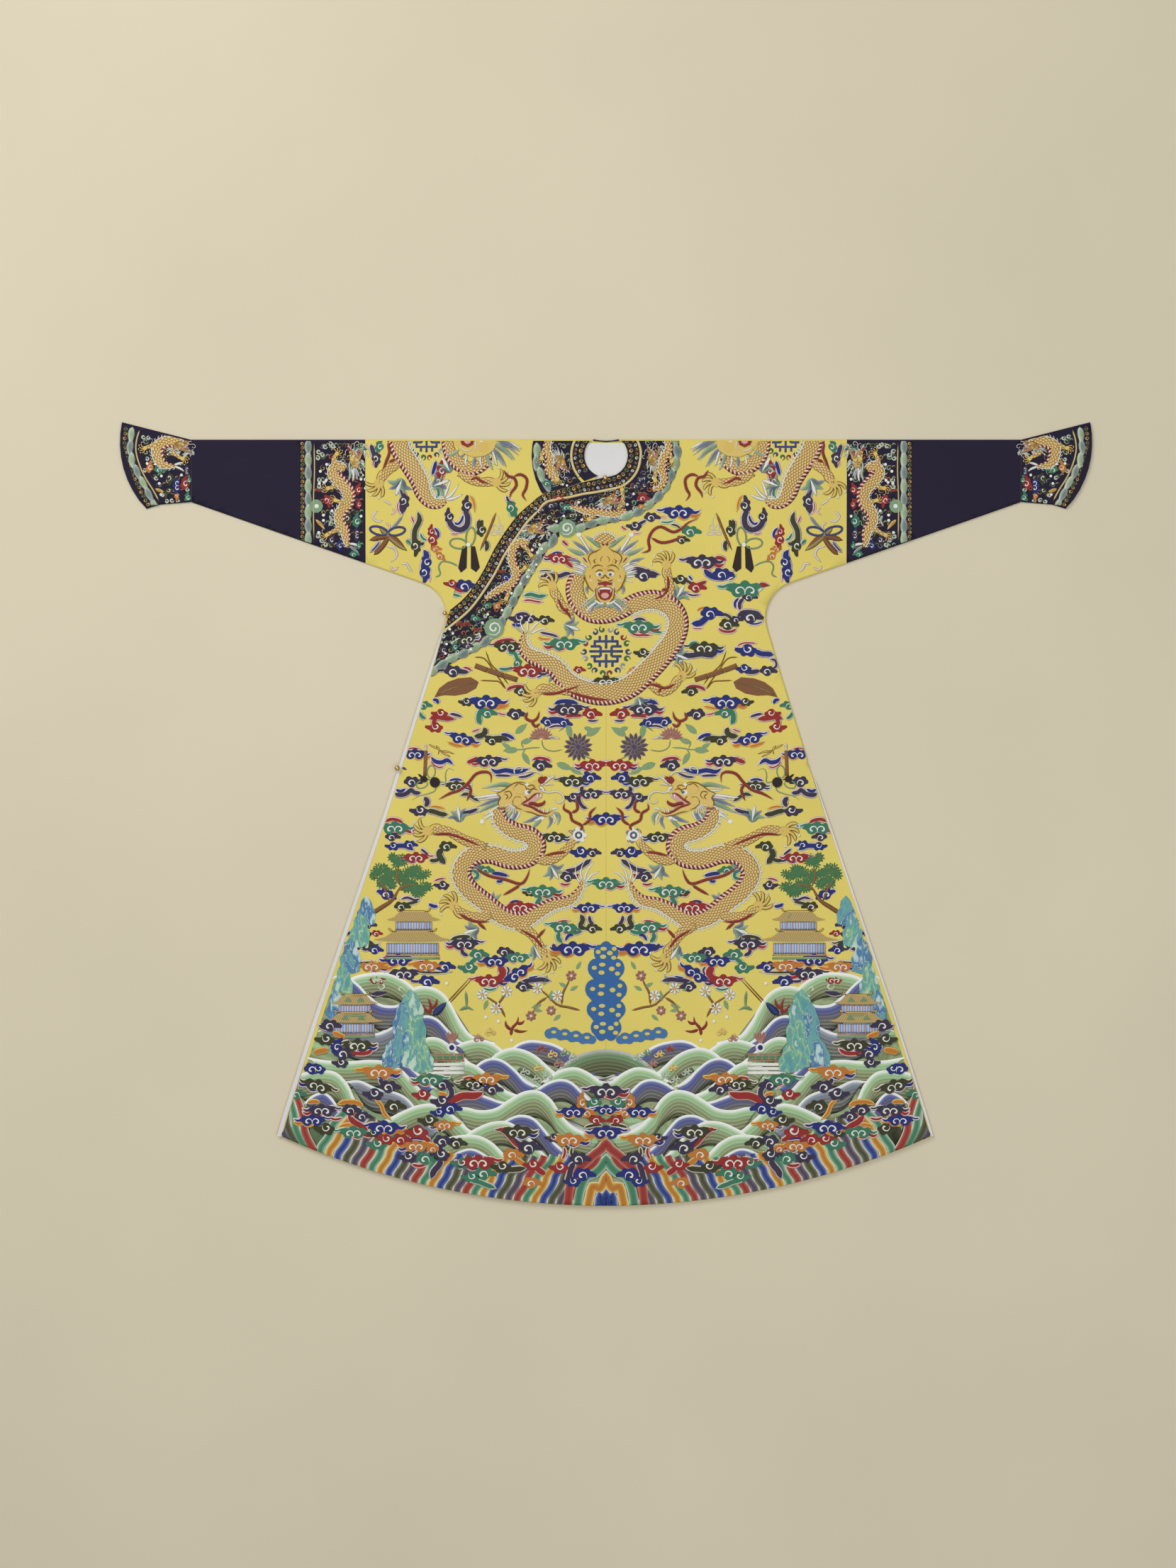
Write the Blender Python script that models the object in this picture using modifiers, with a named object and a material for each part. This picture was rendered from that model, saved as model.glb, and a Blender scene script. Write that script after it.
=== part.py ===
"""Chinese dragon robe laid flat on its back, front up.

Each cloth piece is a wall of its own. The right and left widths of silk are folded over at the
shoulder, with the back wall below and the front wall above, and are sewn along the underarm and
down the side to the slit. The overlap lies on the right width and is sewn to the left one at the
centre. Collar, lapel and bands lie on these walls. Right and left are the wearer's, so the right
half has negative X. Metres, +Z up, origin in the middle of the footprint.
"""
import math

import bmesh
import bpy
from mathutils import Vector

# The cut: Y runs from the hem up to the shoulder, X from the centre seam out to the cuffs
SHOULDER_Y = 0.709
HEM_Y = -0.742
HEM_RADIUS = 1.50
HEM_CORNER_X = 0.615
UNDERARM_CORNER = Vector((0.287, 0.416))
ARMPIT_RADIUS = 0.068
WRIST = Vector((0.786, 0.591))
SLEEVE_SEAM_X = 0.456
SLEEVE_BAND_X = 0.580
SLIT_TOP_Y = 0.105
SEAM_GAP = 0.0003

# Side seam below the armpit, by height: (y, x)
SIDE = (
    (0.2665, 0.331),
    (0.000, 0.414),
    (-0.221, 0.489),
    (-0.381, 0.543),
    (-0.560, 0.600),
)

# Neck hole and the widths of what is sewn round it
NECK_CENTRE = Vector((0.0, 0.679))
NECK_RADIUS = 0.041
BAND_WIDTH = 0.0225  # at the neck
CORD_WIDTH = 0.0045
COLLAR_WIDTH = 0.100
BACK_NECK_Y = 0.7045

# Edge of the overlap, round the neck by angle: (degrees, band, whole width with cord and field)
NECK_STATIONS = (
    (60, 0.0225, 0.103),
    (30, 0.0225, 0.103),
    (0, 0.0225, 0.099),
    (-30, 0.0225, 0.093),
    (-60, 0.0225, 0.088),
    (-90, 0.0225, 0.0885),
)
# and from the neck to the side, past the armpit: (x, y, band, whole width)
LAPEL_STATIONS = (
    (-0.0255, 0.6325, 0.0215, 0.0865),
    (-0.050, 0.6265, 0.0195, 0.088),
    (-0.074, 0.6175, 0.0160, 0.086),
    (-0.118, 0.607, 0.0150, 0.079),
    (-0.140, 0.590, 0.0175, 0.082),
    (-0.165, 0.5685, 0.0200, 0.084),
    (-0.187, 0.5405, 0.0215, 0.086),
    (-0.212, 0.5015, 0.0205, 0.087),
    (-0.230, 0.465, 0.0195, 0.084),
    (-0.252, 0.429, 0.0185, 0.087),
    (-0.274, 0.4035, 0.0205, 0.094),
    (-0.302, 0.3815, 0.0225, 0.092),
    (-0.336, 0.355, 0.0225, 0.083),
    (-0.370, 0.327, 0.0225, 0.078),
)
LAPEL_ON_ROBE = 12  # the stations from the neck to the armpit

# Levels of the layers, from the surface that the robe lies on
SILK = 0.0015
SKIN = 0.0010
FRONT_TOP = 0.0046
OVERLAP_TOP = 0.0064
LINING_TOP = 0.0028
LAYER_GAP = 0.0003
SETTLE_WIDTH = 0.18  # the left front comes down to its own back over this width
FOLD_DEPTH = FRONT_TOP / 2

# Horse-hoof cuff: the points of its upper and lower tip and the bulge of its end
CUFF_TIP = Vector((0.9165, 0.742))
CUFF_BULGE = Vector((0.9190, 0.680))
CUFF_LOWER_TIP = Vector((0.871, 0.578))
CUFF_LOWER_EDGE = Vector((0.845, 0.586))

# Pale edging of the open sides: width above, width at the hem, and the height where it starts
EDGING_RIGHT = (0.0055, 0.0090, 0.385)
EDGING_LEFT = (0.0035, 0.0050, SLIT_TOP_Y)
EDGING_RAMP = 0.08

LINING_INSET = 0.006
UNDERLAP_EDGE_X = 0.020
UNDERLAP_SHORT = 0.020
SIDE_SLOPE = 0.33  # how far the side goes out for each metre down, near the hem
OVERLAP_CLEARANCE = 0.0008
SIDE_CLEARANCE = 0.001

# Scroll band across the back of the neck: half width, upper edge at its middle, how much the
# ends of its upper and lower edges stand above the middle, and its upper side
BACK_BAND_X = 0.0245
BACK_BAND_Y = 0.7070
BACK_BAND_UPPER_RISE = 0.0028
BACK_BAND_LOWER_RISE = 0.0022
BACK_BAND_TOP = 0.0036

# The right collar goes round the neck hole from below it to the shoulder, in degrees
COLLAR_FIRST = 262.0
COLLAR_STEP = -9.0
COLLAR_SECTIONS = 17

# Ball buttons: (name, x, y, radius, top of what each lies on)
BUTTONS = (
    ("button_neck", -0.0015, 0.6360, 0.0045, OVERLAP_TOP + LAYER_GAP + SKIN),
    ("button_armpit", -0.3050, 0.3800, 0.0040, OVERLAP_TOP + LAYER_GAP + SKIN),
    ("button_side", -0.3950, 0.0870, 0.0050, OVERLAP_TOP),
)
LOOP_START = Vector((-0.3885, 0.0865))
LOOP_END = Vector((-0.3755, 0.0840))
LOOP_RADIUS = 0.0013

# Pieces that each curve is made of
HEM_STEPS = 12
NECK_STEPS = 10
ARMPIT_STEPS = 7
CUFF_STEPS = 8
SETTLE_STEPS = 6
PATH_STEPS = 2
ON_CUT = 1e-7

YELLOW = (0.80, 0.62, 0.07)
NAVY = (0.024, 0.021, 0.045)
SCROLL = (0.12, 0.10, 0.05)
PALE = (0.60, 0.60, 0.62)
GOLD = (0.83, 0.56, 0.16)


def start_scene():
    for old in list(bpy.data.objects):
        bpy.data.objects.remove(old, do_unlink=True)
    robe = bpy.data.collections.new("dragon_robe")
    bpy.context.scene.collection.children.link(robe)
    return robe


def make_material(name, colour, roughness, metallic=0.0):
    material = bpy.data.materials.new(name)
    material.use_nodes = True
    shader = material.node_tree.nodes["Principled BSDF"]
    shader.inputs["Base Color"].default_value = (*colour, 1.0)
    shader.inputs["Roughness"].default_value = roughness
    shader.inputs["Metallic"].default_value = metallic
    return material


def ease(t):
    """0 below 0, 1 above 1, and a soft S between."""
    t = min(max(t, 0.0), 1.0)
    return t * t * (3.0 - 2.0 * t)


def outer_front_top(x, y):
    """Height of the outer front: the overlap's level, down to the left width's own."""
    return FRONT_TOP + (OVERLAP_TOP - FRONT_TOP) * ease(1.0 - x / SETTLE_WIDTH)


def width_top(x, y):
    return FRONT_TOP


def arc(centre, radius, first_degrees, last_degrees, steps):
    points = []
    for i in range(steps + 1):
        angle = math.radians(first_degrees + (last_degrees - first_degrees) * i / steps)
        points.append(centre + radius * Vector((math.cos(angle), math.sin(angle))))
    return points


def arc_through(start, middle, end, steps):
    """Circular arc from start to end by way of middle."""
    a = start - middle
    b = end - middle
    cross = a.x * b.y - a.y * b.x
    offset = Vector((b.y * a.length_squared - a.y * b.length_squared,
                     a.x * b.length_squared - b.x * a.length_squared)) / (2.0 * cross)
    centre = middle + offset
    angles = [math.atan2((p - centre).y, (p - centre).x) for p in (start, end)]
    return arc(centre, offset.length, math.degrees(angles[0]), math.degrees(angles[1]), steps)


def smooth_path(stations):
    """Catmull-Rom curve through rows of numbers, PATH_STEPS pieces between neighbours."""
    rows = [Vector(row) for row in stations]
    rows = [2 * rows[0] - rows[1]] + rows + [2 * rows[-1] - rows[-2]]
    path = []
    for p0, p1, p2, p3 in zip(rows, rows[1:], rows[2:], rows[3:]):
        for i in range(PATH_STEPS):
            t = i / PATH_STEPS
            path.append(0.5 * (2 * p1 + (p2 - p0) * t + (2 * p0 - 5 * p1 + 4 * p2 - p3) * t * t
                               + (3 * p1 - p0 - 3 * p2 + p3) * t * t * t))
    path.append(rows[-2])
    return path


def sleeve_under_y(x):
    """Height of the sleeve's lower edge, a straight line from the armpit's corner to the wrist."""
    run = WRIST - UNDERARM_CORNER
    return UNDERARM_CORNER.y + (x - UNDERARM_CORNER.x) * run.y / run.x


def hem_y(x, inset=0.0):
    centre_y = HEM_Y + HEM_RADIUS
    return centre_y - math.sqrt((HEM_RADIUS - inset) ** 2 - x * x)


def edging_width(y, edging):
    above, at_hem, start_y = edging
    full_width = above + (at_hem - above) * (start_y - y) / (start_y - HEM_Y)
    return full_width * ease((start_y - y) / EDGING_RAMP)


def hem(first_x, corner_x, inset=0.0):
    """The hem's arc from the centre out to its corner."""
    places = [first_x + (corner_x - first_x) * i / HEM_STEPS for i in range(HEM_STEPS + 1)]
    return [Vector((x, hem_y(x, inset))) for x in places]


def side(edging=None, inset=0.0):
    """The side from above the hem's corner up to below the armpit."""
    rows = list(SIDE)
    (upper_y, upper_x), (lower_y, lower_x) = rows[:2]
    slit_x = upper_x + (lower_x - upper_x) * (upper_y - SLIT_TOP_Y) / (upper_y - lower_y)
    rows.insert(1, (SLIT_TOP_Y, slit_x))
    points = []
    for y, x in reversed(rows):
        extra = edging_width(y, edging) if edging else 0.0
        points.append(Vector((x + extra - inset, y)))
    return points


def armpit(edging=None, inset=0.0):
    """The rounded corner between side and sleeve, from the side up to the sleeve."""
    side_way = (Vector((SIDE[0][1], SIDE[0][0])) - UNDERARM_CORNER).normalized()
    sleeve_way = (WRIST - UNDERARM_CORNER).normalized()
    half_angle = side_way.angle(sleeve_way) / 2
    middle_way = (side_way + sleeve_way).normalized()
    centre = UNDERARM_CORNER + middle_way * ARMPIT_RADIUS / math.sin(half_angle)
    side_angle = 180.0 + math.degrees(math.atan2(side_way.x, -side_way.y))
    sleeve_angle = 90.0 + math.degrees(math.atan2(sleeve_way.y, sleeve_way.x))
    points = arc(centre, ARMPIT_RADIUS + inset, side_angle, sleeve_angle, ARMPIT_STEPS)
    if edging:
        for point in points:
            point.x += edging_width(point.y, edging)
    return points


def mirrored(points):
    """The same run of points on the robe's right half, in the opposite order."""
    return [Vector((-p.x, p.y)) for p in reversed(points)]


def object_from(name, bm, material, thickness):
    """Object with a wall that grows inwards from the faces of bm."""
    bm.normal_update()
    bmesh.ops.triangulate(bm, faces=bm.faces[:])
    mesh = bpy.data.meshes.new(name)
    bm.to_mesh(mesh)
    bm.free()
    mesh.materials.append(material)
    piece = bpy.data.objects.new(name, mesh)
    ROBE.objects.link(piece)
    wall = piece.modifiers.new("wall", "SOLIDIFY")
    wall.thickness = thickness
    wall.offset = -1.0
    wall.use_even_offset = True
    return piece


def add_outline(bm, outline, level):
    corners = [bm.verts.new((p.x, p.y, level)) for p in outline]
    return bm.faces.new(corners)


def cut(bm, place, direction, clear=False):
    """Cut across a flat piece; with clear, drop what lies past the cut."""
    geometry = bm.verts[:] + bm.edges[:] + bm.faces[:]
    bmesh.ops.bisect_plane(bm, geom=geometry, plane_co=(*place, 0.0), plane_no=(*direction, 0.0),
                           clear_outer=clear, dist=ON_CUT)


def chain_edges(bm, chain, level):
    """Edges of bm that join neighbouring points of chain at one level."""
    keys = [(round(p.x, 6), round(p.y, 6)) for p in chain]
    corners = {}
    for v in bm.verts:
        if abs(v.co.z - level) < 1e-6:
            corners[(round(v.co.x, 6), round(v.co.y, 6))] = v
    return [bm.edges.get((corners[a], corners[b])) for a, b in zip(keys, keys[1:])]


def folded_piece(name, front, back, sewn, top, material, cuts=()):
    """Back wall on the surface and front wall over it, joined along the chains in sewn."""
    bm = bmesh.new()
    add_outline(bm, front, 1.0)
    add_outline(bm, list(reversed(back)), 0.0)
    for chain in sewn:
        bmesh.ops.bridge_loops(bm, edges=chain_edges(bm, chain, 1.0) + chain_edges(bm, chain, 0.0))
    for x in cuts:
        cut(bm, (x, 0.0), (1.0, 0.0))
    bmesh.ops.bisect_plane(bm, geom=bm.verts[:] + bm.edges[:] + bm.faces[:],
                           plane_co=(0.0, 0.0, 0.5), plane_no=(0.0, 0.0, 1.0), dist=ON_CUT)
    bmesh.ops.recalc_face_normals(bm, faces=bm.faces[:])
    bm.normal_update()
    upper = max(bm.faces, key=lambda face: face.calc_center_median().z)
    if upper.normal.z < 0:
        bmesh.ops.reverse_faces(bm, faces=bm.faces[:])
        bm.normal_update()
    outward = {}
    for v in bm.verts:
        edge_faces = [f.normal for f in v.link_faces if abs(f.normal.z) < 0.5]
        if edge_faces and abs(v.co.z - 0.5) > 0.1:
            outward[v] = sum(edge_faces, Vector()).normalized()
    for v in bm.verts:
        height = top(v.co.x, v.co.y) * v.co.z
        v.co -= outward.get(v, Vector()) * FOLD_DEPTH
        v.co.z = height
    return object_from(name, bm, material, SILK)


def flat_piece(name, outline, top, thickness, material, cuts=()):
    """One wall whose upper side follows top."""
    bm = bmesh.new()
    add_outline(bm, outline, 0.0)
    for x in cuts:
        cut(bm, (x, 0.0), (1.0, 0.0))
    for v in bm.verts:
        v.co.z = top(v.co.x, v.co.y)
    return object_from(name, bm, material, thickness)


def strip_piece(name, sections, inner, outer, rows, level, material, clips=()):
    """Strip across sections, each a row of place x, y, far side x, y and band width.

    Its edges lie inner and outer of a section's place, towards the far side. It lies on the wall
    whose upper side is level, and clips are (place, direction) of cuts.
    """
    columns = len(sections) - 1
    bm = bmesh.new()
    bmesh.ops.create_grid(bm, x_segments=columns, y_segments=rows, size=0.5)
    for v in bm.verts:
        row = sections[round((v.co.x + 0.5) * columns)]
        across = Vector((row[2] - row[0], row[3] - row[1])).normalized()
        reach = inner(row) + (outer(row) - inner(row)) * (v.co.y + 0.5)
        v.co = (row[0] + across.x * reach, row[1] + across.y * reach, 0.0)
    for place, direction in clips:
        cut(bm, place, direction, clear=True)
    bm.normal_update()
    if bm.faces[:][0].normal.z < 0:
        bmesh.ops.reverse_faces(bm, faces=bm.faces[:])
    for v in bm.verts:
        v.co.z = level(v.co.x, v.co.y) + LAYER_GAP + SKIN
    return object_from(name, bm, material, SKIN)


def build_left_width(silk):
    """Left width: back and outer front in one, with the upper half of the sleeve."""
    x0 = SEAM_GAP / 2
    neck_angle = math.degrees(math.asin((SHOULDER_Y - NECK_CENTRE.y) / NECK_RADIUS))
    neck = arc(NECK_CENTRE, NECK_RADIUS, neck_angle, -90.0, NECK_STEPS)
    neck[-1].x = x0
    sleeve = [Vector((SLEEVE_SEAM_X, sleeve_under_y(SLEEVE_SEAM_X))),
              Vector((SLEEVE_SEAM_X, SHOULDER_Y))]
    front = hem(x0, HEM_CORNER_X) + side() + armpit() + sleeve + neck
    edge_x = HEM_CORNER_X + EDGING_LEFT[1]
    back = hem(x0, edge_x) + side(EDGING_LEFT) + armpit() + sleeve
    back += [neck[0], Vector((x0, BACK_NECK_Y))]
    sewn_side = side()[len(SIDE) - 1:] + armpit() + sleeve[:1]
    settle = [SETTLE_WIDTH * i / SETTLE_STEPS for i in range(1, SETTLE_STEPS + 1)]
    folded_piece("robe_left", front, back, [sewn_side, [sleeve[1], neck[0]]],
                 outer_front_top, silk, settle)


def build_right_width(silk):
    """Right width: back and under-front in one; the overlap hides most of the under-front."""
    x0 = SEAM_GAP / 2
    neck_angle = math.degrees(math.asin((SHOULDER_Y - NECK_CENTRE.y) / NECK_RADIUS))
    under_angle = -math.degrees(math.acos(UNDERLAP_EDGE_X / NECK_RADIUS))
    neck = arc(NECK_CENTRE, NECK_RADIUS, neck_angle, under_angle, NECK_STEPS)
    sleeve = [Vector((SLEEVE_SEAM_X, sleeve_under_y(SLEEVE_SEAM_X))),
              Vector((SLEEVE_SEAM_X, SHOULDER_Y))]
    edge_x = HEM_CORNER_X + EDGING_RIGHT[1]
    under_corner_x = edge_x - UNDERLAP_SHORT * SIDE_SLOPE
    under_hem = hem(UNDERLAP_EDGE_X, under_corner_x, UNDERLAP_SHORT)
    front = under_hem + side(EDGING_RIGHT) + armpit(EDGING_RIGHT) + sleeve + neck
    back = hem(x0, edge_x) + side(EDGING_RIGHT) + armpit(EDGING_RIGHT) + sleeve
    back += [neck[0], Vector((x0, BACK_NECK_Y))]
    sewn_side = side(EDGING_RIGHT)[len(SIDE) - 1:] + armpit(EDGING_RIGHT) + sleeve[:1]
    folded_piece("robe_right", mirrored(front), mirrored(back),
                 [mirrored(sewn_side), mirrored([sleeve[1], neck[0]])], width_top, silk)


def overlap_edge():
    """The overlap's free edge from the bottom of the neck hole to the armpit."""
    stations = [NECK_CENTRE + Vector((0.0, -NECK_RADIUS))]
    stations += [row[:2] for row in LAPEL_STATIONS[:LAPEL_ON_ROBE]]
    return smooth_path(stations)


def build_overlap(silk):
    """Right half of the outer front, cut away from neck to armpit."""
    x0 = SEAM_GAP / 2
    edge = overlap_edge()
    edge[0].x = -x0
    lower_armpit = [p for p in armpit() if p.y < LAPEL_STATIONS[LAPEL_ON_ROBE - 1][1]]
    outline = edge + mirrored(hem(x0, HEM_CORNER_X) + side() + lower_armpit)
    flat_piece("overlap_front", outline, lambda x, y: OVERLAP_TOP, SILK, silk)


def build_lining(white):
    """Lining of the back, which shows through the neck hole."""
    sleeve_x = SLEEVE_SEAM_X - LINING_INSET
    half = hem(0.0, HEM_CORNER_X - LINING_INSET, LINING_INSET)[1:]
    half += side(inset=LINING_INSET) + armpit(inset=LINING_INSET)
    half += [Vector((sleeve_x, sleeve_under_y(sleeve_x) + LINING_INSET)),
             Vector((sleeve_x, SHOULDER_Y - LINING_INSET))]
    bottom = Vector((0.0, hem_y(0.0, LINING_INSET)))
    flat_piece("back_lining", [bottom] + half + mirrored(half),
               lambda x, y: LINING_TOP, SKIN, white)


def section(place, across, band, width):
    far = place + across * width
    return (place.x, place.y, far.x, far.y, band)


def neck_section(degrees, band, width):
    angle = math.radians(degrees)
    across = Vector((math.cos(angle), math.sin(angle)))
    return section(NECK_CENTRE + NECK_RADIUS * across, across, band, width)


def lapel_sections():
    """Sections along the overlap's edge, from the left shoulder round to the side."""
    rows = [neck_section(*station) for station in NECK_STATIONS]
    places = [Vector(rows[-1][:2])] + [Vector(station[:2]) for station in LAPEL_STATIONS]
    places.append(2 * places[-1] - places[-2])
    for before, station, after in zip(places, LAPEL_STATIONS, places[2:]):
        along = (after - before).normalized()
        rows.append(section(Vector(station[:2]), Vector((-along.y, along.x)), *station[2:]))
    return smooth_path(rows)


def build_lapel(navy, scroll, cord):
    """Field, scroll band and cord along the edge of the overlap and round the neck's left side."""
    sections = lapel_sections()
    shoulder = ((0.0, SHOULDER_Y - FOLD_DEPTH), (0.0, 1.0))
    armpit_end = mirrored(armpit())[-1]
    side_way = Vector((-SIDE[0][1], SIDE[0][0])) - armpit_end
    right_side = (armpit_end + Vector((SIDE_CLEARANCE, 0.0)), (side_way.y, -side_way.x))
    clips = (shoulder, right_side)
    field_start = 2 * SEAM_GAP + CORD_WIDTH
    strip_piece("lapel_band", sections, lambda row: SEAM_GAP, lambda row: row[4], 1,
                outer_front_top, scroll, clips)
    strip_piece("lapel_cord", sections, lambda row: row[4] + SEAM_GAP,
                lambda row: row[4] + SEAM_GAP + CORD_WIDTH, 1, outer_front_top, cord, clips)
    strip_piece("lapel_field", sections, lambda row: row[4] + field_start,
                lambda row: math.dist(row[:2], row[2:4]), 3, outer_front_top, navy, clips)


def build_right_collar(navy, scroll, cord):
    """Collar, cord and neck band on the right shoulder, above the overlap's edge."""
    angles = [COLLAR_FIRST + COLLAR_STEP * i for i in range(COLLAR_SECTIONS)]
    sections = [neck_section(angle, BAND_WIDTH, COLLAR_WIDTH) for angle in angles]
    shoulder = ((0.0, SHOULDER_Y - FOLD_DEPTH), (0.0, 1.0))
    edge = [NECK_CENTRE - Vector((0.0, NECK_RADIUS))]
    edge += [Vector(station[:2]) for station in LAPEL_STATIONS[1:4]]
    below = []
    for start, end in zip(edge, edge[1:]):
        below.append((start + Vector((0.0, OVERLAP_CLEARANCE)),
                      (start.y - end.y, end.x - start.x)))
    cord_start = BAND_WIDTH + SEAM_GAP
    field_start = cord_start + CORD_WIDTH + SEAM_GAP
    strip_piece("neck_band_right", sections, lambda row: SEAM_GAP, lambda row: BAND_WIDTH, 1,
                width_top, scroll, [shoulder] + below)
    strip_piece("collar_cord", sections, lambda row: cord_start,
                lambda row: cord_start + CORD_WIDTH, 1, width_top, cord, [shoulder] + below[1:])
    strip_piece("collar_right", sections, lambda row: field_start, lambda row: COLLAR_WIDTH, 2,
                width_top, navy, [shoulder] + below[1:])


def build_back_neck_band(scroll):
    """Scroll band along the back of the neck hole, seen on edge at the shoulder fold."""
    lower_y = BACK_NECK_Y + SEAM_GAP
    half = [Vector((BACK_BAND_X, lower_y + BACK_BAND_LOWER_RISE)),
            Vector((BACK_BAND_X, BACK_BAND_Y + BACK_BAND_UPPER_RISE)),
            Vector((BACK_BAND_X / 2, BACK_BAND_Y + BACK_BAND_UPPER_RISE / 4))]
    outline = [Vector((0.0, lower_y))] + half + [Vector((0.0, BACK_BAND_Y))] + mirrored(half)
    flat_piece("neck_band_back", outline, lambda x, y: BACK_BAND_TOP, BACK_BAND_TOP - SEAM_GAP,
               scroll)


def on_both_sides(name, outline, sewn, material):
    """A sleeve piece for the left arm and its mirror image for the right."""
    folded_piece(name + "_left", outline, outline, sewn, width_top, material)
    folded_piece(name + "_right", mirrored(outline), mirrored(outline),
                 [mirrored(chain) for chain in sewn], width_top, material)


def build_sleeve_pieces(name, inner_x, outer_x, material):
    """Straight stretch of sleeve between two seams."""
    inner_x += SEAM_GAP
    under = [Vector((x, sleeve_under_y(x))) for x in (inner_x, outer_x)]
    shoulder = [Vector((outer_x, SHOULDER_Y)), Vector((inner_x, SHOULDER_Y))]
    on_both_sides(name, under + shoulder, [under, shoulder], material)


def build_cuffs(navy):
    """Horse-hoof cuffs, flared towards the back of the hand."""
    inner_x = WRIST.x + SEAM_GAP
    under = [Vector((inner_x, WRIST.y)), CUFF_LOWER_EDGE, CUFF_LOWER_TIP]
    end = arc_through(CUFF_LOWER_TIP, CUFF_BULGE, CUFF_TIP, CUFF_STEPS)
    shoulder = [CUFF_TIP, Vector((inner_x, SHOULDER_Y))]
    on_both_sides("cuff", under + end[1:-1] + shoulder, [under, shoulder], navy)


def build_edging(name, sign, edging, level, pale):
    """Pale edging along the open side of the outer front, from its start down to the hem."""
    start_y = edging[2] - EDGING_RAMP / 2
    line = [Vector((HEM_CORNER_X, hem_y(HEM_CORNER_X)))] + side() + armpit()[:3]
    below = [p for p in line if p.y < start_y]
    upper, lower = line[len(below)], below[-1]
    start = lower + (upper - lower) * (start_y - lower.y) / (upper.y - lower.y)
    sections = [(sign * p.x, p.y, sign * (p.x + 1.0), p.y) for p in below + [start]]
    strip_piece(name, sections, lambda row: SEAM_GAP, lambda row: edging_width(row[1], edging), 1,
                level, pale)


def build_buttons(gold, navy):
    for name, x, y, radius, lies_on in BUTTONS:
        bm = bmesh.new()
        bmesh.ops.create_uvsphere(bm, u_segments=16, v_segments=8, radius=radius)
        bmesh.ops.translate(bm, verts=bm.verts[:], vec=(x, y, lies_on + LAYER_GAP + radius))
        mesh = bpy.data.meshes.new(name)
        bm.to_mesh(mesh)
        bm.free()
        mesh.materials.append(gold)
        mesh.shade_smooth()
        ROBE.objects.link(bpy.data.objects.new(name, mesh))
    curve = bpy.data.curves.new("loop_side", "CURVE")
    curve.dimensions = "3D"
    curve.bevel_depth = LOOP_RADIUS
    curve.bevel_resolution = 2
    curve.use_fill_caps = True
    spline = curve.splines.new("POLY")
    spline.points.add(2)
    height = OVERLAP_TOP + LAYER_GAP + LOOP_RADIUS
    for point, place in zip(spline.points, (LOOP_START, (LOOP_START + LOOP_END) / 2, LOOP_END)):
        point.co = (place.x, place.y, height, 1.0)
    curve.materials.append(navy)
    ROBE.objects.link(bpy.data.objects.new("loop_side", curve))


ROBE = start_scene()
yellow_silk = make_material("yellow_silk", YELLOW, 0.55)
navy_silk = make_material("navy_silk", NAVY, 0.6)
scroll_silk = make_material("scroll_silk", SCROLL, 0.6)
pale_silk = make_material("pale_silk", PALE, 0.6)
gold_metal = make_material("gold_metal", GOLD, 0.3, 1.0)

build_right_width(yellow_silk)
build_left_width(yellow_silk)
build_overlap(yellow_silk)
build_lining(pale_silk)
build_right_collar(navy_silk, scroll_silk, yellow_silk)
build_lapel(navy_silk, scroll_silk, yellow_silk)
build_back_neck_band(scroll_silk)
build_sleeve_pieces("sleeve_band", SLEEVE_SEAM_X, SLEEVE_BAND_X, navy_silk)
build_sleeve_pieces("sleeve", SLEEVE_BAND_X, WRIST.x, navy_silk)
build_cuffs(navy_silk)
build_edging("side_edge_right", -1, EDGING_RIGHT, lambda x, y: OVERLAP_TOP - SILK, pale_silk)
build_edging("side_edge_left", 1, EDGING_LEFT, lambda x, y: FRONT_TOP - SILK, pale_silk)
build_buttons(gold_metal, navy_silk)
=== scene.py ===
"""Looks of a Chinese dragon robe laid out flat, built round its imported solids.

Metres, +Z up out of the robe's front, +Y from hem to shoulder. Right and left are the wearer's,
so the right half has negative X.
"""

import math
import random

import bmesh
import bpy
from mathutils import Matrix, Vector


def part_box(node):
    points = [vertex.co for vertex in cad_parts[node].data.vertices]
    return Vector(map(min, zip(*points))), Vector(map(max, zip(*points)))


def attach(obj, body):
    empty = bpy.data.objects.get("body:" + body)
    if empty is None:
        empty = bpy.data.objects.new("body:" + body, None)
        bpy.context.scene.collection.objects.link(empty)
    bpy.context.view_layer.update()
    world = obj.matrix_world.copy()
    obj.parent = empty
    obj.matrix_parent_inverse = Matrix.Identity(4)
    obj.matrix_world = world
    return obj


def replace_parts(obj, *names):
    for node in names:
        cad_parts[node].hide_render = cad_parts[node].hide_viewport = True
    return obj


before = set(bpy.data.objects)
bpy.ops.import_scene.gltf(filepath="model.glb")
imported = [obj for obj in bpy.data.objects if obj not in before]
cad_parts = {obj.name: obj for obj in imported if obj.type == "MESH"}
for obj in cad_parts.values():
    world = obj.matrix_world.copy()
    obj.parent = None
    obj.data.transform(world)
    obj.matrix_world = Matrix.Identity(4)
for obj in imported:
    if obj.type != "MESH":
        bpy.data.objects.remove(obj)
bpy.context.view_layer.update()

# ---------------------------------------------------------------------------------------------
# The table top that the robe is spread on, daylight from above, and the camera.
# The camera looks straight down from far off, so the flat robe keeps its proportions.
# ---------------------------------------------------------------------------------------------
FLOOR_SIZE = 9.0
FLOOR_COLOUR = (0.66, 0.60, 0.45)
CAMERA_PLACE = (-0.0342, 0.0569, 7.015)
CAMERA_LENS = 85.0
CAMERA_SENSOR = 36.0


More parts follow.
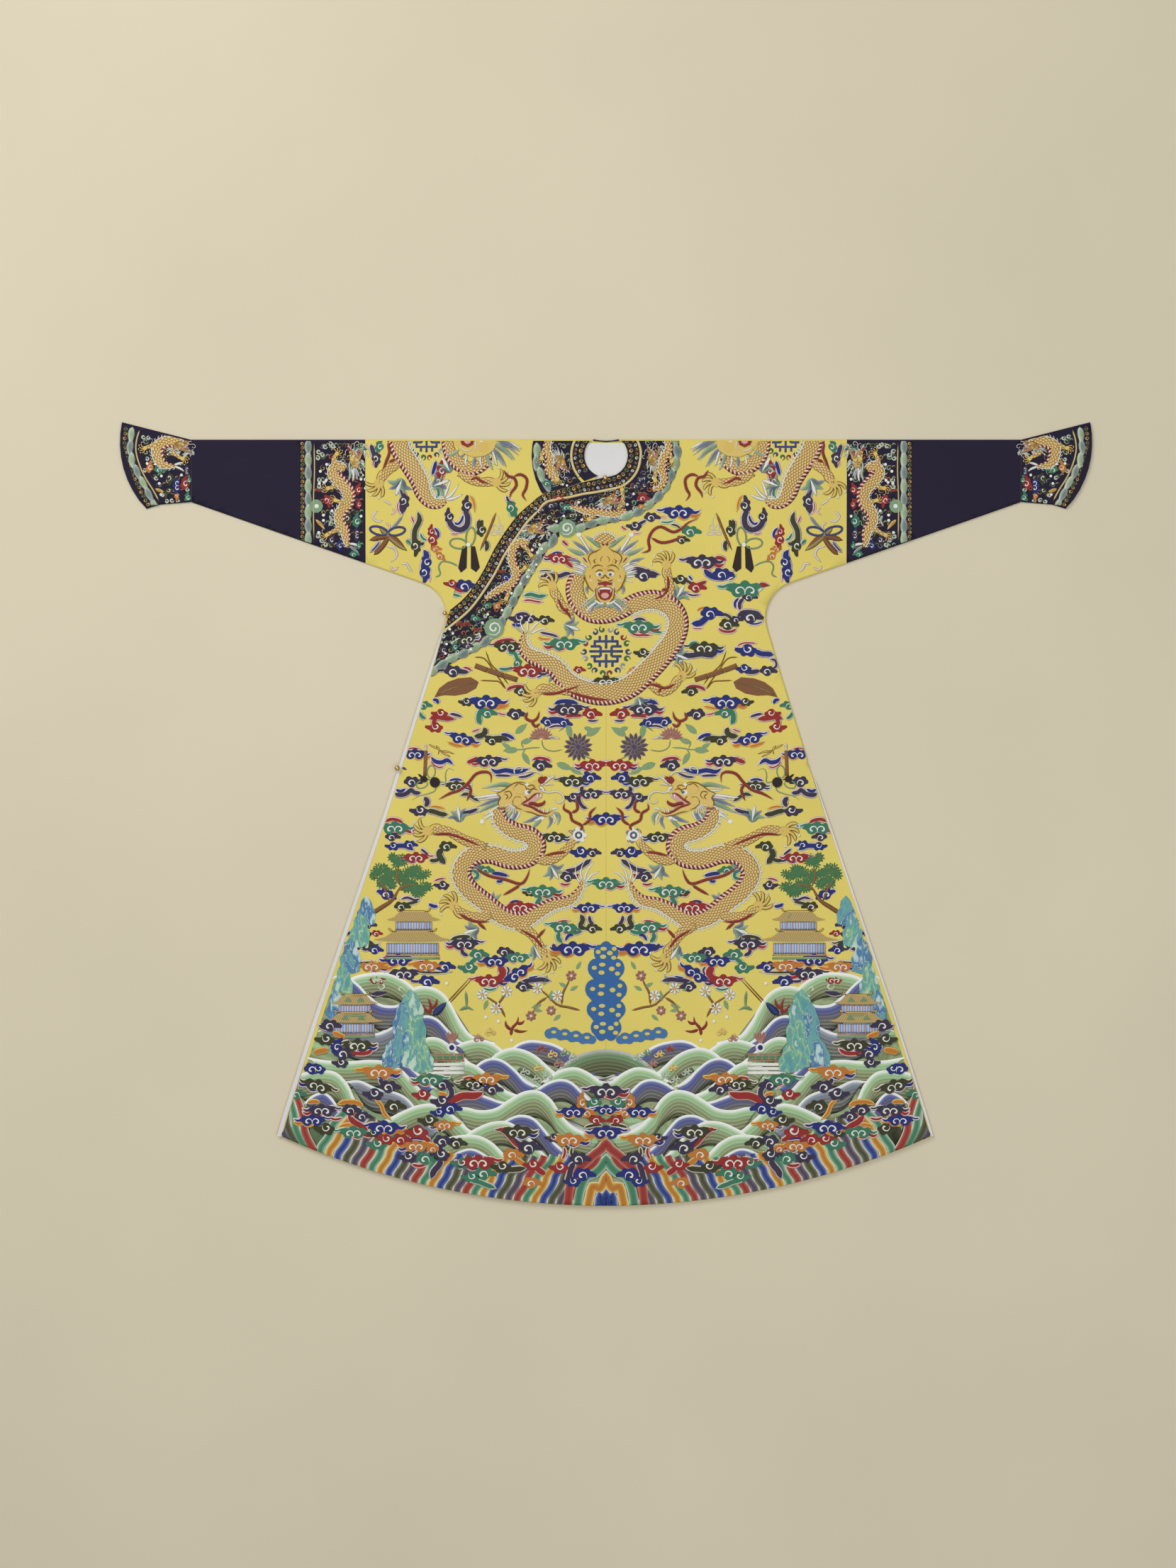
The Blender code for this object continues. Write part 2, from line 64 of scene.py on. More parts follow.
def new_material(name, colour, roughness):
    """A Principled material with its node tree, its shader and its Object coordinates."""
    material = bpy.data.materials.new(name)
    material.use_nodes = True
    tree = material.node_tree
    shader = tree.nodes["Principled BSDF"]
    shader.inputs["Base Color"].default_value = (*colour, 1.0)
    shader.inputs["Roughness"].default_value = roughness
    place = tree.nodes.new("ShaderNodeTexCoord").outputs["Object"]
    return material, tree, shader, place


def add_node(tree, kind, sockets, **settings):
    """A node with its sockets linked or set, and its settings."""
    node = tree.nodes.new(kind)
    for name, value in settings.items():
        setattr(node, name, value)
    for key, value in sockets.items():
        if isinstance(value, bpy.types.NodeSocket):
            tree.links.new(value, node.inputs[key])
        else:
            node.inputs[key].default_value = value
    return node


def bumped(tree, shader, height, strength, distance):
    """Feeds the shader a bump made from height."""
    bump = add_node(tree, "ShaderNodeBump", {"Height": height, "Strength": strength,
                                             "Distance": distance})
    tree.links.new(bump.outputs["Normal"], shader.inputs["Normal"])


def mottled(tree, place, scale, colour, spread):
    """Colour that drifts a little lighter and darker over the cloth."""
    noise = add_node(tree, "ShaderNodeTexNoise", {"Vector": place, "Scale": scale, "Detail": 4.0})
    ramp = add_node(tree, "ShaderNodeValToRGB", {"Fac": noise.outputs["Fac"]})
    ramp.color_ramp.elements[0].position = 0.3
    ramp.color_ramp.elements[0].color = (*(c * (1.0 - spread) for c in colour), 1.0)
    ramp.color_ramp.elements[1].position = 0.7
    ramp.color_ramp.elements[1].color = (*(min(1.0, c * (1.0 + spread)) for c in colour), 1.0)
    return ramp.outputs["Color"]


def mesh_of(bm, name, *materials):
    """The mesh that a bmesh ends as."""
    mesh = bpy.data.meshes.new(name)
    bm.to_mesh(mesh)
    bm.free()
    for material in materials:
        mesh.materials.append(material)
    return mesh


def new_object(name, data):
    """An object in the scene, unturned at the origin."""
    made = bpy.data.objects.new(name, data)
    bpy.context.scene.collection.objects.link(made)
    return made


def add_floor():
    material, tree, shader, place = new_material("table_paper", FLOOR_COLOUR, 0.9)
    tree.links.new(mottled(tree, place, 1.5, FLOOR_COLOUR, 0.03), shader.inputs["Base Color"])
    fibres = add_node(tree, "ShaderNodeTexNoise", {"Vector": place, "Scale": 350.0})
    bumped(tree, shader, fibres.outputs["Fac"], 0.15, 0.001)
    bm = bmesh.new()
    bmesh.ops.create_grid(bm, x_segments=1, y_segments=1, size=FLOOR_SIZE / 2)
    table_top = new_object("table_top", mesh_of(bm, "table_top", material))


def add_light(name, place, aim, size, power, colour):
    light = bpy.data.lights.new(name, "AREA")
    light.size = size
    light.energy = power
    light.color = colour
    lamp = new_object(name, light)
    lamp.location = place
    lamp.rotation_euler = (Vector(aim) - Vector(place)).to_track_quat("-Z", "Y").to_euler()


add_floor()
add_light("window_light", (-2.6, 3.2, 3.4), (0.0, 0.0, 0.0), 2.4, 125.0, (1.0, 0.98, 0.95))
add_light("ceiling_light", (0.6, -0.4, 4.6), (0.0, 0.0, 0.0), 5.0, 105.0, (1.0, 1.0, 1.0))

world = bpy.data.worlds.new("room")
world.use_nodes = True
world.node_tree.nodes["Background"].inputs["Color"].default_value = (1.0, 0.99, 0.97, 1.0)
world.node_tree.nodes["Background"].inputs["Strength"].default_value = 0.33
bpy.context.scene.world = world

bpy.context.scene.view_settings.view_transform = "Standard"

camera_data = bpy.data.cameras.new("camera")
camera_data.lens = CAMERA_LENS
camera_data.sensor_width = CAMERA_SENSOR
camera = new_object("camera", camera_data)
camera.location = CAMERA_PLACE
bpy.context.scene.camera = camera

# ---------------------------------------------------------------------------------------------
# The silk widths: two lengths of yellow satin folded over at the shoulder and sewn at the sides,
# and the overlap sewn to the left one at the centre. Each lies loosely, in low soft swells that
# lift only the front, because the back is flat on the table.
# ---------------------------------------------------------------------------------------------
YELLOW_SILK = (0.70, 0.585, 0.138)
CLOTH_CELL = 0.022
BACK_TOP = 0.0015
FRONT_UNDER = 0.0031
THREAD_WIDTH = 0.0011
# Soft ridges pressed by folding: (x, y) to (x, y), half width, height
SWELLS = (
    ((0.30, 0.40), (0.10, 0.24), 0.030, 0.0016),
    ((-0.31, 0.36), (-0.12, 0.22), 0.030, 0.0014),
    ((0.33, 0.47), (0.44, 0.66), 0.028, 0.0014),
    ((-0.33, 0.49), (-0.43, 0.66), 0.028, 0.0014),
    ((0.50, 0.52), (0.70, 0.64), 0.024, 0.0014),
    ((-0.50, 0.52), (-0.70, 0.64), 0.024, 0.0014),
    ((0.24, 0.10), (0.36, -0.58), 0.036, 0.0020),
    ((-0.24, 0.08), (-0.37, -0.58), 0.036, 0.0020),
    ((0.10, -0.02), (0.15, -0.66), 0.034, 0.0017),
    ((-0.09, -0.06), (-0.14, -0.66), 0.034, 0.0017),
    ((0.40, -0.14), (0.52, -0.56), 0.026, 0.0014),
    ((-0.40, -0.12), (-0.52, -0.56), 0.026, 0.0014),
    ((0.02, 0.30), (0.01, 0.02), 0.040, 0.0012),
)


def swell(x, y):
    """How far the front is lifted off its flat level at a place."""
    rise = 0.0
    for (x0, y0), (x1, y1), width, height in SWELLS:
        run_x, run_y = x1 - x0, y1 - y0
        length2 = run_x * run_x + run_y * run_y
        along = ((x - x0) * run_x + (y - y0) * run_y) / length2
        clipped = min(max(along, 0.0), 1.0)
        off_x, off_y = x - x0 - clipped * run_x, y - y0 - clipped * run_y
        rise += height * math.exp(-(off_x * off_x + off_y * off_y) / (width * width))
    return rise


def cloth_shell(node, name, cell, lifted=True):
    """The panel's own shape as a welded mesh of small cells, with its swells."""
    bm = bmesh.new()
    bm.from_mesh(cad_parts[node].data)
    bmesh.ops.remove_doubles(bm, verts=bm.verts[:], dist=1e-6)
    bmesh.ops.dissolve_limit(bm, angle_limit=math.radians(0.5), verts=bm.verts[:],
                             edges=bm.edges[:])
    low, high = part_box(node)
    for axis in (0, 1):
        normal = Vector((0.0, 0.0, 0.0))
        normal[axis] = 1.0
        for i in range(1, int((high[axis] - low[axis]) / cell) + 1):
            bmesh.ops.bisect_plane(bm, geom=bm.verts[:] + bm.edges[:] + bm.faces[:],
                                   plane_co=normal * (low[axis] + i * cell), plane_no=normal,
                                   dist=1e-6)
    if lifted:
        for v in bm.verts:
            share = min(max((v.co.z - BACK_TOP) / (FRONT_UNDER - BACK_TOP), 0.0), 1.0)
            v.co.z += share * swell(v.co.x, v.co.y)
    return new_object(name, mesh_of(bm, name))


def satin(name, colour):
    """Silk satin: fine floats along the piece, a soft sheen and a slight drift of tone."""
    material, tree, shader, place = new_material(name, colour, 0.5)
    shader.inputs["Specular IOR Level"].default_value = 0.15
    shader.inputs["Sheen Weight"].default_value = 0.04
    shader.inputs["Sheen Roughness"].default_value = 0.4
    tree.links.new(mottled(tree, place, 6.0, colour, 0.035), shader.inputs["Base Color"])
    warp, weft = (
        add_node(tree, "ShaderNodeTexWave",
                 {"Vector": place, "Scale": share / THREAD_WIDTH * 6.28, "Distortion": 0.6,
                  "Detail": 1.0}, bands_direction=axis).outputs["Fac"]
        for axis, share in (("X", 0.05), ("Y", 0.02)))
    floats = add_node(tree, "ShaderNodeMath", {0: warp, 1: weft}, operation="ADD")
    bumped(tree, shader, floats.outputs["Value"], 0.25, 0.0002)
    return material


def lay_cloth(shell, node, material):
    """Dresses a shell in its material, hangs it from the root and hides the solid it stands for.
    """
    shell.data.materials.append(material)
    shell.data.shade_smooth()
    shell.data.set_sharp_from_angle(angle=math.radians(40))
    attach(shell, "root")
    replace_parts(shell, node)


yellow_satin = satin("yellow_satin", YELLOW_SILK)
for node, flat, area in (("robe_right", (0.63, 2.90), 1.25), ("robe_left", (0.63, 2.90), 1.28),
        ("overlap_front", (0.63, 1.40), 0.56)):
    lay_cloth(cloth_shell(node, "silk_" + node, CLOTH_CELL), node, yellow_satin)

# ---------------------------------------------------------------------------------------------
# The lining of the back, thin white silk, seen through the neck hole, and the pale edging
# turned over the open sides of the outer front.
# ---------------------------------------------------------------------------------------------
PALE_SILK = (0.68, 0.68, 0.69)

pale_satin = satin("pale_satin", PALE_SILK)
lay_cloth(cloth_shell("back_lining", "silk_back_lining", 0.06, lifted=False), "back_lining",
          pale_satin)
for node, flat, area in (("side_edge_right", (0.012, 1.03), 0.0064),
                         ("side_edge_left", (0.010, 0.80), 0.0027)):
    lay_cloth(cloth_shell(node, "silk_" + node, CLOTH_CELL), node, pale_satin)

# ---------------------------------------------------------------------------------------------
# Dark bands and sleeves: navy silk for the collar, the lapel, the bands and the cuffs, and plain
# navy for the lower sleeves.
# ---------------------------------------------------------------------------------------------
NAVY_SILK = (0.0115, 0.0080, 0.0270)

navy_satin = satin("navy_satin", NAVY_SILK)
for node, slot, flat, area in (
        ("collar_right", "navy_silk", (0.12, 0.08), 0.0069),
        ("lapel_field", "navy_silk", (0.55, 0.09), 0.038),
        ("lapel_band", "scroll_band", (0.62, 0.025), 0.0105),
        ("neck_band_right", "scroll_band", (0.10, 0.023), 0.0018),
        ("neck_band_back", "scroll_band", (0.05, 0.010), 0.00020),
        ("sleeve_band_left", "navy_silk", (0.125, 0.50), 0.056),
        ("sleeve_band_right", "navy_silk", (0.125, 0.50), 0.056),
        ("sleeve_left", "plain_navy_silk", (0.206, 0.42), 0.068),
        ("sleeve_right", "plain_navy_silk", (0.206, 0.42), 0.068),
        ("cuff_left", "navy_silk", (0.13, 0.36), 0.038),
        ("cuff_right", "navy_silk", (0.13, 0.36), 0.038)):
    lay_cloth(cloth_shell(node, "silk_" + node, CLOTH_CELL / 2), node, navy_satin)

# ---------------------------------------------------------------------------------------------
# Clouds of coloured floss on the yellow silk, in shaded satin stitch with white edges and curls.
# The embroiderer's pattern is in centimetres on the robe: X from the centre seam, Y from its
# middle, and every piece of stitching is then laid on the silk as it lies.
# ---------------------------------------------------------------------------------------------
CM = 0.01
OVERLAP_TOP = 0.0064
LEFT_TOP = 0.0046
SETTLE_WIDTH = 0.18
# The overlap's free edge, from the neck to the armpit, as the collar's maker marked it
OVERLAP_EDGE = ((0, 0.638), (-0.0255, 0.6325), (-0.050, 0.6265), (-0.074, 0.6175), (-0.118, 0.607),
    (-0.140, 0.590), (-0.165, 0.5685), (-0.187, 0.5405), (-0.212, 0.5015), (-0.230, 0.465),
    (-0.252, 0.429), (-0.274, 0.4035), (-0.302, 0.3815))


def ease(t):
    t = min(max(t, 0.0), 1.0)
    return t * t * (3.0 - 2.0 * t)


def edge_height(x):
    """Y of the overlap's free edge at a place on the right half."""
    for (x0, y0), (x1, y1) in zip(OVERLAP_EDGE, OVERLAP_EDGE[1:]):
        if x >= x1:
            return y0 + (y1 - y0) * (x - x0) / (x1 - x0)
    return OVERLAP_EDGE[-1][1]


def silk_top(x, y):
    """Height of the silk's face at a place on the front."""
    level = LEFT_TOP
    if x > 0.0 or y < edge_height(x):
        level += (OVERLAP_TOP - LEFT_TOP) * ease(1.0 - x / SETTLE_WIDTH)
    return level + swell(x, y)


def dyed(red, green, blue):
    """A thread's colour as seen, 0 to 255, as linear light."""
    return tuple((c / 255.0) ** 2.2 for c in (red, green, blue))


def calc(tree, operation, first, second=0.0, third=0.0):
    node = add_node(tree, "ShaderNodeMath", {0: first, 1: second, 2: third}, operation=operation)
    return node.outputs["Value"]


def ramp_of(tree, place, stops):
    """Colour ramp with its stops as (place, red, green, blue)."""
    ramp = tree.nodes.new("ShaderNodeValToRGB")
    tree.links.new(place, ramp.inputs["Fac"])
    elements = ramp.color_ramp.elements
    while len(elements) < len(stops):
        elements.new(0.5)
    for element, (at, *dye) in zip(elements, stops):
        element.position = at
        element.color = (*dyed(*dye), 1.0)
    return ramp.outputs["Color"]


def thread_parts(tree):
    """How far along, how deep inside the edge, and how far across a stitched shape, in cm."""
    attribute = tree.nodes.new("ShaderNodeAttribute")
    attribute.attribute_name = "thread"
    parts = add_node(tree, "ShaderNodeSeparateXYZ", {0: attribute.outputs["Vector"]})
    return parts.outputs["X"], parts.outputs["Y"], parts.outputs["Z"], attribute.outputs["Vector"]


def stitched(tree, shader, colour, line, vector, pitch=0.07, contrast=0.04):
    """Lays single threads over a colour: each a little lighter or darker, with its own relief."""
    lines = calc(tree, "SINE", calc(tree, "MULTIPLY", line, 6.2832 / pitch))
    drift = add_node(tree, "ShaderNodeTexNoise", {"Vector": vector, "Scale": 3.0, "Detail": 3.0})
    shade = calc(tree, "MULTIPLY_ADD", lines, contrast, 0.93)
    shade = calc(tree, "ADD", shade, calc(tree, "MULTIPLY", drift.outputs["Fac"], 0.14))
    mix = add_node(tree, "ShaderNodeVectorMath", {0: colour, "Scale": shade}, operation="SCALE")
    tree.links.new(mix.outputs["Vector"], shader.inputs["Base Color"])
    bumped(tree, shader, lines, 0.35, 0.0002)


def floss(name, *stops, reach=0.6, by="depth", pitch=0.07, contrast=0.04):
    """Silk floss shaded from a shape's edge inwards, or from one side across.

    Each stop is how many cm from there and the dye's red, green and blue.
    """
    material, tree, shader, _ = new_material(name, dyed(*stops[-1][1:]), 0.5)
    shader.inputs["Specular IOR Level"].default_value = 0.2
    along, depth, across, vector = thread_parts(tree)
    line = across if by == "side" else along
    measure = calc(tree, "DIVIDE", across if by == "side" else depth, reach)
    colour = ramp_of(tree, measure, [(at / reach, *dye) for at, *dye in stops])
    if by == "side":
        contrast = calc(tree, "MULTIPLY", measure, contrast)
    stitched(tree, shader, colour, line, vector, pitch, contrast)
    return material


def shaded(name, edge, middle, core):
    return floss(name, (0.0, *edge), (0.23, *edge), (0.28, *middle), (0.34, *core))


THREADS = {
    "blue": shaded("blue_floss", (222, 212, 206), (80, 88, 156), (42, 50, 112)),
    "teal": shaded("teal_floss", (212, 218, 198), (104, 158, 132), (62, 116, 92)),
    "red": shaded("red_floss", (226, 200, 188), (176, 82, 74), (144, 48, 46)),
    "olive": shaded("olive_floss", (218, 212, 192), (104, 104, 78), (62, 62, 44)),
    "plum": shaded("plum_floss", (222, 208, 206), (96, 88, 116), (60, 54, 74)),
    "orange": floss("orange_floss", (0.0, 238, 224, 170), (0.12, 238, 214, 130),
                    (0.18, 226, 166, 60), (0.25, 206, 130, 48),
                    (0.35, 184, 116, 54)),
    "white": floss("white_floss", (0.0, 232, 232, 224), (0.3, 226, 226, 216)),
}
THREAD_NAMES = list(THREADS)

FLOSS_PILE = 0.06
PILE_EDGE = 0.09
FULL = (-1.0, -0.8, -0.45, 0.0, 0.45, 0.8, 1.0)
MEDIUM = (-1.0, -0.55, 0.0, 0.55, 1.0)
THIN = (-1.0, 0.0, 1.0)


def new_stitching():
    bm = bmesh.new()
    bm.verts.layers.float_vector.new("thread")
    return bm


def pile(depth, height):
    """How high the stitching stands at a distance inside its edge."""
    return height * (1.0 - math.exp(-depth / PILE_EDGE))


def set_thread(verts, colour):
    for face in {face for v in verts for face in v.link_faces}:
        face.material_index = THREAD_NAMES.index(colour)
        face.smooth = True


def smooth_line(rows, steps=5):
    """Catmull-Rom curve through rows of numbers."""
    rows = [Vector(row) for row in rows]
    rows = [2 * rows[0] - rows[1]] + rows + [2 * rows[-1] - rows[-2]]
    line = []
    for p0, p1, p2, p3 in zip(rows, rows[1:], rows[2:], rows[3:]):
        for i in range(steps):
            t = i / steps
            line.append(0.5 * (2 * p1 + (p2 - p0) * t + (2 * p0 - 5 * p1 + 4 * p2 - p3) * t * t
                               + (3 * p1 - p0 - 3 * p2 + p3) * t * t * t))
    line.append(rows[-2])
    return line


def tapered(points, half_width, steps=4, start=0.35, end=0.35):
    """Curve through points, with a half width that swells from round ends."""
    line = smooth_line(points, steps)
    last = len(line) - 1
    rows = []
    for i, p in enumerate(line):
        t = i / last
        grow = min(1.0, t / start) if start else 1.0
        fade = min(1.0, (1.0 - t) / end) if end else 1.0
        rows.append((p[0], p[1], half_width * math.sqrt(max(grow * fade, 0.0))))
    return rows


def ribbon(bm, rows, colour, base=0.0, height=FLOSS_PILE, columns=FULL):
    """Closed domed strip of stitches along rows of x, y and half width."""
    thread = bm.verts.layers.float_vector["thread"]
    last = len(rows) - 1
    wide = len(columns)
    made = bmesh.ops.create_grid(bm, x_segments=last, y_segments=wide, size=0.5)["verts"]
    along = [0.0]
    for a, b in zip(rows, rows[1:]):
        along.append(along[-1] + math.dist(a[:2], b[:2]))
    sides = []
    for i in range(last + 1):
        a, b = rows[max(i - 1, 0)], rows[min(i + 1, last)]
        run = math.hypot(b[0] - a[0], b[1] - a[1]) or 1.0
        sides.append(((a[1] - b[1]) / run, (b[0] - a[0]) / run))
    for v in made:
        i = round((v.co.x + 0.5) * last)
        j = round((v.co.y + 0.5) * wide)
        share = columns[j] if j < wide else columns[0]
        x, y, half = rows[i][:3]
        depth = half * (1.0 - abs(share))
        off = share * half
        v.co = (x + sides[i][0] * off, y + sides[i][1] * off, base + pile(depth, height))
        v[thread] = (along[i], depth, half + off)
    set_thread(made, colour)
    return made


def patch(bm, outline, colour, base=0.0, height=FLOSS_PILE, insets=(0.2, 0.15)):
    """Padded shape inside an outline, domed from its edge inwards."""
    thread = bm.verts.layers.float_vector["thread"]
    verts = [bm.verts.new((x, y, base)) for x, y in outline]
    face = bm.faces.new(verts)
    face.normal_update()
    if face.normal.z < 0:
        face.normal_flip()
    depth = 0.0
    for v in verts:
        v[thread] = (v.co.x + 0.4 * v.co.y, 0.0, v.co.y)
    made = list(verts)
    for inset in insets:
        bmesh.ops.inset_region(bm, faces=[face], thickness=inset, use_even_offset=False)
        depth += inset
        for v in face.verts:
            v.co.z = base + pile(depth, height)
            v[thread] = (v.co.x + 0.4 * v.co.y, depth, v.co.y)
        made += list(face.verts)
    set_thread(made, colour)
    return made


def curl(bm, x, y, size, turn=1, angle=0.0, colour="white", base=0.045, turns=1.3, weight=1.0):
    """White spiral that thickens towards its middle."""
    rows = []
    for i in range(15):
        t = i / 14
        spin = math.radians(angle) + turn * t * turns * 2 * math.pi
        radius = size * (1.0 - 0.86 * t)
        width = weight * size * (0.05 + 0.30 * math.sin(math.pi * min(t * 0.62 + 0.05, 1.0)))
        if i in (0, 14):
            width = 0.0
        rows.append((x + radius * math.cos(spin), y + radius * math.sin(spin), width))
    ribbon(bm, rows, colour, base, 0.05, THIN)


def around(circles, count=40):
    """Outline round overlapping circles, as seen from the middle."""
    outline = []
    for i in range(count):
        angle = 2 * math.pi * i / count
        ux, uy = math.cos(angle), math.sin(angle)
        reach = 0.0
        for cx, cy, radius in circles:
            off = cx * uy - cy * ux
            if abs(off) < radius:
                reach = max(reach, cx * ux + cy * uy + math.sqrt(radius * radius - off * off))
        outline.append((reach * ux, reach * uy))
    return outline


RUYI = around(((-0.88, -0.12, 0.82), (0.88, -0.12, 0.82), (0, 0.5, 0.62), (0, 0, 0.55),
    (-1.35, 0.28, 0.55), (1.35, 0.28, 0.55), (-2, 0.02, 0.36), (2, 0.02, 0.36)), 36)
SINGLE = around(((0, -0.1, 0.86), (-0.5, 0.45, 0.55), (0.6, 0.42, 0.5), (1.2, 0.02, 0.45),
    (-1, 0, 0.42), (1.75, -0.14, 0.28)), 30)
# White hook of a cloud's curl, from its thin root to its round end: x, y, half width
HOOK = ((0.02, -0.66, 0.05), (0.05, -0.1, 0.10), (0.36, 0.28, 0.14), (0.82, 0.26, 0.16),
    (1.12, -0.06, 0.19), (1.02, -0.36, 0.24), (0.80, -0.40, 0.20), (0.68, -0.30, 0))


def placed(outline, x, y, size, angle, flip=1):
    """An outline scaled, turned and moved to its place."""
    c, s = math.cos(math.radians(angle)) * size, math.sin(math.radians(angle)) * size
    return [(x + flip * px * c - py * s, y + flip * px * s + py * c) for px, py in outline]


def hook(bm, x, y, size, angle, flip, base, dx=0.0):
    """White curl laid on a cloud's head."""
    rows = smooth_line([(*placed([(px + dx, py)], x, y, size, angle, flip)[0], half * size)
                        for px, py, half in HOOK], 2)
    ribbon(bm, [tuple(row) for row in rows], "white", base + 0.045, 0.05, THIN)


ACCENTS = {"blue": "orange", "plum": "red", "olive": "blue", "teal": "red", "red": "plum",
           "orange": "blue"}


def ruyi(bm, colour, x, y, size=1.0, angle=0.0, base=0.0):
    """Cloud head with two curls, over a drifting edge of a second colour."""
    if size > 0.7:
        flip = 1 if (round(7 * x + 3 * y) % 2) else -1
        for shade, low in ((ACCENTS[colour], -0.5), (colour, 0.1)):
            points = placed([(-3.9, low + 0.45), (-2.9, low - 0.15), (-1.9, low + 0.1),
                             (-0.9, low - 0.45), (0.6, low - 0.2)], x, y, size, angle, flip)
            wisp(bm, shade, 0.25 * size, points, base)
        tail = placed([(0.8, 0.3), (2, 0.72), (3.1, 0.36), (4.2, 0.62)], x, y, size, angle, flip)
        wisp(bm, colour, 0.2 * size, tail, base)
    size *= 1.16
    patch(bm, placed(RUYI, x, y, size, angle), colour, base + 0.01)
    for side in (-1, 1):
        hook(bm, x, y, size * 0.96, angle, side, base + 0.01)


def single(bm, colour, x, y, size=1.0, angle=0.0, flip=1, base=0.0):
    """Cloud head with one curl."""
    size *= 1.2
    patch(bm, placed(SINGLE, x, y, size, angle, flip), colour, base)
    hook(bm, x, y, size * 0.95, angle, -flip, base, -0.62)


def wisp(bm, colour, half_width, points, base=0.0):
    """Drifting tail of a cloud."""
    rows = tapered(points, half_width * 1.65 + 0.1, 3, start=0.22, end=0.22)
    ribbon(bm, rows, colour, base, columns=MEDIUM)


# The robe's outline in metres: the hem's arc, the sides from the armpit down as (y, x), the
# slanted underside of the arm and the cuff
HEM_CENTRE = 0.758
HEM_RADIUS = 1.5
SIDE_EDGE = ((0.2665, 0.331), (0, 0.414), (-0.221, 0.489), (-0.381, 0.543), (-0.560, 0.600),
    (-0.61, 0.615))
ARMPIT = (0.287, 0.416)
ARM_SLOPE = 0.3507
SHOULDER_Y = 0.7065
CUFF_X = 0.786
CUFF_FOOT = 0.594
CUFF_END = 0.915
EDGE_MARGIN = 0.0015


def side_x(y):
    """Half width of the robe below the arms."""
    for (y0, x0), (y1, x1) in zip(SIDE_EDGE, SIDE_EDGE[1:]):
        if y >= y1:
            return x0 + (x1 - x0) * (y - y0) / (y1 - y0)
    return SIDE_EDGE[-1][1]


def inside(x, y):
    """A point moved in from beyond the robe's outline."""
    reach = abs(x)
    low = HEM_CENTRE + EDGE_MARGIN / 2 - math.sqrt(HEM_RADIUS ** 2 - min(reach, 1.2) ** 2)
    top = SHOULDER_Y
    side_top, side_width = SIDE_EDGE[0]
    if y < 0.43:
        limit = side_x(y) if y < side_top else side_width - (y - side_top) * 0.27
        reach = min(reach, limit - EDGE_MARGIN)
    elif reach > CUFF_X:
        low, top = CUFF_FOOT - (reach - CUFF_X) * 0.13, SHOULDER_Y + (reach - 0.79) * 0.25
        reach = min(reach, CUFF_END - (max(0.70 - y, 0.0) * 0.30), CUFF_END - (0.645 - y) * 0.68)
    elif reach > ARMPIT[0]:
        low = ARMPIT[1] + (reach - ARMPIT[0]) * ARM_SLOPE + EDGE_MARGIN
    return math.copysign(reach, x), min(max(y, low), top)


def sew_on(bm, name, over=0.0):
    """Lays a piece of stitching on the silk and closes it underneath."""
    for v in bm.verts:
        x, y = inside(v.co.x * CM, v.co.y * CM)
        v.co.x, v.co.y = x / CM, y / CM
    bmesh.ops.remove_doubles(bm, verts=bm.verts[:], dist=1e-5)
    bmesh.ops.dissolve_degenerate(bm, edges=bm.edges[:], dist=1e-5)
    bmesh.ops.holes_fill(bm, edges=[e for e in bm.edges if e.is_boundary], sides=0)
    bmesh.ops.recalc_face_normals(bm, faces=bm.faces[:])
    for v in bm.verts:
        x, y, rise = v.co * CM
        v.co = (x, y, silk_top(x, y) + over + rise)
    used = sorted({face.material_index for face in bm.faces})
    for face in bm.faces:
        face.material_index = used.index(face.material_index)
    piece = new_object(name, mesh_of(bm, name, *(THREADS[THREAD_NAMES[i]] for i in used)))
    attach(piece, "root")
    return piece


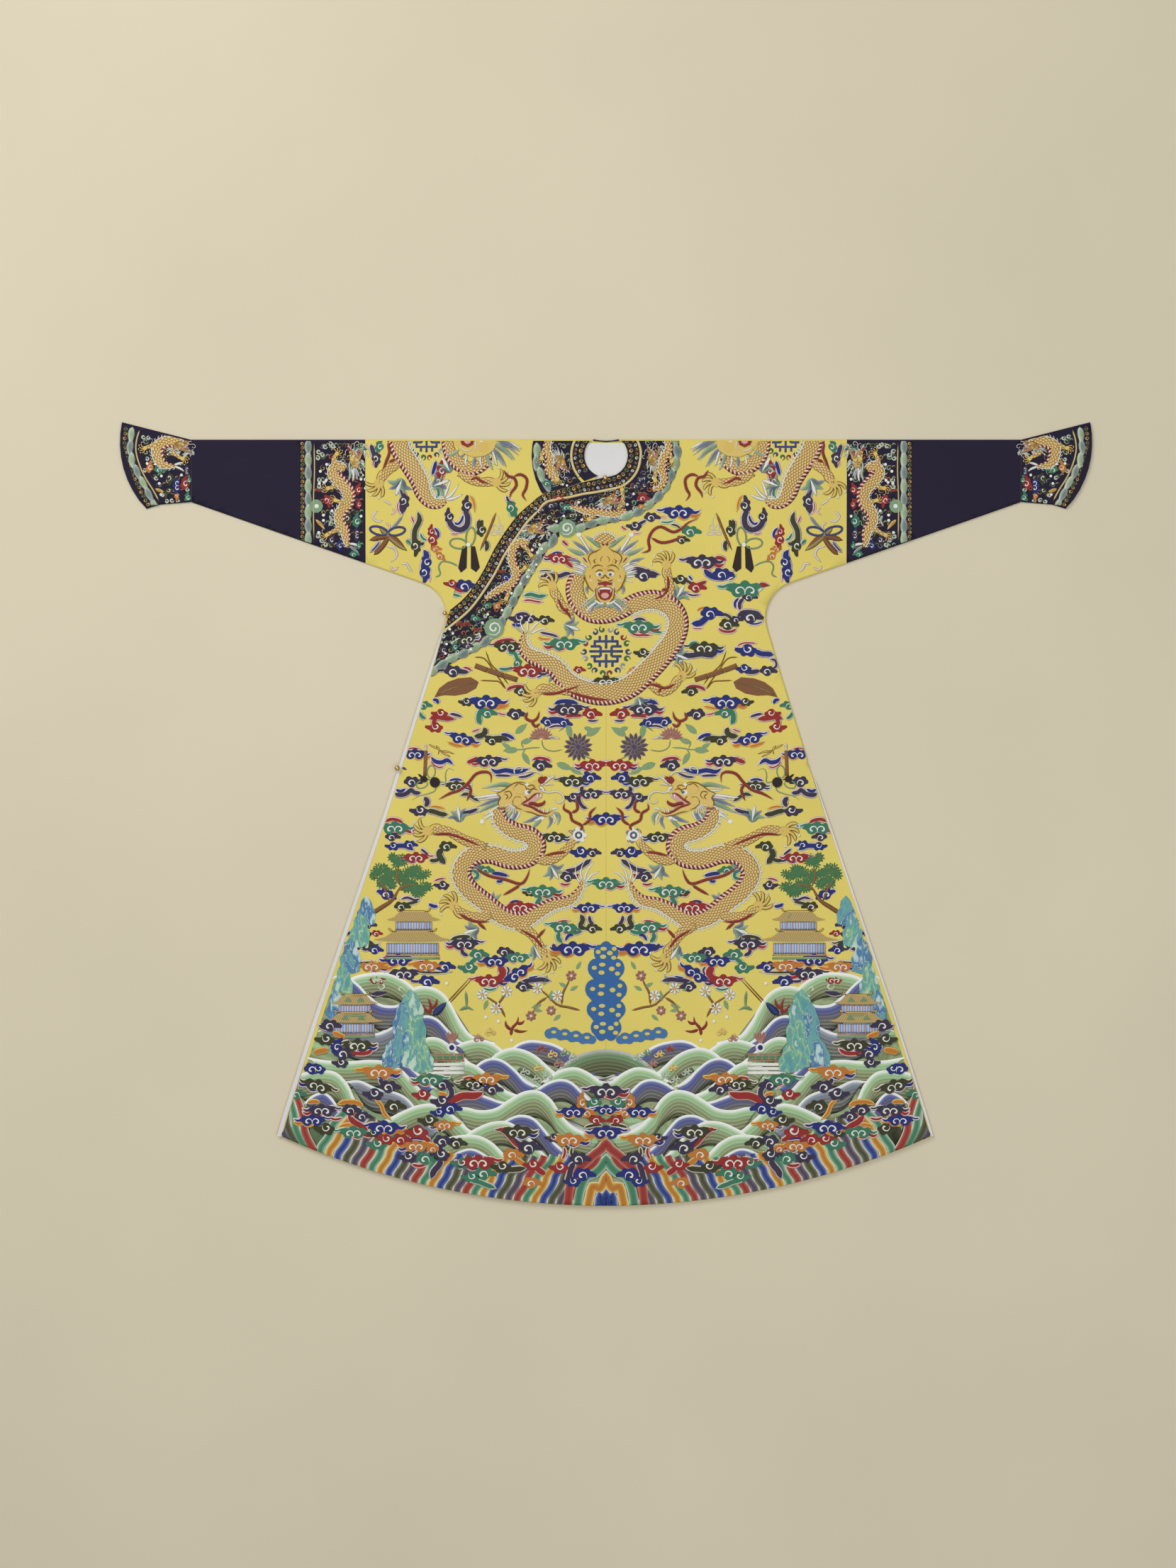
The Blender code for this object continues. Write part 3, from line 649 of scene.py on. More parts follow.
# Heads by kind and colour, on the right half and again on the left: x, y, size and the angle
# where they are turned. Those of the shoulders and sleeves stand on end.
HEADS = {
    "ruyi": {
        "plum": ((-7.2, 19.8, 1.05), (-22.2, 10, 0.95), (-2.9, 3.8, 0.85), (-26.8, -24.6, 1),
            (-38.3, -30.3, 1.05)),
        "blue": ((-22.7, 21.1, 1.15), (-27.2, 14.2, 0.95, -14), (-36.2, 11.3, 0.85),
            (-3.4, -17.8, 0.85), (-6.3, -25.6, 1.2), (-21, -27.9, 0.95), (-16.8, -30.3, 1, 34),
            (-39.4, -27.7, 1)),
        "red": ((-2.6, 9.2, 0.95), (-36, -8.3, 0.9), (-16.3, -17.7, 1), (-22.2, -31.6, 1),
            (-43.2, -31.5, 0.65)),
        "olive": ((-6.4, 6.2, 0.95), (-28.3, 5.3, 0.8), (-9.8, -4.4, 0.85), (-46.3, -24.8, 0.95)),
        "teal": ((-40, -2.7, 1.05), (-12, -14.7, 1.05), (-8, -21.5, 1, -6), (-16.8, -27.2, 0.85)),
        "orange": ((-44.4, -28.9, 0.9), (-34, -28.8, 0.95)),
    },
    "single": {
        "olive": ((-26.4, 21.2, 0.7, 180), (-21.6, 13.9, 0.8), (-16.1, 23.2, 0.8),
            (-30.2, -6.1, 0.85), (-38.8, -17.5, 0.8), (-14.5, -14.9, 0.6, 180), (-2.6, -21.7, 0.8),
            (-36, 50.7, 0.85, -90), (-23.6, 53.8, 0.8, 90)),
        "teal": ((-22.5, 19.1, 0.85), (-34.6, 20.6, 0.75), (-22.9, -10.7, 0.8),
            (-24.3, -26.6, 0.95), (-25.9, -29.1, 0.95, 180), (-42.9, 69.6, 0.7, 80)),
        "plum": ((-17.2, 18.9, 0.95), (-12.4, 9.2, 0.95), (-6.2, 3.1, 0.8, 180), (-36.8, 6.1, 0.9),
            (-35.2, 0.6, 0.9, 180), (-40.6, -4.3, 0.75), (-30.9, -13.5, 0.75, 180),
            (-2.6, -7.3, 0.75), (-7.3, -11.9, 0.85), (-19.3, -26.1, 0.85), (-15.7, -32.7, 0.85),
            (-45.3, -20.9, 0.85), (-45.8, -22.7, 0.85, 180), (-42.5, -32.8, 0.95, 180),
            (-43.5, 67.3, 0.75, -90), (-38.2, 59.2, 0.85, -90), (-26.4, 58.4, 0.85, 90),
            (-29.7, 56.3, 0.75, 100)),
        "red": ((-31.3, 19, 0.8, 180), (-32.3, 16.4, 0.85, 180), (-2.9, 19, 0.95),
            (-43.5, -22.6, 0.55), (-38.8, -33, 0.75), (-31.2, 65, 0.85, 90), (-31.7, 63, 0.7, -80),
            (-32.8, 51.9, 0.8, -90), (-33.1, 53.5, 0.6, 90)),
        "blue": ((-11.1, 17.5, 0.8), (-8, 17.3, 0.75, -10), (-3, 6.9, 0.9),
            (-40.3, -6.1, 0.7, 180), (-37.2, -5.8, 0.7), (-41.6, -15.2, 0.9, -20),
            (-4.8, -7.2, 0.95, 180), (-30.5, -28.9, 0.9), (-43.8, -25.7, 0.75), (-33.8, -31.7, 1),
            (-34, 47.7, 0.85, 90), (-34.3, 45.7, 0.9, -90)),
        "orange": ((-32.3, 50.2, 0.55), (-31.4, 48.8, 0.6, -40)),
    },
}
# Heads on one half only, because the great dragon's coils leave different gaps
RIGHT_HEADS = {
    "ruyi": {
        "olive": ((-18.7, 31.7, 0.95),),
        "red": ((-14.8, 27.1, 1.05), (-8.9, 48.4, 0.85, -8)),
        "teal": ((-7.9, 32.2, 1.1),),
    },
    "single": {
        "teal": ((-16.7, 28.4, 0.7, -90), (-17.9, 58, 0.85, -60)),
        "plum": ((-29, 27, 1), (-16.4, 37, 0.9, 180), (-14.3, 36.9, 0.7), (-10.9, 44.8, 0.75)),
        "olive": ((-11.6, 36.7, 0.8),),
        "red": ((-5.2, 27.3, 0.6), (-29.2, 43.6, 0.7, 180)),
        "blue": ((-26.8, 43.2, 1.05),),
    },
}
LEFT_HEADS = {
    "ruyi": {
        "teal": ((6.2, 35.4, 1.1), (26.3, 42.5, 1.35)),
        "olive": ((18.6, 31.4, 1.05),),
        "plum": ((18.2, 47.7, 1.15),),
        "blue": ((13.8, 57.1, 1.1),),
    },
    "single": {
        "plum": ((7.1, 45.2, 1.05), (13.2, 29.8, 0.7, 180), (30.5, 27.1, 0.85), (24.6, 36.8, 0.6),
            (27.3, 37.3, 1.1), (27, 41.1, 0.75), (8.5, 56.2, 0.8), (5.5, 54.5, 0.75, 180)),
        "olive": ((7, 30.5, 0.8, 180), (23, 35.9, 0.95), (14.1, 44.4, 0.8, 180),
            (14.3, 51.9, 0.7)),
        "orange": ((4.7, 26.9, 0.5, 60),),
        "blue": ((26.8, 31, 1.05, 180), (26.2, 27.5, 0.8, 180), (19.7, 38, 1.1),
            (21.9, 45.4, 1.05)),
        "red": ((17, 42.9, 0.9),),
        "teal": ((15.9, 53.5, 0.95),),
    },
}
MIDDLE_HEADS = {
    "ruyi": {
        "blue": ((0, -1, 1.05),),
        "olive": ((0, 25, 0.95),),
        "teal": ((0, -13.2, 1),),
    },
}
# Tails and stems by colour, on both halves: half width, then x, y, x, y along each
WISPS = {
    "orange": ((0.18, -21.6, 19.9, -20, 20.1, -18.2, 20.5),
        (0.22, -30.2, 13.7, -28.6, 13.1, -26.8, 12.7), (0.16, -9.3, 6.2, -8.8, 6.5, -8.2, 6.6),
        (0.18, -33.6, 1.3, -32.1, 1.4, -30.3, 0.9), (0.18, -4.7, -24.5, -3.9, -24.6, -3.4, -25.3),
        (0.22, -43.4, -29.2, -41.6, -29.3, -40, -28.9),
        (0.18, -40.4, -33.8, -39.5, -34, -38.4, -33.8),
        (0.18, -25.9, 60.5, -25.1, 59.2, -24.8, 57), (0.2, -33.3, 50.8, -32.6, 50, -31.6, 49.4)),
    "teal": ((0.4, -22.9, 20.2, -23.9, 19.2, -24.1, 17.9, -23.6, 16.8),
        (0.3, -35.4, 19.5, -34.9, 18.5, -34, 18),
        (0.3, -25.9, -10.6, -24.5, -11, -24.4, -12, -25.7, -12.4),
        (0.36, -12.2, -15.4, -12.7, -16.3, -13.5, -17.4),
        (0.32, -7.2, -22, -5.8, -22.5, -4.2, -21.9), (0.36, -8.7, -22.3, -9.1, -23.3, -8.2, -24.5),
        (0.36, -24.3, -27.2, -25.3, -27.9, -25.9, -28.7),
        (0.22, -23.6, -32.8, -22, -33.3, -20.3, -32.8),
        (0.26, -33.4, 62.1, -32.1, 61.8, -31.7, 60.5, -32.6, 59.3),
        (0.24, -35.3, 53.4, -34.7, 52.2, -33.8, 51.8)),
    "red": ((0.18, -20.8, 19.4, -19.8, 18.9, -18.6, 18.9),
        (0.4, -33.6, 17.9, -32.2, 18.4, -30.6, 18.2, -28.2, 17.9),
        (0.35, -32, 18.6, -32.6, 17.4, -32.4, 16.6), (0.18, -25.6, 15.6, -24.7, 15.8, -23.7, 16.2),
        (0.32, -8, 18.4, -6.2, 18.7, -4.2, 18.6),
        (0.28, -18.9, 23.2, -18.1, 23.9, -16.5, 24.2, -14.8, 23.9),
        (0.34, -26.5, 9.7, -25.3, 10.1, -24, 10.8),
        (0.26, -14.3, 10.1, -12.9, 10.6, -11.3, 10.4, -10.2, 9.8),
        (0.18, -38, 12.2, -36.5, 12.5, -34.9, 12.2),
        (0.18, -33.3, 10.5, -32.7, 9.4, -31.5, 8.8, -30.3, 9.3),
        (0.28, -42.2, -1.7, -40.8, -1, -39.3, -1.2, -38.2, -1.9),
        (0.2, -32.7, -12.8, -31.6, -12.3, -30.2, -12.2),
        (0.22, -8.9, -13, -7.8, -13.4, -6.6, -13.1), (0.26, -6.3, -12.1, -5.7, -11.7, -5, -11.3),
        (0.18, -9.8, -20.7, -8.2, -20.2, -6.6, -20.3),
        (0.22, -24, -26.3, -23.2, -26.8, -22.2, -27),
        (0.5, -20.6, -28.7, -19.6, -29.7, -19.8, -30.8, -21, -31.4),
        (0.2, -42.4, -27.4, -41.6, -27, -40.8, -27.1),
        (0.18, -36.6, -28.5, -35.2, -27.9, -33, -28), (0.16, -44, 67, -44.1, 66.3, -43.6, 65.6),
        (0.36, -31.3, 66.5, -31, 65.4, -31.2, 63.9, -32.3, 62.9),
        (0.16, -39.1, 59.6, -39.5, 58.1, -38.9, 56.6), (0.16, -29.6, 53.3, -28.6, 53, -27.7, 53.3),
        (0.18, -36.9, 56.6, -36.6, 55.7, -36.2, 54.9),
        (0.16, -33.1, 46.7, -33.5, 45.3, -33.2, 43.8)),
    "plum": ((0.26, -29.8, 19, -28.5, 18.8, -27, 18.3), (0.22, -3.7, 17.8, -2.6, 17.6, -1.3, 17.8),
        (0.22, -11.2, 16.2, -9.5, 16.7, -7.8, 16.5), (0.24, -21.4, 7.3, -19.6, 7.3, -17.6, 7.2),
        (0.24, -17, 7, -15.2, 7.1, -13.2, 8), (0.32, -4.2, 5.3, -4.7, 4.6, -3.8, 4),
        (0.3, -5, 4.2, -5.1, 2.6, -4.4, 1.4, -3.3, 1),
        (0.36, -40.3, 4, -39, 3.6, -37.6, 4, -36.7, 5.2), (0.34, -37.2, 5.1, -36.3, 4.1, -34.9, 4),
        (0.38, -34.6, 3.3, -33.8, 2.4, -34.3, 1.2), (0.32, -27.7, 0.2, -25.8, 0.4, -24, 1.1),
        (0.24, -35.2, -6.5, -34.4, -7.1, -33.4, -7.9),
        (0.24, -39.3, -16.3, -37.6, -15.8, -36.2, -16.3, -34.9, -15.9),
        (0.36, -2.6, -8.4, -4, -9.4, -6, -10.6, -8.2, -10.6),
        (0.26, -18.5, -16.9, -17.2, -16.5, -15.8, -16.7), (0.3, -3.2, -19, -3, -20.3, -2.2, -21),
        (0.34, -10.1, -24.4, -9.7, -25.3, -8.6, -25.9),
        (0.32, -27.3, -25.3, -27.1, -26.3, -25.9, -26.9),
        (0.22, -19, -28.7, -18.4, -29.6, -18.9, -30.7),
        (0.36, -16.4, -31.6, -14.2, -31.5, -12.2, -31.3, -10.2, -31.7),
        (0.28, -49.4, -23.2, -48.4, -22.4, -47, -22.6),
        (0.24, -48, -20.2, -46.8, -20.1, -45.9, -20.6),
        (0.36, -45.2, -34.1, -42.6, -33.9, -40.8, -32.8, -39.6, -31),
        (0.26, -37.2, -31.4, -36.2, -31.7, -34.9, -31.6),
        (0.36, -44.6, 70.2, -44.1, 68.6, -43.4, 66.2),
        (0.38, -39.2, 61.7, -38.3, 60.3, -38.7, 58.2, -38.4, 56.5),
        (0.42, -30.1, 57.9, -29.9, 56, -29.1, 54.4, -27.6, 53.8, -26.4, 54.6, -26.2, 56.2,
        -26.7, 57.7, -26.3, 59.8)),
    "blue": ((0.3, -33, 21.7, -32, 21.5, -31.8, 20.7), (0.3, -20.2, 15.1, -18.6, 14.9, -17.1, 14),
        (0.34, -10.1, 20.7, -8.6, 21.3, -6.8, 21.3, -4.9, 20.8),
        (0.45, -11.6, 16.4, -10.6, 17.7, -9, 17.8, -7, 17.4),
        (0.36, -22.1, 8.9, -20.8, 8, -19, 8.3, -17.3, 8, -15.8, 8.2, -14.2, 8.7),
        (0.36, -3.9, 8.3, -3.7, 7.6, -3.2, 7.1), (0.34, -33.3, 11.1, -32.4, 10, -31.1, 9.8,
        -30, 10.2, -28.7, 9.1), (0.28, -40, 4.8, -38.9, 4.3, -37.8, 4.9),
        (0.24, -30, 6.2, -28.5, 6.6, -26.9, 6.3),
        (0.36, -41.2, -6.2, -39.4, -6, -37.8, -6.1, -36.1, -7),
        (0.3, -43.6, -14.7, -42.8, -14.6, -42, -15.1),
        (0.3, -33.7, -16.9, -32.8, -17.4, -31.6, -17.5),
        (0.32, -21.9, -11.2, -20.3, -11.3, -18.2, -11.8),
        (0.26, -20.9, -12.6, -20.2, -12.8, -19.4, -12.6),
        (0.28, -7.8, -24.2, -7.1, -23, -5.9, -22.9), (0.2, -14.9, -31, -13.9, -30.9, -12.6, -30.6),
        (0.3, -32.1, 67.1, -32.5, 65.6, -33, 63.9),
        (0.24, -29, 55.4, -28.1, 54.9, -27.3, 55.7, -27, 57),
        (0.26, -32.7, 54.4, -31.8, 53.3, -31.8, 52),
        (0.44, -34.7, 50.2, -34, 49, -34.5, 47, -34.3, 45, -34.3, 44.1)),
    "olive": ((0.42, -23.2, 16.6, -22.9, 15.5, -23.8, 14.8, -25.2, 14.8),
        (0.38, -23.4, 14.9, -21.8, 14.3, -19.8, 14.4, -17.8, 13.8),
        (0.38, -34.4, 0.7, -32.7, 0.5, -31.2, 0, -29.7, -0.1),
        (0.3, -27.8, 3.4, -26.4, 3.8, -25.1, 3.1, -23.8, 2.2),
        (0.45, -30.6, -6.3, -31.6, -7.4, -31.2, -8.5, -30.3, -9.6),
        (0.32, -33.6, -8.7, -32.4, -8.8, -31.1, -8.3),
        (0.28, -39, -17.5, -37.2, -16.9, -35.1, -16.5),
        (0.38, -5, -18.8, -4.4, -20, -4.9, -21.3, -3.2, -21.8),
        (0.28, -29.9, -24.1, -28.2, -23.3, -26.2, -23.2, -24.8, -23.9),
        (0.22, -36.4, -29.8, -33.4, -30, -28.8, -29.9),
        (0.22, -47, -28.1, -45.4, -28.1, -43.4, -27.9),
        (0.4, -35.8, 57.6, -35.3, 55.7, -36.2, 53.7, -36.3, 51.6, -36.4, 50),
        (0.3, -36, 51.5, -35.1, 51.1, -34.3, 51.4), (0.4, -24, 56, -24, 54.3, -23.1, 53),
        (0.34, -23, 52, -22.5, 50.9, -22.8, 49.6)),
}
RIGHT_WISPS = {
    "red": ((0.28, -21.7, 31.6, -20.4, 32.6, -18.5, 33, -16.9, 32.7),
        (0.22, -27.2, 27.8, -26.2, 27.6, -25.2, 27),
        (0.2, -16.1, 40.3, -14.6, 40.5, -13.1, 40.2, -11.7, 40.1),
        (0.32, -8.2, 48, -7.2, 47.5, -6.2, 46.5), (0.24, -8.4, 51.9, -7.8, 51.3, -7.1, 50.7),
        (0.34, -30.2, 43.9, -29.2, 43.1, -28, 42.5, -26.2, 42)),
    "teal": ((0.32, -18.9, 30.4, -17.4, 30.5, -16.9, 29.5, -16.7, 28.7),
        (0.28, -20.6, 27.6, -18.9, 27.4, -17.3, 27.9), (0.2, -16.9, 30.2, -16.2, 30.3, -15.7, 30),
        (0.32, -15.9, 41.2, -14.3, 41.6, -12.7, 41.2, -10.9, 41.5),
        (0.26, -30.3, 42.6, -28.9, 41.6, -27.2, 41.2),
        (0.34, -17.8, 57.7, -17.9, 57, -17.5, 56.2)),
    "blue": ((0.2, -13.2, 25.9, -12.6, 26, -11.8, 26.6), (0.28, -18, 36, -17, 35.7, -15.7, 35.8),
        (0.22, -10.9, 48.7, -9.6, 49.5, -7.9, 49.4)),
    "plum": ((0.36, -28.8, 27, -27.4, 27, -25.8, 26.8), (0.28, -33, 27, -31.7, 27.3, -30.3, 27.1),
        (0.3, -17.6, 37.3, -16.1, 37.9, -14.4, 37.8),
        (0.24, -12.9, 34.5, -11.5, 34.2, -10.1, 33.9, -8.6, 33.3),
        (0.34, -12.9, 44.8, -11, 45.3, -9.1, 45, -7.6, 45.5, -6.3, 45.5),
        (0.26, -18.9, 60.5, -18.4, 59.2, -17, 58.8)),
    "orange": ((0.18, -13.1, 33.6, -11.9, 33.1, -10.3, 33.2),),
    "olive": ((0.18, -13.1, 45.9, -11.5, 46.1, -9.8, 45.9),),
}
LEFT_WISPS = {
    "plum": ((0.4, 4.4, 46, 6.1, 46.3, 8.3, 45.6, 10.4, 45.3),
        (0.24, 4.9, 36.6, 6.4, 37, 7.8, 36.5), (0.4, 13.5, 30.8, 15.5, 30, 18, 30.3, 20, 30.1,
        21.5, 31), (0.36, 26.2, 27, 27.7, 26.9, 29.4, 27.2),
        (0.24, 30.6, 29.4, 32, 29.1, 32.2, 28, 31.1, 27.3),
        (0.44, 24.6, 37.4, 26.2, 38.1, 28, 38, 29.7, 37.5),
        (0.32, 25.4, 38.4, 25.3, 39.9, 26.2, 41), (0.2, 15, 41.9, 16.4, 41.4, 18.1, 41.6),
        (0.28, 4.9, 54.1, 6.3, 54.9, 7.9, 55.8)),
    "teal": ((0.28, 7.6, 35.1, 9.2, 34.6, 10.8, 34.3), (0.28, 15.7, 31.3, 16.2, 32.3, 17.6, 32.5),
        (0.2, 9.9, 55.4, 11.6, 55.2, 13.2, 55.7)),
    "red": ((0.22, 4, 34.5, 5.8, 33.9, 7.3, 33.9, 8.9, 33.8),
        (0.18, 24.3, 31.4, 25.7, 32.3, 27.5, 32.4, 28.7, 32.2),
        (0.16, 16, 35.3, 17.2, 35.1, 18.6, 35.2),
        (0.24, 20.9, 35.4, 22.2, 34.6, 23.9, 34.6, 24.9, 35.3),
        (0.34, 28.7, 43.5, 30, 43.4, 31.1, 42.7), (0.32, 16.6, 43, 17.9, 43.6, 19.2, 44.1),
        (0.32, 20.4, 48.5, 21.7, 48.5, 22.9, 47.9), (0.2, 2.8, 54.7, 3.3, 54.1, 4, 53.8),
        (0.14, 4.9, 53.2, 5.8, 53.1, 6.8, 53.3), (0.14, 9.9, 56.2, 10.7, 56.3, 11.5, 56)),
    "blue": ((0.4, 27.7, 31.3, 29.2, 30.4, 30.6, 30.3, 31.9, 30.1),
        (0.46, 15.9, 36.1, 17.6, 36.1, 18.7, 36.9, 19.4, 37.7),
        (0.2, 26.6, 36.1, 28.4, 36, 30, 36.6), (0.26, 25.3, 41.1, 24.4, 40, 24.6, 38.7),
        (0.22, 15.5, 45.3, 16, 44.7, 16.4, 44.2),
        (0.44, 18.4, 46.6, 19.3, 45.5, 20.6, 44.9, 22.6, 44.9, 24.4, 46.1)),
    "orange": ((0.18, 17.2, 38.4, 17.8, 38.9, 18.9, 39.2),),
    "olive": ((0.28, 20.9, 37.4, 22.4, 37.8, 23.6, 37.1, 23.3, 36.1),
        (0.28, 14.4, 44.4, 15.6, 44, 16.6, 43.3), (0.18, 22.9, 44.2, 24, 44.6, 24.8, 45.5),
        (0.22, 11.9, 54.9, 13.4, 54.6, 14.4, 53.7)),
}


def pairs(numbers):
    """Points from x, y, x, y."""
    return list(zip(numbers[::2], numbers[1::2]))


def mirrored(points, side):
    """Points of the right half, or their like on the left."""
    return [(side * p[0], *p[1:]) for p in points]


def cloud_heads(bm, heads, side=1, base=0.02):
    """Heads by kind and colour."""
    for kind, colours in heads.items():
        for colour, places in colours.items():
            for x, y, size, *angle in places:
                angle = side * sum(angle)
                if kind == "ruyi":
                    ruyi(bm, colour, side * x, y, size, angle, base)
                else:
                    single(bm, colour, side * x, y, size, angle, side, base)


def embroider_clouds(name, heads, wisps, sides=(1,), base=0.0):
    bm = new_stitching()
    for side in sides:
        for colour, tails in wisps.items():
            for half_width, *numbers in tails:
                wisp(bm, colour, half_width, mirrored(pairs(numbers), side), base)
        cloud_heads(bm, heads, side, base)
    sew_on(bm, name)


embroider_clouds("clouds_both_halves", HEADS, WISPS, (1, -1))
embroider_clouds("clouds_right_chest", RIGHT_HEADS, RIGHT_WISPS)
embroider_clouds("clouds_left_chest", LEFT_HEADS, LEFT_WISPS)
embroider_clouds("clouds_centre", MIDDLE_HEADS, {})

# ---------------------------------------------------------------------------------------------
# The sea along the hem: overlapping combed waves with white crests, worked as shaded bands that
# fall away from each crest, the lower waves over the upper, mirrored about the centre seam.
# ---------------------------------------------------------------------------------------------
THREADS["green_wave"] = floss("green_wave_floss", (0.0, 232, 236, 230), (0.5, 222, 228, 218),
    (0.72, 166, 198, 154), (1.5, 146, 180, 136), (2.1, 138, 152, 112), (3.3, 126, 132, 100),
    reach=3.4, by="side", pitch=0.66, contrast=0.34)
THREADS["navy_wave"] = floss("navy_wave_floss", (0.0, 232, 234, 234), (0.42, 220, 224, 228),
    (0.6, 104, 112, 160), (1.2, 80, 88, 140), (1.9, 96, 96, 112), (2.9, 106, 106, 102), reach=3.0,
    by="side", pitch=0.66, contrast=0.36)
THREADS["slate_wave"] = floss("slate_wave_floss", (0.0, 230, 232, 234), (0.4, 212, 218, 222),
    (0.6, 144, 152, 162), (1.5, 114, 118, 130), (2.8, 110, 114, 106), reach=3.0, by="side",
    pitch=0.66, contrast=0.36)
THREAD_NAMES = list(THREADS)
WAVE_DROP = (0, 0.06, 0.16, 0.5, 1.2, 2.2, 3.4, 4.8)
WAVE_END = 4.2


def wave(bm, colour, crest, reach=1.0, base=0.01):
    """Band that falls from a crest line, highest there."""
    thread = bm.verts.layers.float_vector["thread"]
    line = smooth_line(crest, 4)
    last = len(line) - 1
    rows = len(WAVE_DROP)
    made = bmesh.ops.create_grid(bm, x_segments=last, y_segments=rows, size=0.5)["verts"]
    along = [0.0]
    for a, b in zip(line, line[1:]):
        along.append(along[-1] + (b - a).length)
    for v in made:
        i = round((v.co.x + 0.5) * last)
        j = round((v.co.y + 0.5) * rows)
        a, b = line[max(i - 1, 0)], line[min(i + 1, last)]
        level = max(abs(b.x - a.x) / ((b - a).length or 1.0), 0.25)
        close = max(ease(min(along[i], along[-1] - along[i]) / WAVE_END), 0.06)
        drop = WAVE_DROP[j] * reach * close if j < rows else 0.0
        rise = 0.06 * (1.0 - drop / 60.0) * min(1.0, (drop + 0.03) / 0.1) if j < rows else 0.0
        if j == rows - 1:
            rise = 0.005
        v.co = (line[i].x, line[i].y - drop, base + rise)
        v[thread] = (along[i], drop * level, drop * level)
    set_thread(made, colour)


def hem_below(x):
    return (HEM_CENTRE - math.sqrt(HEM_RADIUS ** 2 - (x * CM) ** 2)) / CM


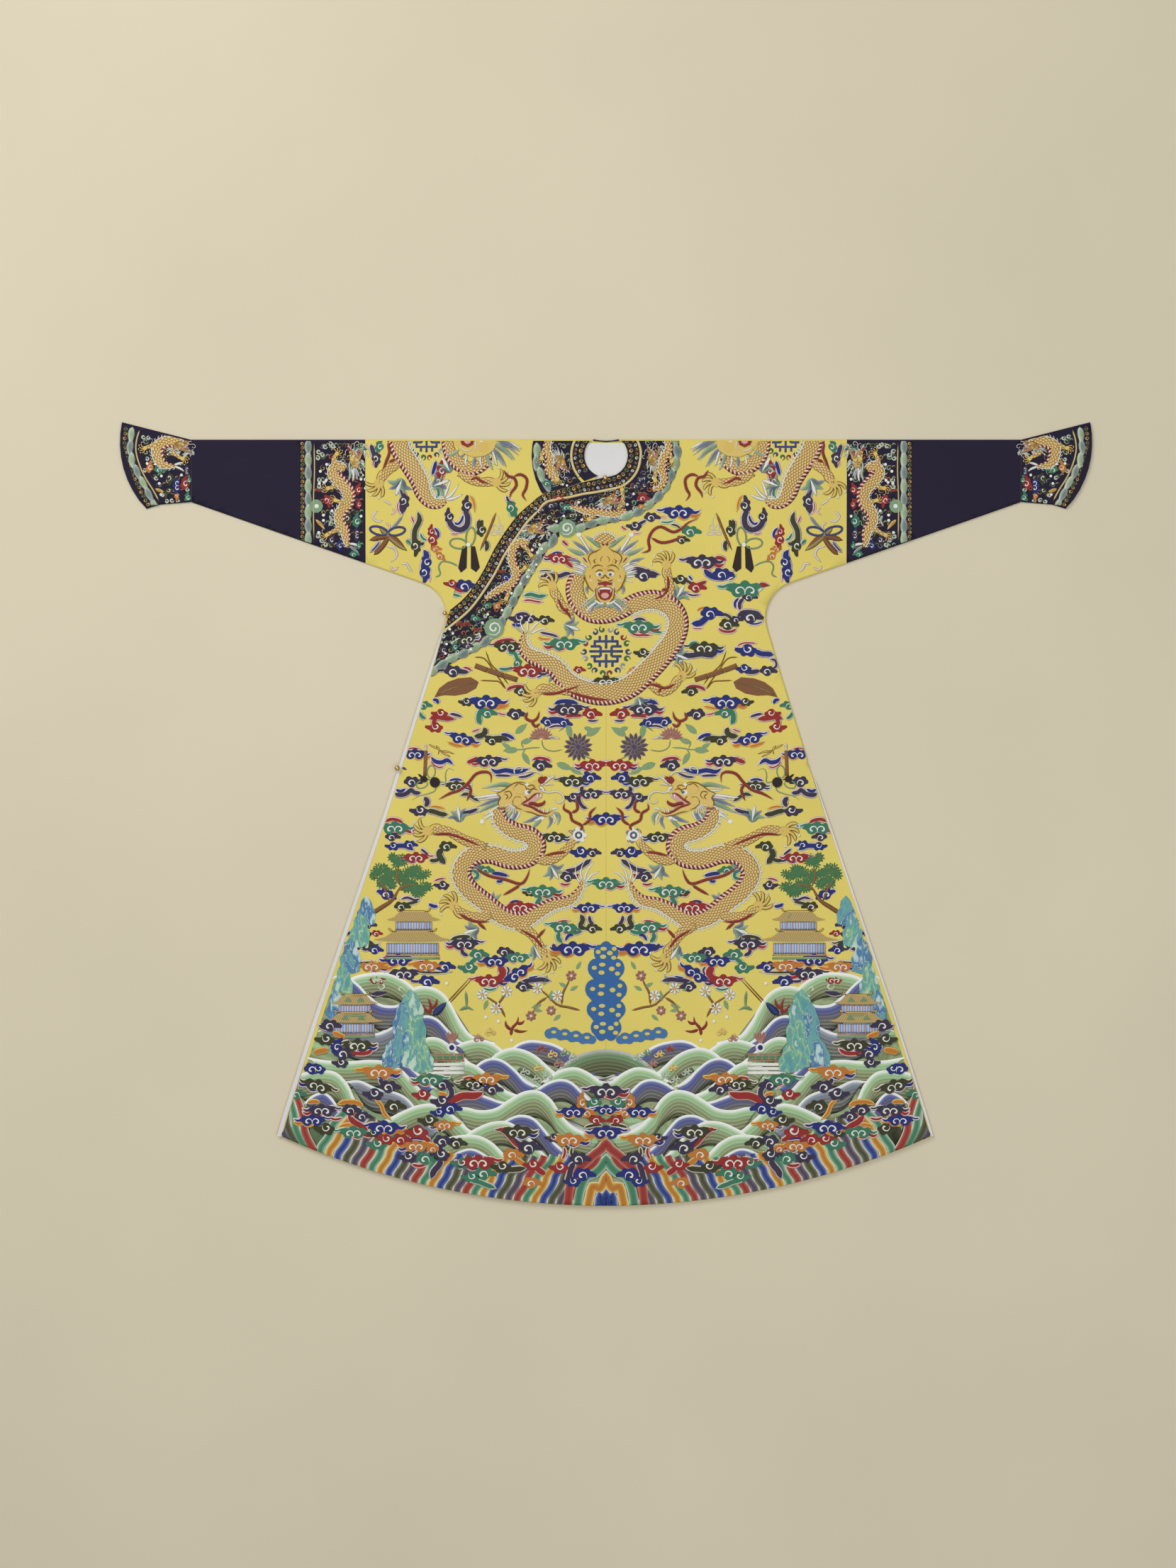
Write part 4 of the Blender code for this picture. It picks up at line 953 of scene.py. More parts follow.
# Crest lines from the back of the sea to the front: colour, reach, then x, y, x, y along each
WAVES = (("green_wave", 1, -49.5, -31.6, -47, -30.5, -44, -30, -41, -30.1, -38.5, -31.2,
     -36.5, -32.8, -35, -35),
    ("navy_wave", 1.1, -51.8, -31, -50.4, -30.3, -48.6, -30.9, -46.6, -32.4, -44.6, -34.6,
     -42.5, -36, -40, -36.2, -37.5, -35.4),
    ("green_wave", 1.3, -38.6, -34.4, -36.8, -33, -34.6, -32.5, -32.4, -32.9, -30.4, -34.3,
     -28.8, -36.8, -27.3, -39.6, -25.6, -41.7, -23, -42.9, -21, -43.2),
    ("slate_wave", 1.2, -54.5, -41, -52, -40, -49, -40.4, -46, -41.4, -43, -41.4, -40, -40,
     -37.5, -38.8, -36, -39),
    ("navy_wave", 1, -37, -39.6, -35.6, -38.4, -33.6, -38.1, -31.8, -38.8, -30.2, -40.4,
     -28.6, -42.2, -26.6, -43.4, -24.8, -43.8),
    ("green_wave", 1, -35.5, -43, -33.5, -42.2, -31.5, -42.4, -29.6, -43.6, -27.8, -45.3,
     -26, -46.8, -24, -48),
    ("green_wave", 1, -28.8, -43.9, -26.6, -43, -24, -42.6, -21.6, -43.2, -19.6, -44.6,
     -17.4, -46.4, -15, -47.6),
    ("navy_wave", 0.9, -18.2, -44.6, -16.6, -43.4, -14.6, -42.8, -12.4, -42.9, -9.8, -43.5,
     -7.6, -44.7, -5.4, -46.2, -3, -47.6, -0.2, -48.2),
    ("green_wave", 1, -22.4, -46.6, -20.4, -45, -18, -44.2, -15.6, -44.5, -13.2, -45.7,
     -11.2, -47.5, -9.2, -49.2, -7, -50.2),
    ("green_wave", 1.2, -9.8, -49, -7.4, -46.8, -4.2, -45.2, 0, -44.5, 4.2, -45.2, 7.4, -46.8,
     9.8, -49),
    ("navy_wave", 0.9, -42.6, -46.6, -40.6, -45.9, -38.4, -46.6, -36.2, -48.4, -34.2, -50.3,
     -32, -52),
    ("green_wave", 1.1, -56.5, -46, -53, -46.6, -49, -46.8, -45, -46.5, -41.6, -46.8, -38.8, -48.2,
     -36.6, -50.4, -34.4, -52.6, -31.6, -53.8),
    ("navy_wave", 1, -25.6, -48.6, -23.8, -46.9, -21.6, -46.1, -19.4, -46.6, -17.2, -48.3,
     -15.2, -50.4, -12.8, -51.6),
    ("green_wave", 1, -12.4, -50.8, -10.4, -49.3, -8.2, -48.2, -5.6, -47.9, -3.2, -48.9,
     -1.4, -50.2, 0, -50.7, 1.4, -50.2),
    ("green_wave", 1.1, -31, -48.8, -28.8, -47.4, -26.4, -46.9, -24, -47.9, -21.6, -50, -19, -52.2,
     -16, -53.4),
    ("green_wave", 1.2, -60.5, -50.2, -57.6, -49, -54, -48.4, -51, -48.9, -48.8, -51.2,
     -47.4, -54.2, -45.4, -56.8, -42.6, -58.4),
    ("navy_wave", 0.9, -57.4, -55, -55.6, -53.2, -53.4, -52.6, -51.6, -54, -50.2, -56.4,
     -48.4, -58.6),
    ("slate_wave", 1, -49.4, -50.6, -46.6, -50.4, -43.6, -51.8, -40.4, -52.4, -37.8, -53.6,
     -35.6, -56, -33.4, -58.4, -31, -60),
    ("navy_wave", 1, -30.4, -53.8, -27.6, -52.9, -24.6, -52.8, -22, -53.6, -19.6, -54.4,
     -17, -54.4),
    ("navy_wave", 0.9, -13.4, -52.2, -11.2, -50.8, -8.8, -50.1, -6.6, -50.6, -4.6, -52.4,
     -2.6, -54.4, -0.4, -55.4),
    ("green_wave", 1.1, -29.4, -55.6, -26.8, -55.4, -23.8, -56, -21, -55.6, -18.4, -54,
     -15.6, -52.5, -12.8, -52.3, -10.4, -53.9, -8.6, -56.6, -6.4, -59, -3.4, -60.4, 0, -60.8),
    ("green_wave", 1, -43.8, -58.6, -41.2, -57.6, -38.6, -56.2, -35.8, -55.1, -33, -54.8,
     -30.2, -55.9, -27.8, -58, -25.4, -60, -23, -61),
    ("navy_wave", 0.9, -21.4, -59.8, -19.2, -58, -16.6, -56.9, -13.8, -57.4, -11.6, -59.6,
     -9.6, -62.2, -7, -64.4),
    ("green_wave", 1, -27.2, -61, -24.6, -59.4, -21.6, -58.2, -18.4, -58.2, -15.6, -60,
     -13.2, -62.6, -10.8, -65.2, -8, -67),
    ("green_wave", 1.1, -33.8, -63.6, -31.4, -61.8, -28.2, -60.8, -24.6, -60.7, -21.8, -61.9,
     -19.4, -64.2, -17, -66.6, -14.4, -68.2),
    ("navy_wave", 0.8, -30.2, -65.4, -28, -63.8, -25.4, -63.2, -22.8, -64.4, -20.4, -66.6,
     -18, -68.4))
SIDES = ((1, "right"), (-1, "left"))
BED_ROWS = 13
BED_SPREAD = 0.19
SEA_BED = ((-51.4, -31.4), (-46, -31.4), (-41, -31), (-37, -33.4), (-33, -33.4), (-30, -35.6),
    (-27.6, -40.4), (-24, -43.2), (-19, -44.8), (-12, -43.6), (-6, -46.4), (0, -45.2))
for side, name in SIDES:
    bm = new_stitching()
    bed = smooth_line([(side * x, y) for x, y in SEA_BED], 3)
    thread = bm.verts.layers.float_vector["thread"]
    last = len(bed) - 1
    made = bmesh.ops.create_grid(bm, x_segments=last, y_segments=BED_ROWS, size=0.5)["verts"]
    for v in made:
        p = bed[round((v.co.x + 0.5) * last)]
        j = round((v.co.y + 0.5) * BED_ROWS)
        share = j / (BED_ROWS - 1) if j < BED_ROWS else 0.0
        foot = hem_below(p.x * (1.0 + BED_SPREAD))
        v.co = (p.x * (1.0 + BED_SPREAD * share), p.y + (foot - p.y) * share,
                0.014 if j < BED_ROWS else 0.002)
        v[thread] = (v.co.x, 3.0, 2.2 + 0.8 * math.sin(v.co.y * 0.7 + p.x * 0.3))
    set_thread(made, "green_wave")
    for k, (colour, reach, *numbers) in enumerate(WAVES):
        wave(bm, colour, mirrored(pairs(numbers), side)[::side], reach, 0.01 + 0.004 * k)
    sew_on(bm, "sea_" + name)

# ---------------------------------------------------------------------------------------------
# Standing water below the waves: wavy stripes of shaded floss that lean from the hem up into
# the sea, with a fan at each corner and a stack of pointed arches at the centre.
# ---------------------------------------------------------------------------------------------
for colour, light, dark in (("teal", (140, 184, 152), (70, 122, 94)),
        ("orange", (226, 190, 96), (176, 118, 50)), ("blue", (118, 134, 186), (48, 64, 126)),
        ("olive", (128, 130, 100), (76, 76, 60)), ("plum", (132, 126, 138), (78, 70, 86)),
        ("red", (178, 110, 92), (146, 56, 50))):
    between = [0.5 * (a + b) for a, b in zip(light, dark)]
    THREADS["broad_" + colour] = floss("broad_" + colour + "_floss", (0.0, 228, 228, 214),
        (0.12, 226, 226, 210), (0.2, *light), (0.4, *between), (0.68, *dark), reach=1.0)
THREAD_NAMES = list(THREADS)
STRIPE_COLOURS = ("broad_teal", "broad_orange", "broad_blue", "broad_olive", "broad_plum",
                  "broad_red")
STRIPE_COUNT = 30
STRIPE_START = -54.2
STRIPE_STEP = 1.62
STRIPE_SWAY = ((0, -0.3), (0.35, 1.2), (1.5, 2.7), (2.3, 4.2), (2.7, 5.6), (4, 7.1), (5.4, 8.4),
    (6, 9.8))

for side, name in SIDES:
    bm = new_stitching()
    for k in range(STRIPE_COUNT):
        x = STRIPE_START + STRIPE_STEP * k
        foot = hem_below(x)
        height = 0.66 + 0.3 * math.cos((x + 8.0) / 50.0 * math.pi) ** 2
        points = [(side * (x + dx * height), foot + dy * height) for dx, dy in STRIPE_SWAY]
        line = smooth_line(points, 3)
        rows = [(p.x, p.y, 0.86 if 0 < i < len(line) - 1 else 0.8)
                for i, p in enumerate(line)]
        ribbon(bm, rows, STRIPE_COLOURS[k % len(STRIPE_COLOURS)], 0.15, 0.07)
    for k, colour in enumerate(("red", "teal", "olive", "plum", "blue")):
        colour = "broad_" + colour
        foot = -55.6 - 1.7 * k
        points = [(side * (foot + dx), hem_below(foot) + dy) for dx, dy in
            ((0.4, -0.5), (-0.7, 1.5), (-1.5, 3.6), (-1.7, 6), (-2.4, 8.4), (-3.2, 11),
            (-3.2, 13.4))]
        line = smooth_line(points, 3)
        ribbon(bm, [(p.x, p.y, 0.95 - 0.3 * i / len(line)) for i, p in enumerate(line)], colour,
               0.15, 0.07)
    sew_on(bm, "stripes_" + name)

bm = new_stitching()
for colour, spread, apex in (("red", 7.3, -62.2), ("teal", 5.4, -65.2), ("orange", 3.5, -68.4),
        ("blue", 1.5, -71.7)):
    arm = [(-spread, -74.6), (-spread * 0.93, (apex - 74.0) * 0.5 - 2.0),
           (-spread * 0.72, (apex - 74.0) * 0.5 + 0.8), (-spread * 0.36, apex - 2.6),
           (-spread * 0.12, apex - 1.2), (0.0, apex)]
    arms = smooth_line(arm, 3)
    colour = "broad_" + colour
    rows = [(p.x, p.y, 1.0) for p in arms]
    rows += [(-p.x, p.y, 1.0) for p in arms[-2::-1]]
    ribbon(bm, rows, colour, 0.17, 0.07)
sew_on(bm, "stripes_centre")

# Clouds that float over the sea and the stripes
SEA_HEADS = {
    "ruyi": {
        "orange": ((-43, -48.9, 1.15), (-30.6, -58.9, 0.8), (-22.6, -50.2, 1.05),
            (-36, -62.9, 0.95), (-7, -61.7, 1.1)),
        "olive": ((-54.6, -51.5, 1.05, -18), (-25.2, -51.1, 0.9), (-16.8, -60.2, 1.1),
            (-47, -43.8, 1.05)),
        "plum": ((-53.8, -56.1, 1),),
        "blue": ((-55.6, -58, 0.95), (-42, -59.4, 1.15), (-6.2, -56.4, 0.95)),
        "teal": ((-47.8, -60.3, 1), (-33.4, -50.3, 1)),
        "red": ((-24.2, -66, 1.2),),
    },
    "single": {
        "plum": ((-41.2, -51.6, 1.05), (-43.8, -53, 1, 180), (-48.4, -56, 0.95),
            (-46.2, -57.2, 0.85), (-31, -51.2, 0.95), (-31, -54.4, 1, 180), (-21.6, -52.1, 0.95),
            (-31, -61.9, 1), (-31.2, -64.5, 1, 180), (-37.4, -64.9, 0.95, 180),
            (-14.7, -63.1, 1.15), (-9.9, -61.3, 0.75, 180), (-5.2, -65.2, 1.05), (-52.3, -40, 1),
            (-49.8, -45.3, 1.05), (-50.1, -47.1, 0.8, 180)),
        "olive": ((-40.2, -55.3, 1.05), (-53, -59.6, 1, 180), (-44, -60.4, 0.7, 180),
            (-33.4, -58, 1, 180), (-28.4, -62.3, 0.95), (-19.6, -66.8, 1, 180),
            (-53, -42.7, 0.95, 180)),
        "blue": ((-55.6, -48.2, 0.95), (-29.5, -55.7, 1), (-31.6, -56.5, 0.75, 180),
            (-4.4, -68.2, 1.1), (-6.2, -69.6, 0.85, 180), (-51, -44, 0.85, 60),
            (-54.4, -48.3, 0.8, 180)),
        "teal": ((-58.6, -53, 0.85), (-43.2, -62.5, 1, 180), (-34.2, -65.2, 1.05),
            (-27.3, -66.1, 0.95, 180), (-25.4, -68.7, 0.9, 180), (-23.2, -68, 1.1),
            (-2.2, -54.6, 0.85, 180)),
        "red": ((-41.6, -61.6, 0.9, 180), (-38.9, -61.6, 0.95), (-35.6, -60.2, 1.15, 180),
            (-34.7, -53.1, 0.9, 180), (-13.8, -66.4, 0.9, 180), (-8.7, -66.9, 0.95, 180),
            (-1.9, -57.9, 0.8)),
        "orange": ((-32.8, -63.4, 0.7), (-17.8, -64.4, 1), (-14.2, -69.8, 0.95),
            (-4.6, -54.6, 0.85, 90), (-3.6, -56.6, 0.8)),
    },
}
SEA_WISPS = {
    "orange": ((0.22, -43.8, -54, -42.6, -55, -42, -56.6, -40.6, -58),
        (0.26, -56.6, -54.7, -55.4, -54.4, -54, -54.6),
        (0.28, -51, -54.9, -49.2, -54.5, -47.2, -54.6, -45.8, -55.4),
        (0.22, -50.6, -59.2, -49.2, -58.8, -47.8, -58.8),
        (0.24, -31.9, -52.7, -30.8, -53, -29.9, -53.3),
        (0.3, -17.2, -64.8, -16.6, -65.6, -15.2, -66.4),
        (0.26, -5.4, -53.4, -4.2, -55.2, -4.6, -56.6, -3, -57.4),
        (0.3, -51.8, -41.3, -50.6, -41.8, -49.2, -42.4),
        (0.34, -55.4, -45.2, -54, -44.8, -52.4, -44.6)),
    "plum": ((0.36, -43, -49.9, -42.4, -50.8, -41.8, -51.4),
        (0.4, -30.4, -51.2, -29.3, -52.2, -29.4, -53.6, -30.6, -54.4),
        (0.38, -31, -62.6, -31.4, -63.4, -31, -64.2),
        (0.44, -31, -65, -31.6, -66.4, -32.6, -67.6, -33.2, -69.2),
        (0.38, -18, -61, -16.8, -62.2, -15.2, -62.8),
        (0.42, -5.8, -65.6, -6.6, -67, -7, -68.6, -7.6, -70.2),
        (0.34, -54.6, -39.9, -53, -40.5, -50.8, -40.3)),
    "red": ((0.22, -52.6, -57.3, -51.2, -57.8, -49.6, -57.4),
        (0.42, -49, -56.8, -47.8, -58.2, -46.4, -59, -44.8, -60.2),
        (0.36, -34.8, -60.2, -34.2, -61.4, -33, -61.9),
        (0.5, -30.6, -55, -28.8, -54, -27, -53.3, -24.8, -53.3, -23, -52.6),
        (0.24, -27.4, -50.3, -26, -49.9, -24.4, -50),
        (0.26, -37, -66.2, -35.4, -66.6, -33.8, -66.2),
        (0.38, -20.8, -59.6, -19.6, -59.8, -18.6, -60.6, -17.4, -62, -16.2, -63.6),
        (0.42, -13.4, -66.8, -12.4, -67.6, -11.4, -68.2),
        (0.24, -8, -62.8, -7.8, -64.2, -8.4, -65.6),
        (0.32, -49, -45, -47, -45.3, -45.2, -45.2, -43.8, -44.2)),
    "olive": ((0.3, -32.4, -58.2, -31.6, -59.4, -31.4, -60.4),
        (0.4, -21, -66.2, -19, -67.2, -17, -67.2, -14.8, -66.9),
        (0.24, -6.4, -62.8, -6.6, -64.2, -6.2, -65.2),
        (0.26, -4.4, -59.4, -2.4, -58.9, -0.4, -58.8)),
    "blue": ((0.34, -31.4, -56.4, -30.2, -55.6, -28.6, -55.2),
        (0.24, -37.6, -61.7, -36, -61.3, -34, -61.8),
        (0.38, -52, -43.2, -51.6, -44.4, -50.6, -45.2, -49.8, -46.4)),
    "teal": ((0.36, -26.4, -69.2, -24.4, -69.5, -22.6, -70.2, -20.6, -70.9),),
}
embroider_clouds("clouds_sea", SEA_HEADS, SEA_WISPS, (1, -1), 0.22)
embroider_clouds("clouds_sea_centre", {
    "ruyi": {"plum": ((0, -52.5, 1.2),), "blue": ((0, -56, 0.8), (0, -60.3, 1.1))},
}, {}, base=0.26)

# ---------------------------------------------------------------------------------------------
# Five-clawed dragons in couched gold: scaled coils with a red-barred belly along one side and
# white fins along the other, red flames, and manes in white and pale green floss.
# ---------------------------------------------------------------------------------------------
def scale_thread(name):
    """Gold laid in rows of overlapping scales outlined in brown."""
    material, tree, shader, _ = new_material(name, dyed(204, 174, 104), 0.45)
    along, _, across, vector = thread_parts(tree)
    row = calc(tree, "DIVIDE", along, 0.5)
    shift = calc(tree, "MULTIPLY", calc(tree, "FLOORED_MODULO", calc(tree, "FLOOR", row), 2.0),
                 0.5)
    column = calc(tree, "FRACT", calc(tree, "ADD", calc(tree, "DIVIDE", across, 0.56), shift))
    fx = calc(tree, "MULTIPLY", calc(tree, "SUBTRACT", column, 0.5), 2.0)
    fy = calc(tree, "FRACT", row)
    reach = calc(tree, "SQRT", calc(tree, "ADD", calc(tree, "MULTIPLY", fx, fx),
                                    calc(tree, "MULTIPLY", fy, fy)))
    colour = ramp_of(tree, reach, [(0, 228, 200, 126), (0.56, 214, 180, 98), (0.70, 122, 80, 36),
        (0.94, 130, 88, 40), (0.99, 220, 194, 122)])
    stitched(tree, shader, colour, along, vector, 0.11)
    return material


def bar_thread(name, first, second, pitch, slant=0.0):
    """Bars of two colours along a strip."""
    material, tree, shader, _ = new_material(name, dyed(*first), 0.5)
    along, _, across, vector = thread_parts(tree)
    lean = calc(tree, "MULTIPLY_ADD", across, slant, along)
    turn = calc(tree, "FRACT", calc(tree, "DIVIDE", lean, pitch))
    colour = ramp_of(tree, turn, [(0.0, *first), (0.54, *first), (0.62, *second), (0.94, *second)])
    stitched(tree, shader, colour, along, vector)
    return material


THREADS["scales"] = scale_thread("gold_scales")
THREADS["belly"] = bar_thread("belly_bars", (124, 34, 38), (232, 206, 192), 0.8, 0.5)
THREADS["gilt"] = floss("gilt_thread", (0.0, 142, 100, 50), (0.08, 142, 100, 50),
    (0.13, 218, 190, 112), (0.5, 212, 182, 98))
THREADS["flame"] = floss("flame_floss", (0.0, 224, 196, 170), (0.04, 210, 170, 140),
    (0.10, 144, 58, 50), (0.4, 132, 50, 44))
THREADS["jade"] = floss("jade_floss", (0.0, 226, 232, 220), (0.07, 210, 220, 202),
    (0.2, 146, 172, 142), (0.5, 110, 140, 116))
THREADS["mist"] = floss("mist_floss", (0.0, 228, 230, 226), (0.07, 204, 210, 208),
    (0.2, 126, 136, 150), (0.5, 84, 92, 112))
THREADS["tan_line"] = floss("brown_line", (0.0, 140, 98, 48), (0.3, 128, 88, 44))
THREADS["pale_pink"] = floss("pale_pink_floss", (0.0, 222, 186, 176), (0.3, 206, 150, 140))
THREADS["ink"] = floss("ink_floss", (0.0, 58, 48, 44), (0.3, 46, 38, 38))
THREAD_NAMES = list(THREADS)
HEAD_BASE = 0.06


def strand(bm, colour, half, *points, base=0.03, start=0.25, end=0.6, height=0.05):
    ribbon(bm, tapered(points, half, 3, start, end), colour, base, height, THIN)


def strands(bm, half, table, side=1):
    """Rows of (colour, x, y, x, y, x, y), each a tapering strand."""
    for colour, *numbers in table:
        strand(bm, colour, half, *mirrored(pairs(numbers), side))


def coil(bm, spine, belly, base=0.0, fins=True, rise=0.12, pitch=0.5, fin=0.65, steps=5):
    """Dragon's body along rows of x, y and half width; belly is +1 on the left side, -1 right."""
    line = smooth_line(spine, steps)
    rows = [(p.x, p.y, p.z) for p in line]
    ribbon(bm, rows, "scales", base, rise)
    edge, offs, crest = [], [], []
    for i, p in enumerate(line):
        a, b = line[max(i - 1, 0)], line[min(i + 1, len(line) - 1)]
        run = math.hypot(b.x - a.x, b.y - a.y) or 1.0
        nx, ny = (a.y - b.y) / run, (b.x - a.x) / run
        edge.append((p.x + nx * belly * p.z, p.y + ny * belly * p.z,
                     min(0.52, p.z * min(0.46, 0.2 + 0.16 * p.z))))
        crest.append((p.x - nx * belly * p.z, p.y - ny * belly * p.z, min(0.15, 0.23 * fin)))
        offs.append((p.x - nx * belly * p.z, p.y - ny * belly * p.z, -nx * belly, -ny * belly,
                     (b.x - a.x) / run, (b.y - a.y) / run))
    ribbon(bm, edge, "belly", base + 0.05, rise, THIN)
    if not fins:
        return
    ribbon(bm, crest, "white", base + 0.05, 0.05, THIN)
    gone = 0.0
    for a, b in zip(offs, offs[1:]):
        gone += math.dist(a[:2], b[:2])
        if gone < pitch:
            continue
        gone = 0.0
        x, y, ux, uy, tx, ty = a
        strand(bm, "white", 0.4 * fin * fin, (x - 0.2 * ux, y - 0.2 * uy),
               (x + fin * 0.55 * ux + 0.1 * tx, y + fin * 0.55 * uy + 0.1 * ty),
               (x + fin * ux - 0.35 * tx, y + fin * uy - 0.35 * ty), base=base + 0.03)


def dot(bm, colour, x, y, radius, base=0.03, height=0.06, squash=1.0):
    """Small round knot."""
    ring = [(x + radius * math.cos(math.pi * k / 5),
             y + squash * radius * math.sin(math.pi * k / 5)) for k in range(10)]
    patch(bm, ring, colour, base, height, (radius * 0.3, radius * 0.4))


def limb(bm, points, half=1.0, claw=1.0, base=0.02):
    """Scaled leg that ends in five claws."""
    claw *= 1.5
    line = smooth_line(points, 4)
    last = len(line) - 1
    ribbon(bm, [(p.x, p.y, half * (0.8 if i < 2 else 1.0) * (1.0 - 0.42 * i / last))
                for i, p in enumerate(line)], "scales", base, 0.11)
    end, before = line[-1], line[-3]
    heading = math.degrees(math.atan2(end.y - before.y, end.x - before.x))
    turned = 1 if (heading + 360) % 360 < 180 else -1
    for k, away in enumerate((-62, -26, 8, 44, 148)):
        away *= turned
        x, y = end.x, end.y
        p = [(x, y)]
        for reach, bend in ((0.9, 0), (0.7, 34 * turned), (0.5, 66 * turned)):
            turn = math.radians(heading + away + bend)
            x, y = x + claw * reach * math.cos(turn), y + claw * reach * math.sin(turn)
            p.append((x, y))
        strand(bm, "gilt", 0.25 * claw, *p, base=base + 0.03, start=0.1, end=0.3, height=0.08)
        turn = math.radians(heading + away + 100 * turned)
        strand(bm, "white", 0.13 * claw, p[3], (x + 0.3 * claw * math.cos(turn),
                                                y + 0.3 * claw * math.sin(turn)),
               (x + 0.5 * claw * math.cos(turn + 0.6 * turned),
                y + 0.5 * claw * math.sin(turn + 0.6 * turned)), base=base + 0.05)
    dot(bm, "gilt", end.x, end.y, 0.62 * claw, base + 0.05)


def flame(bm, side, *paths):
    """Tongues of fire, each a row of x, y, x, y."""
    for numbers in paths:
        strand(bm, "flame", 0.3, *mirrored(pairs(numbers), side), base=0.12, start=0.15,
               end=0.3, height=0.06)


def leant(angle, side):
    """An angle of the right half, or its mirror's on the left."""
    return angle if side > 0 else 180 - angle


def tuft(bm, x, y, heading, size=1.0):
    """Spray of hair behind a leg's joint."""
    size *= 1.45
    for k, colour in enumerate(("jade", "mist", "white", "jade", "mist")):
        turn = math.radians(heading + (k - 2) * 17)
        bend = turn + math.radians((k - 2) * 14)
        reach = size * (2.3 - 0.22 * abs(k - 2))
        strand(bm, colour, 0.36 * size, (x, y),
               (x + 0.55 * reach * math.cos(turn), y + 0.55 * reach * math.sin(turn)),
               (x + reach * math.cos(bend), y + reach * math.sin(bend)))


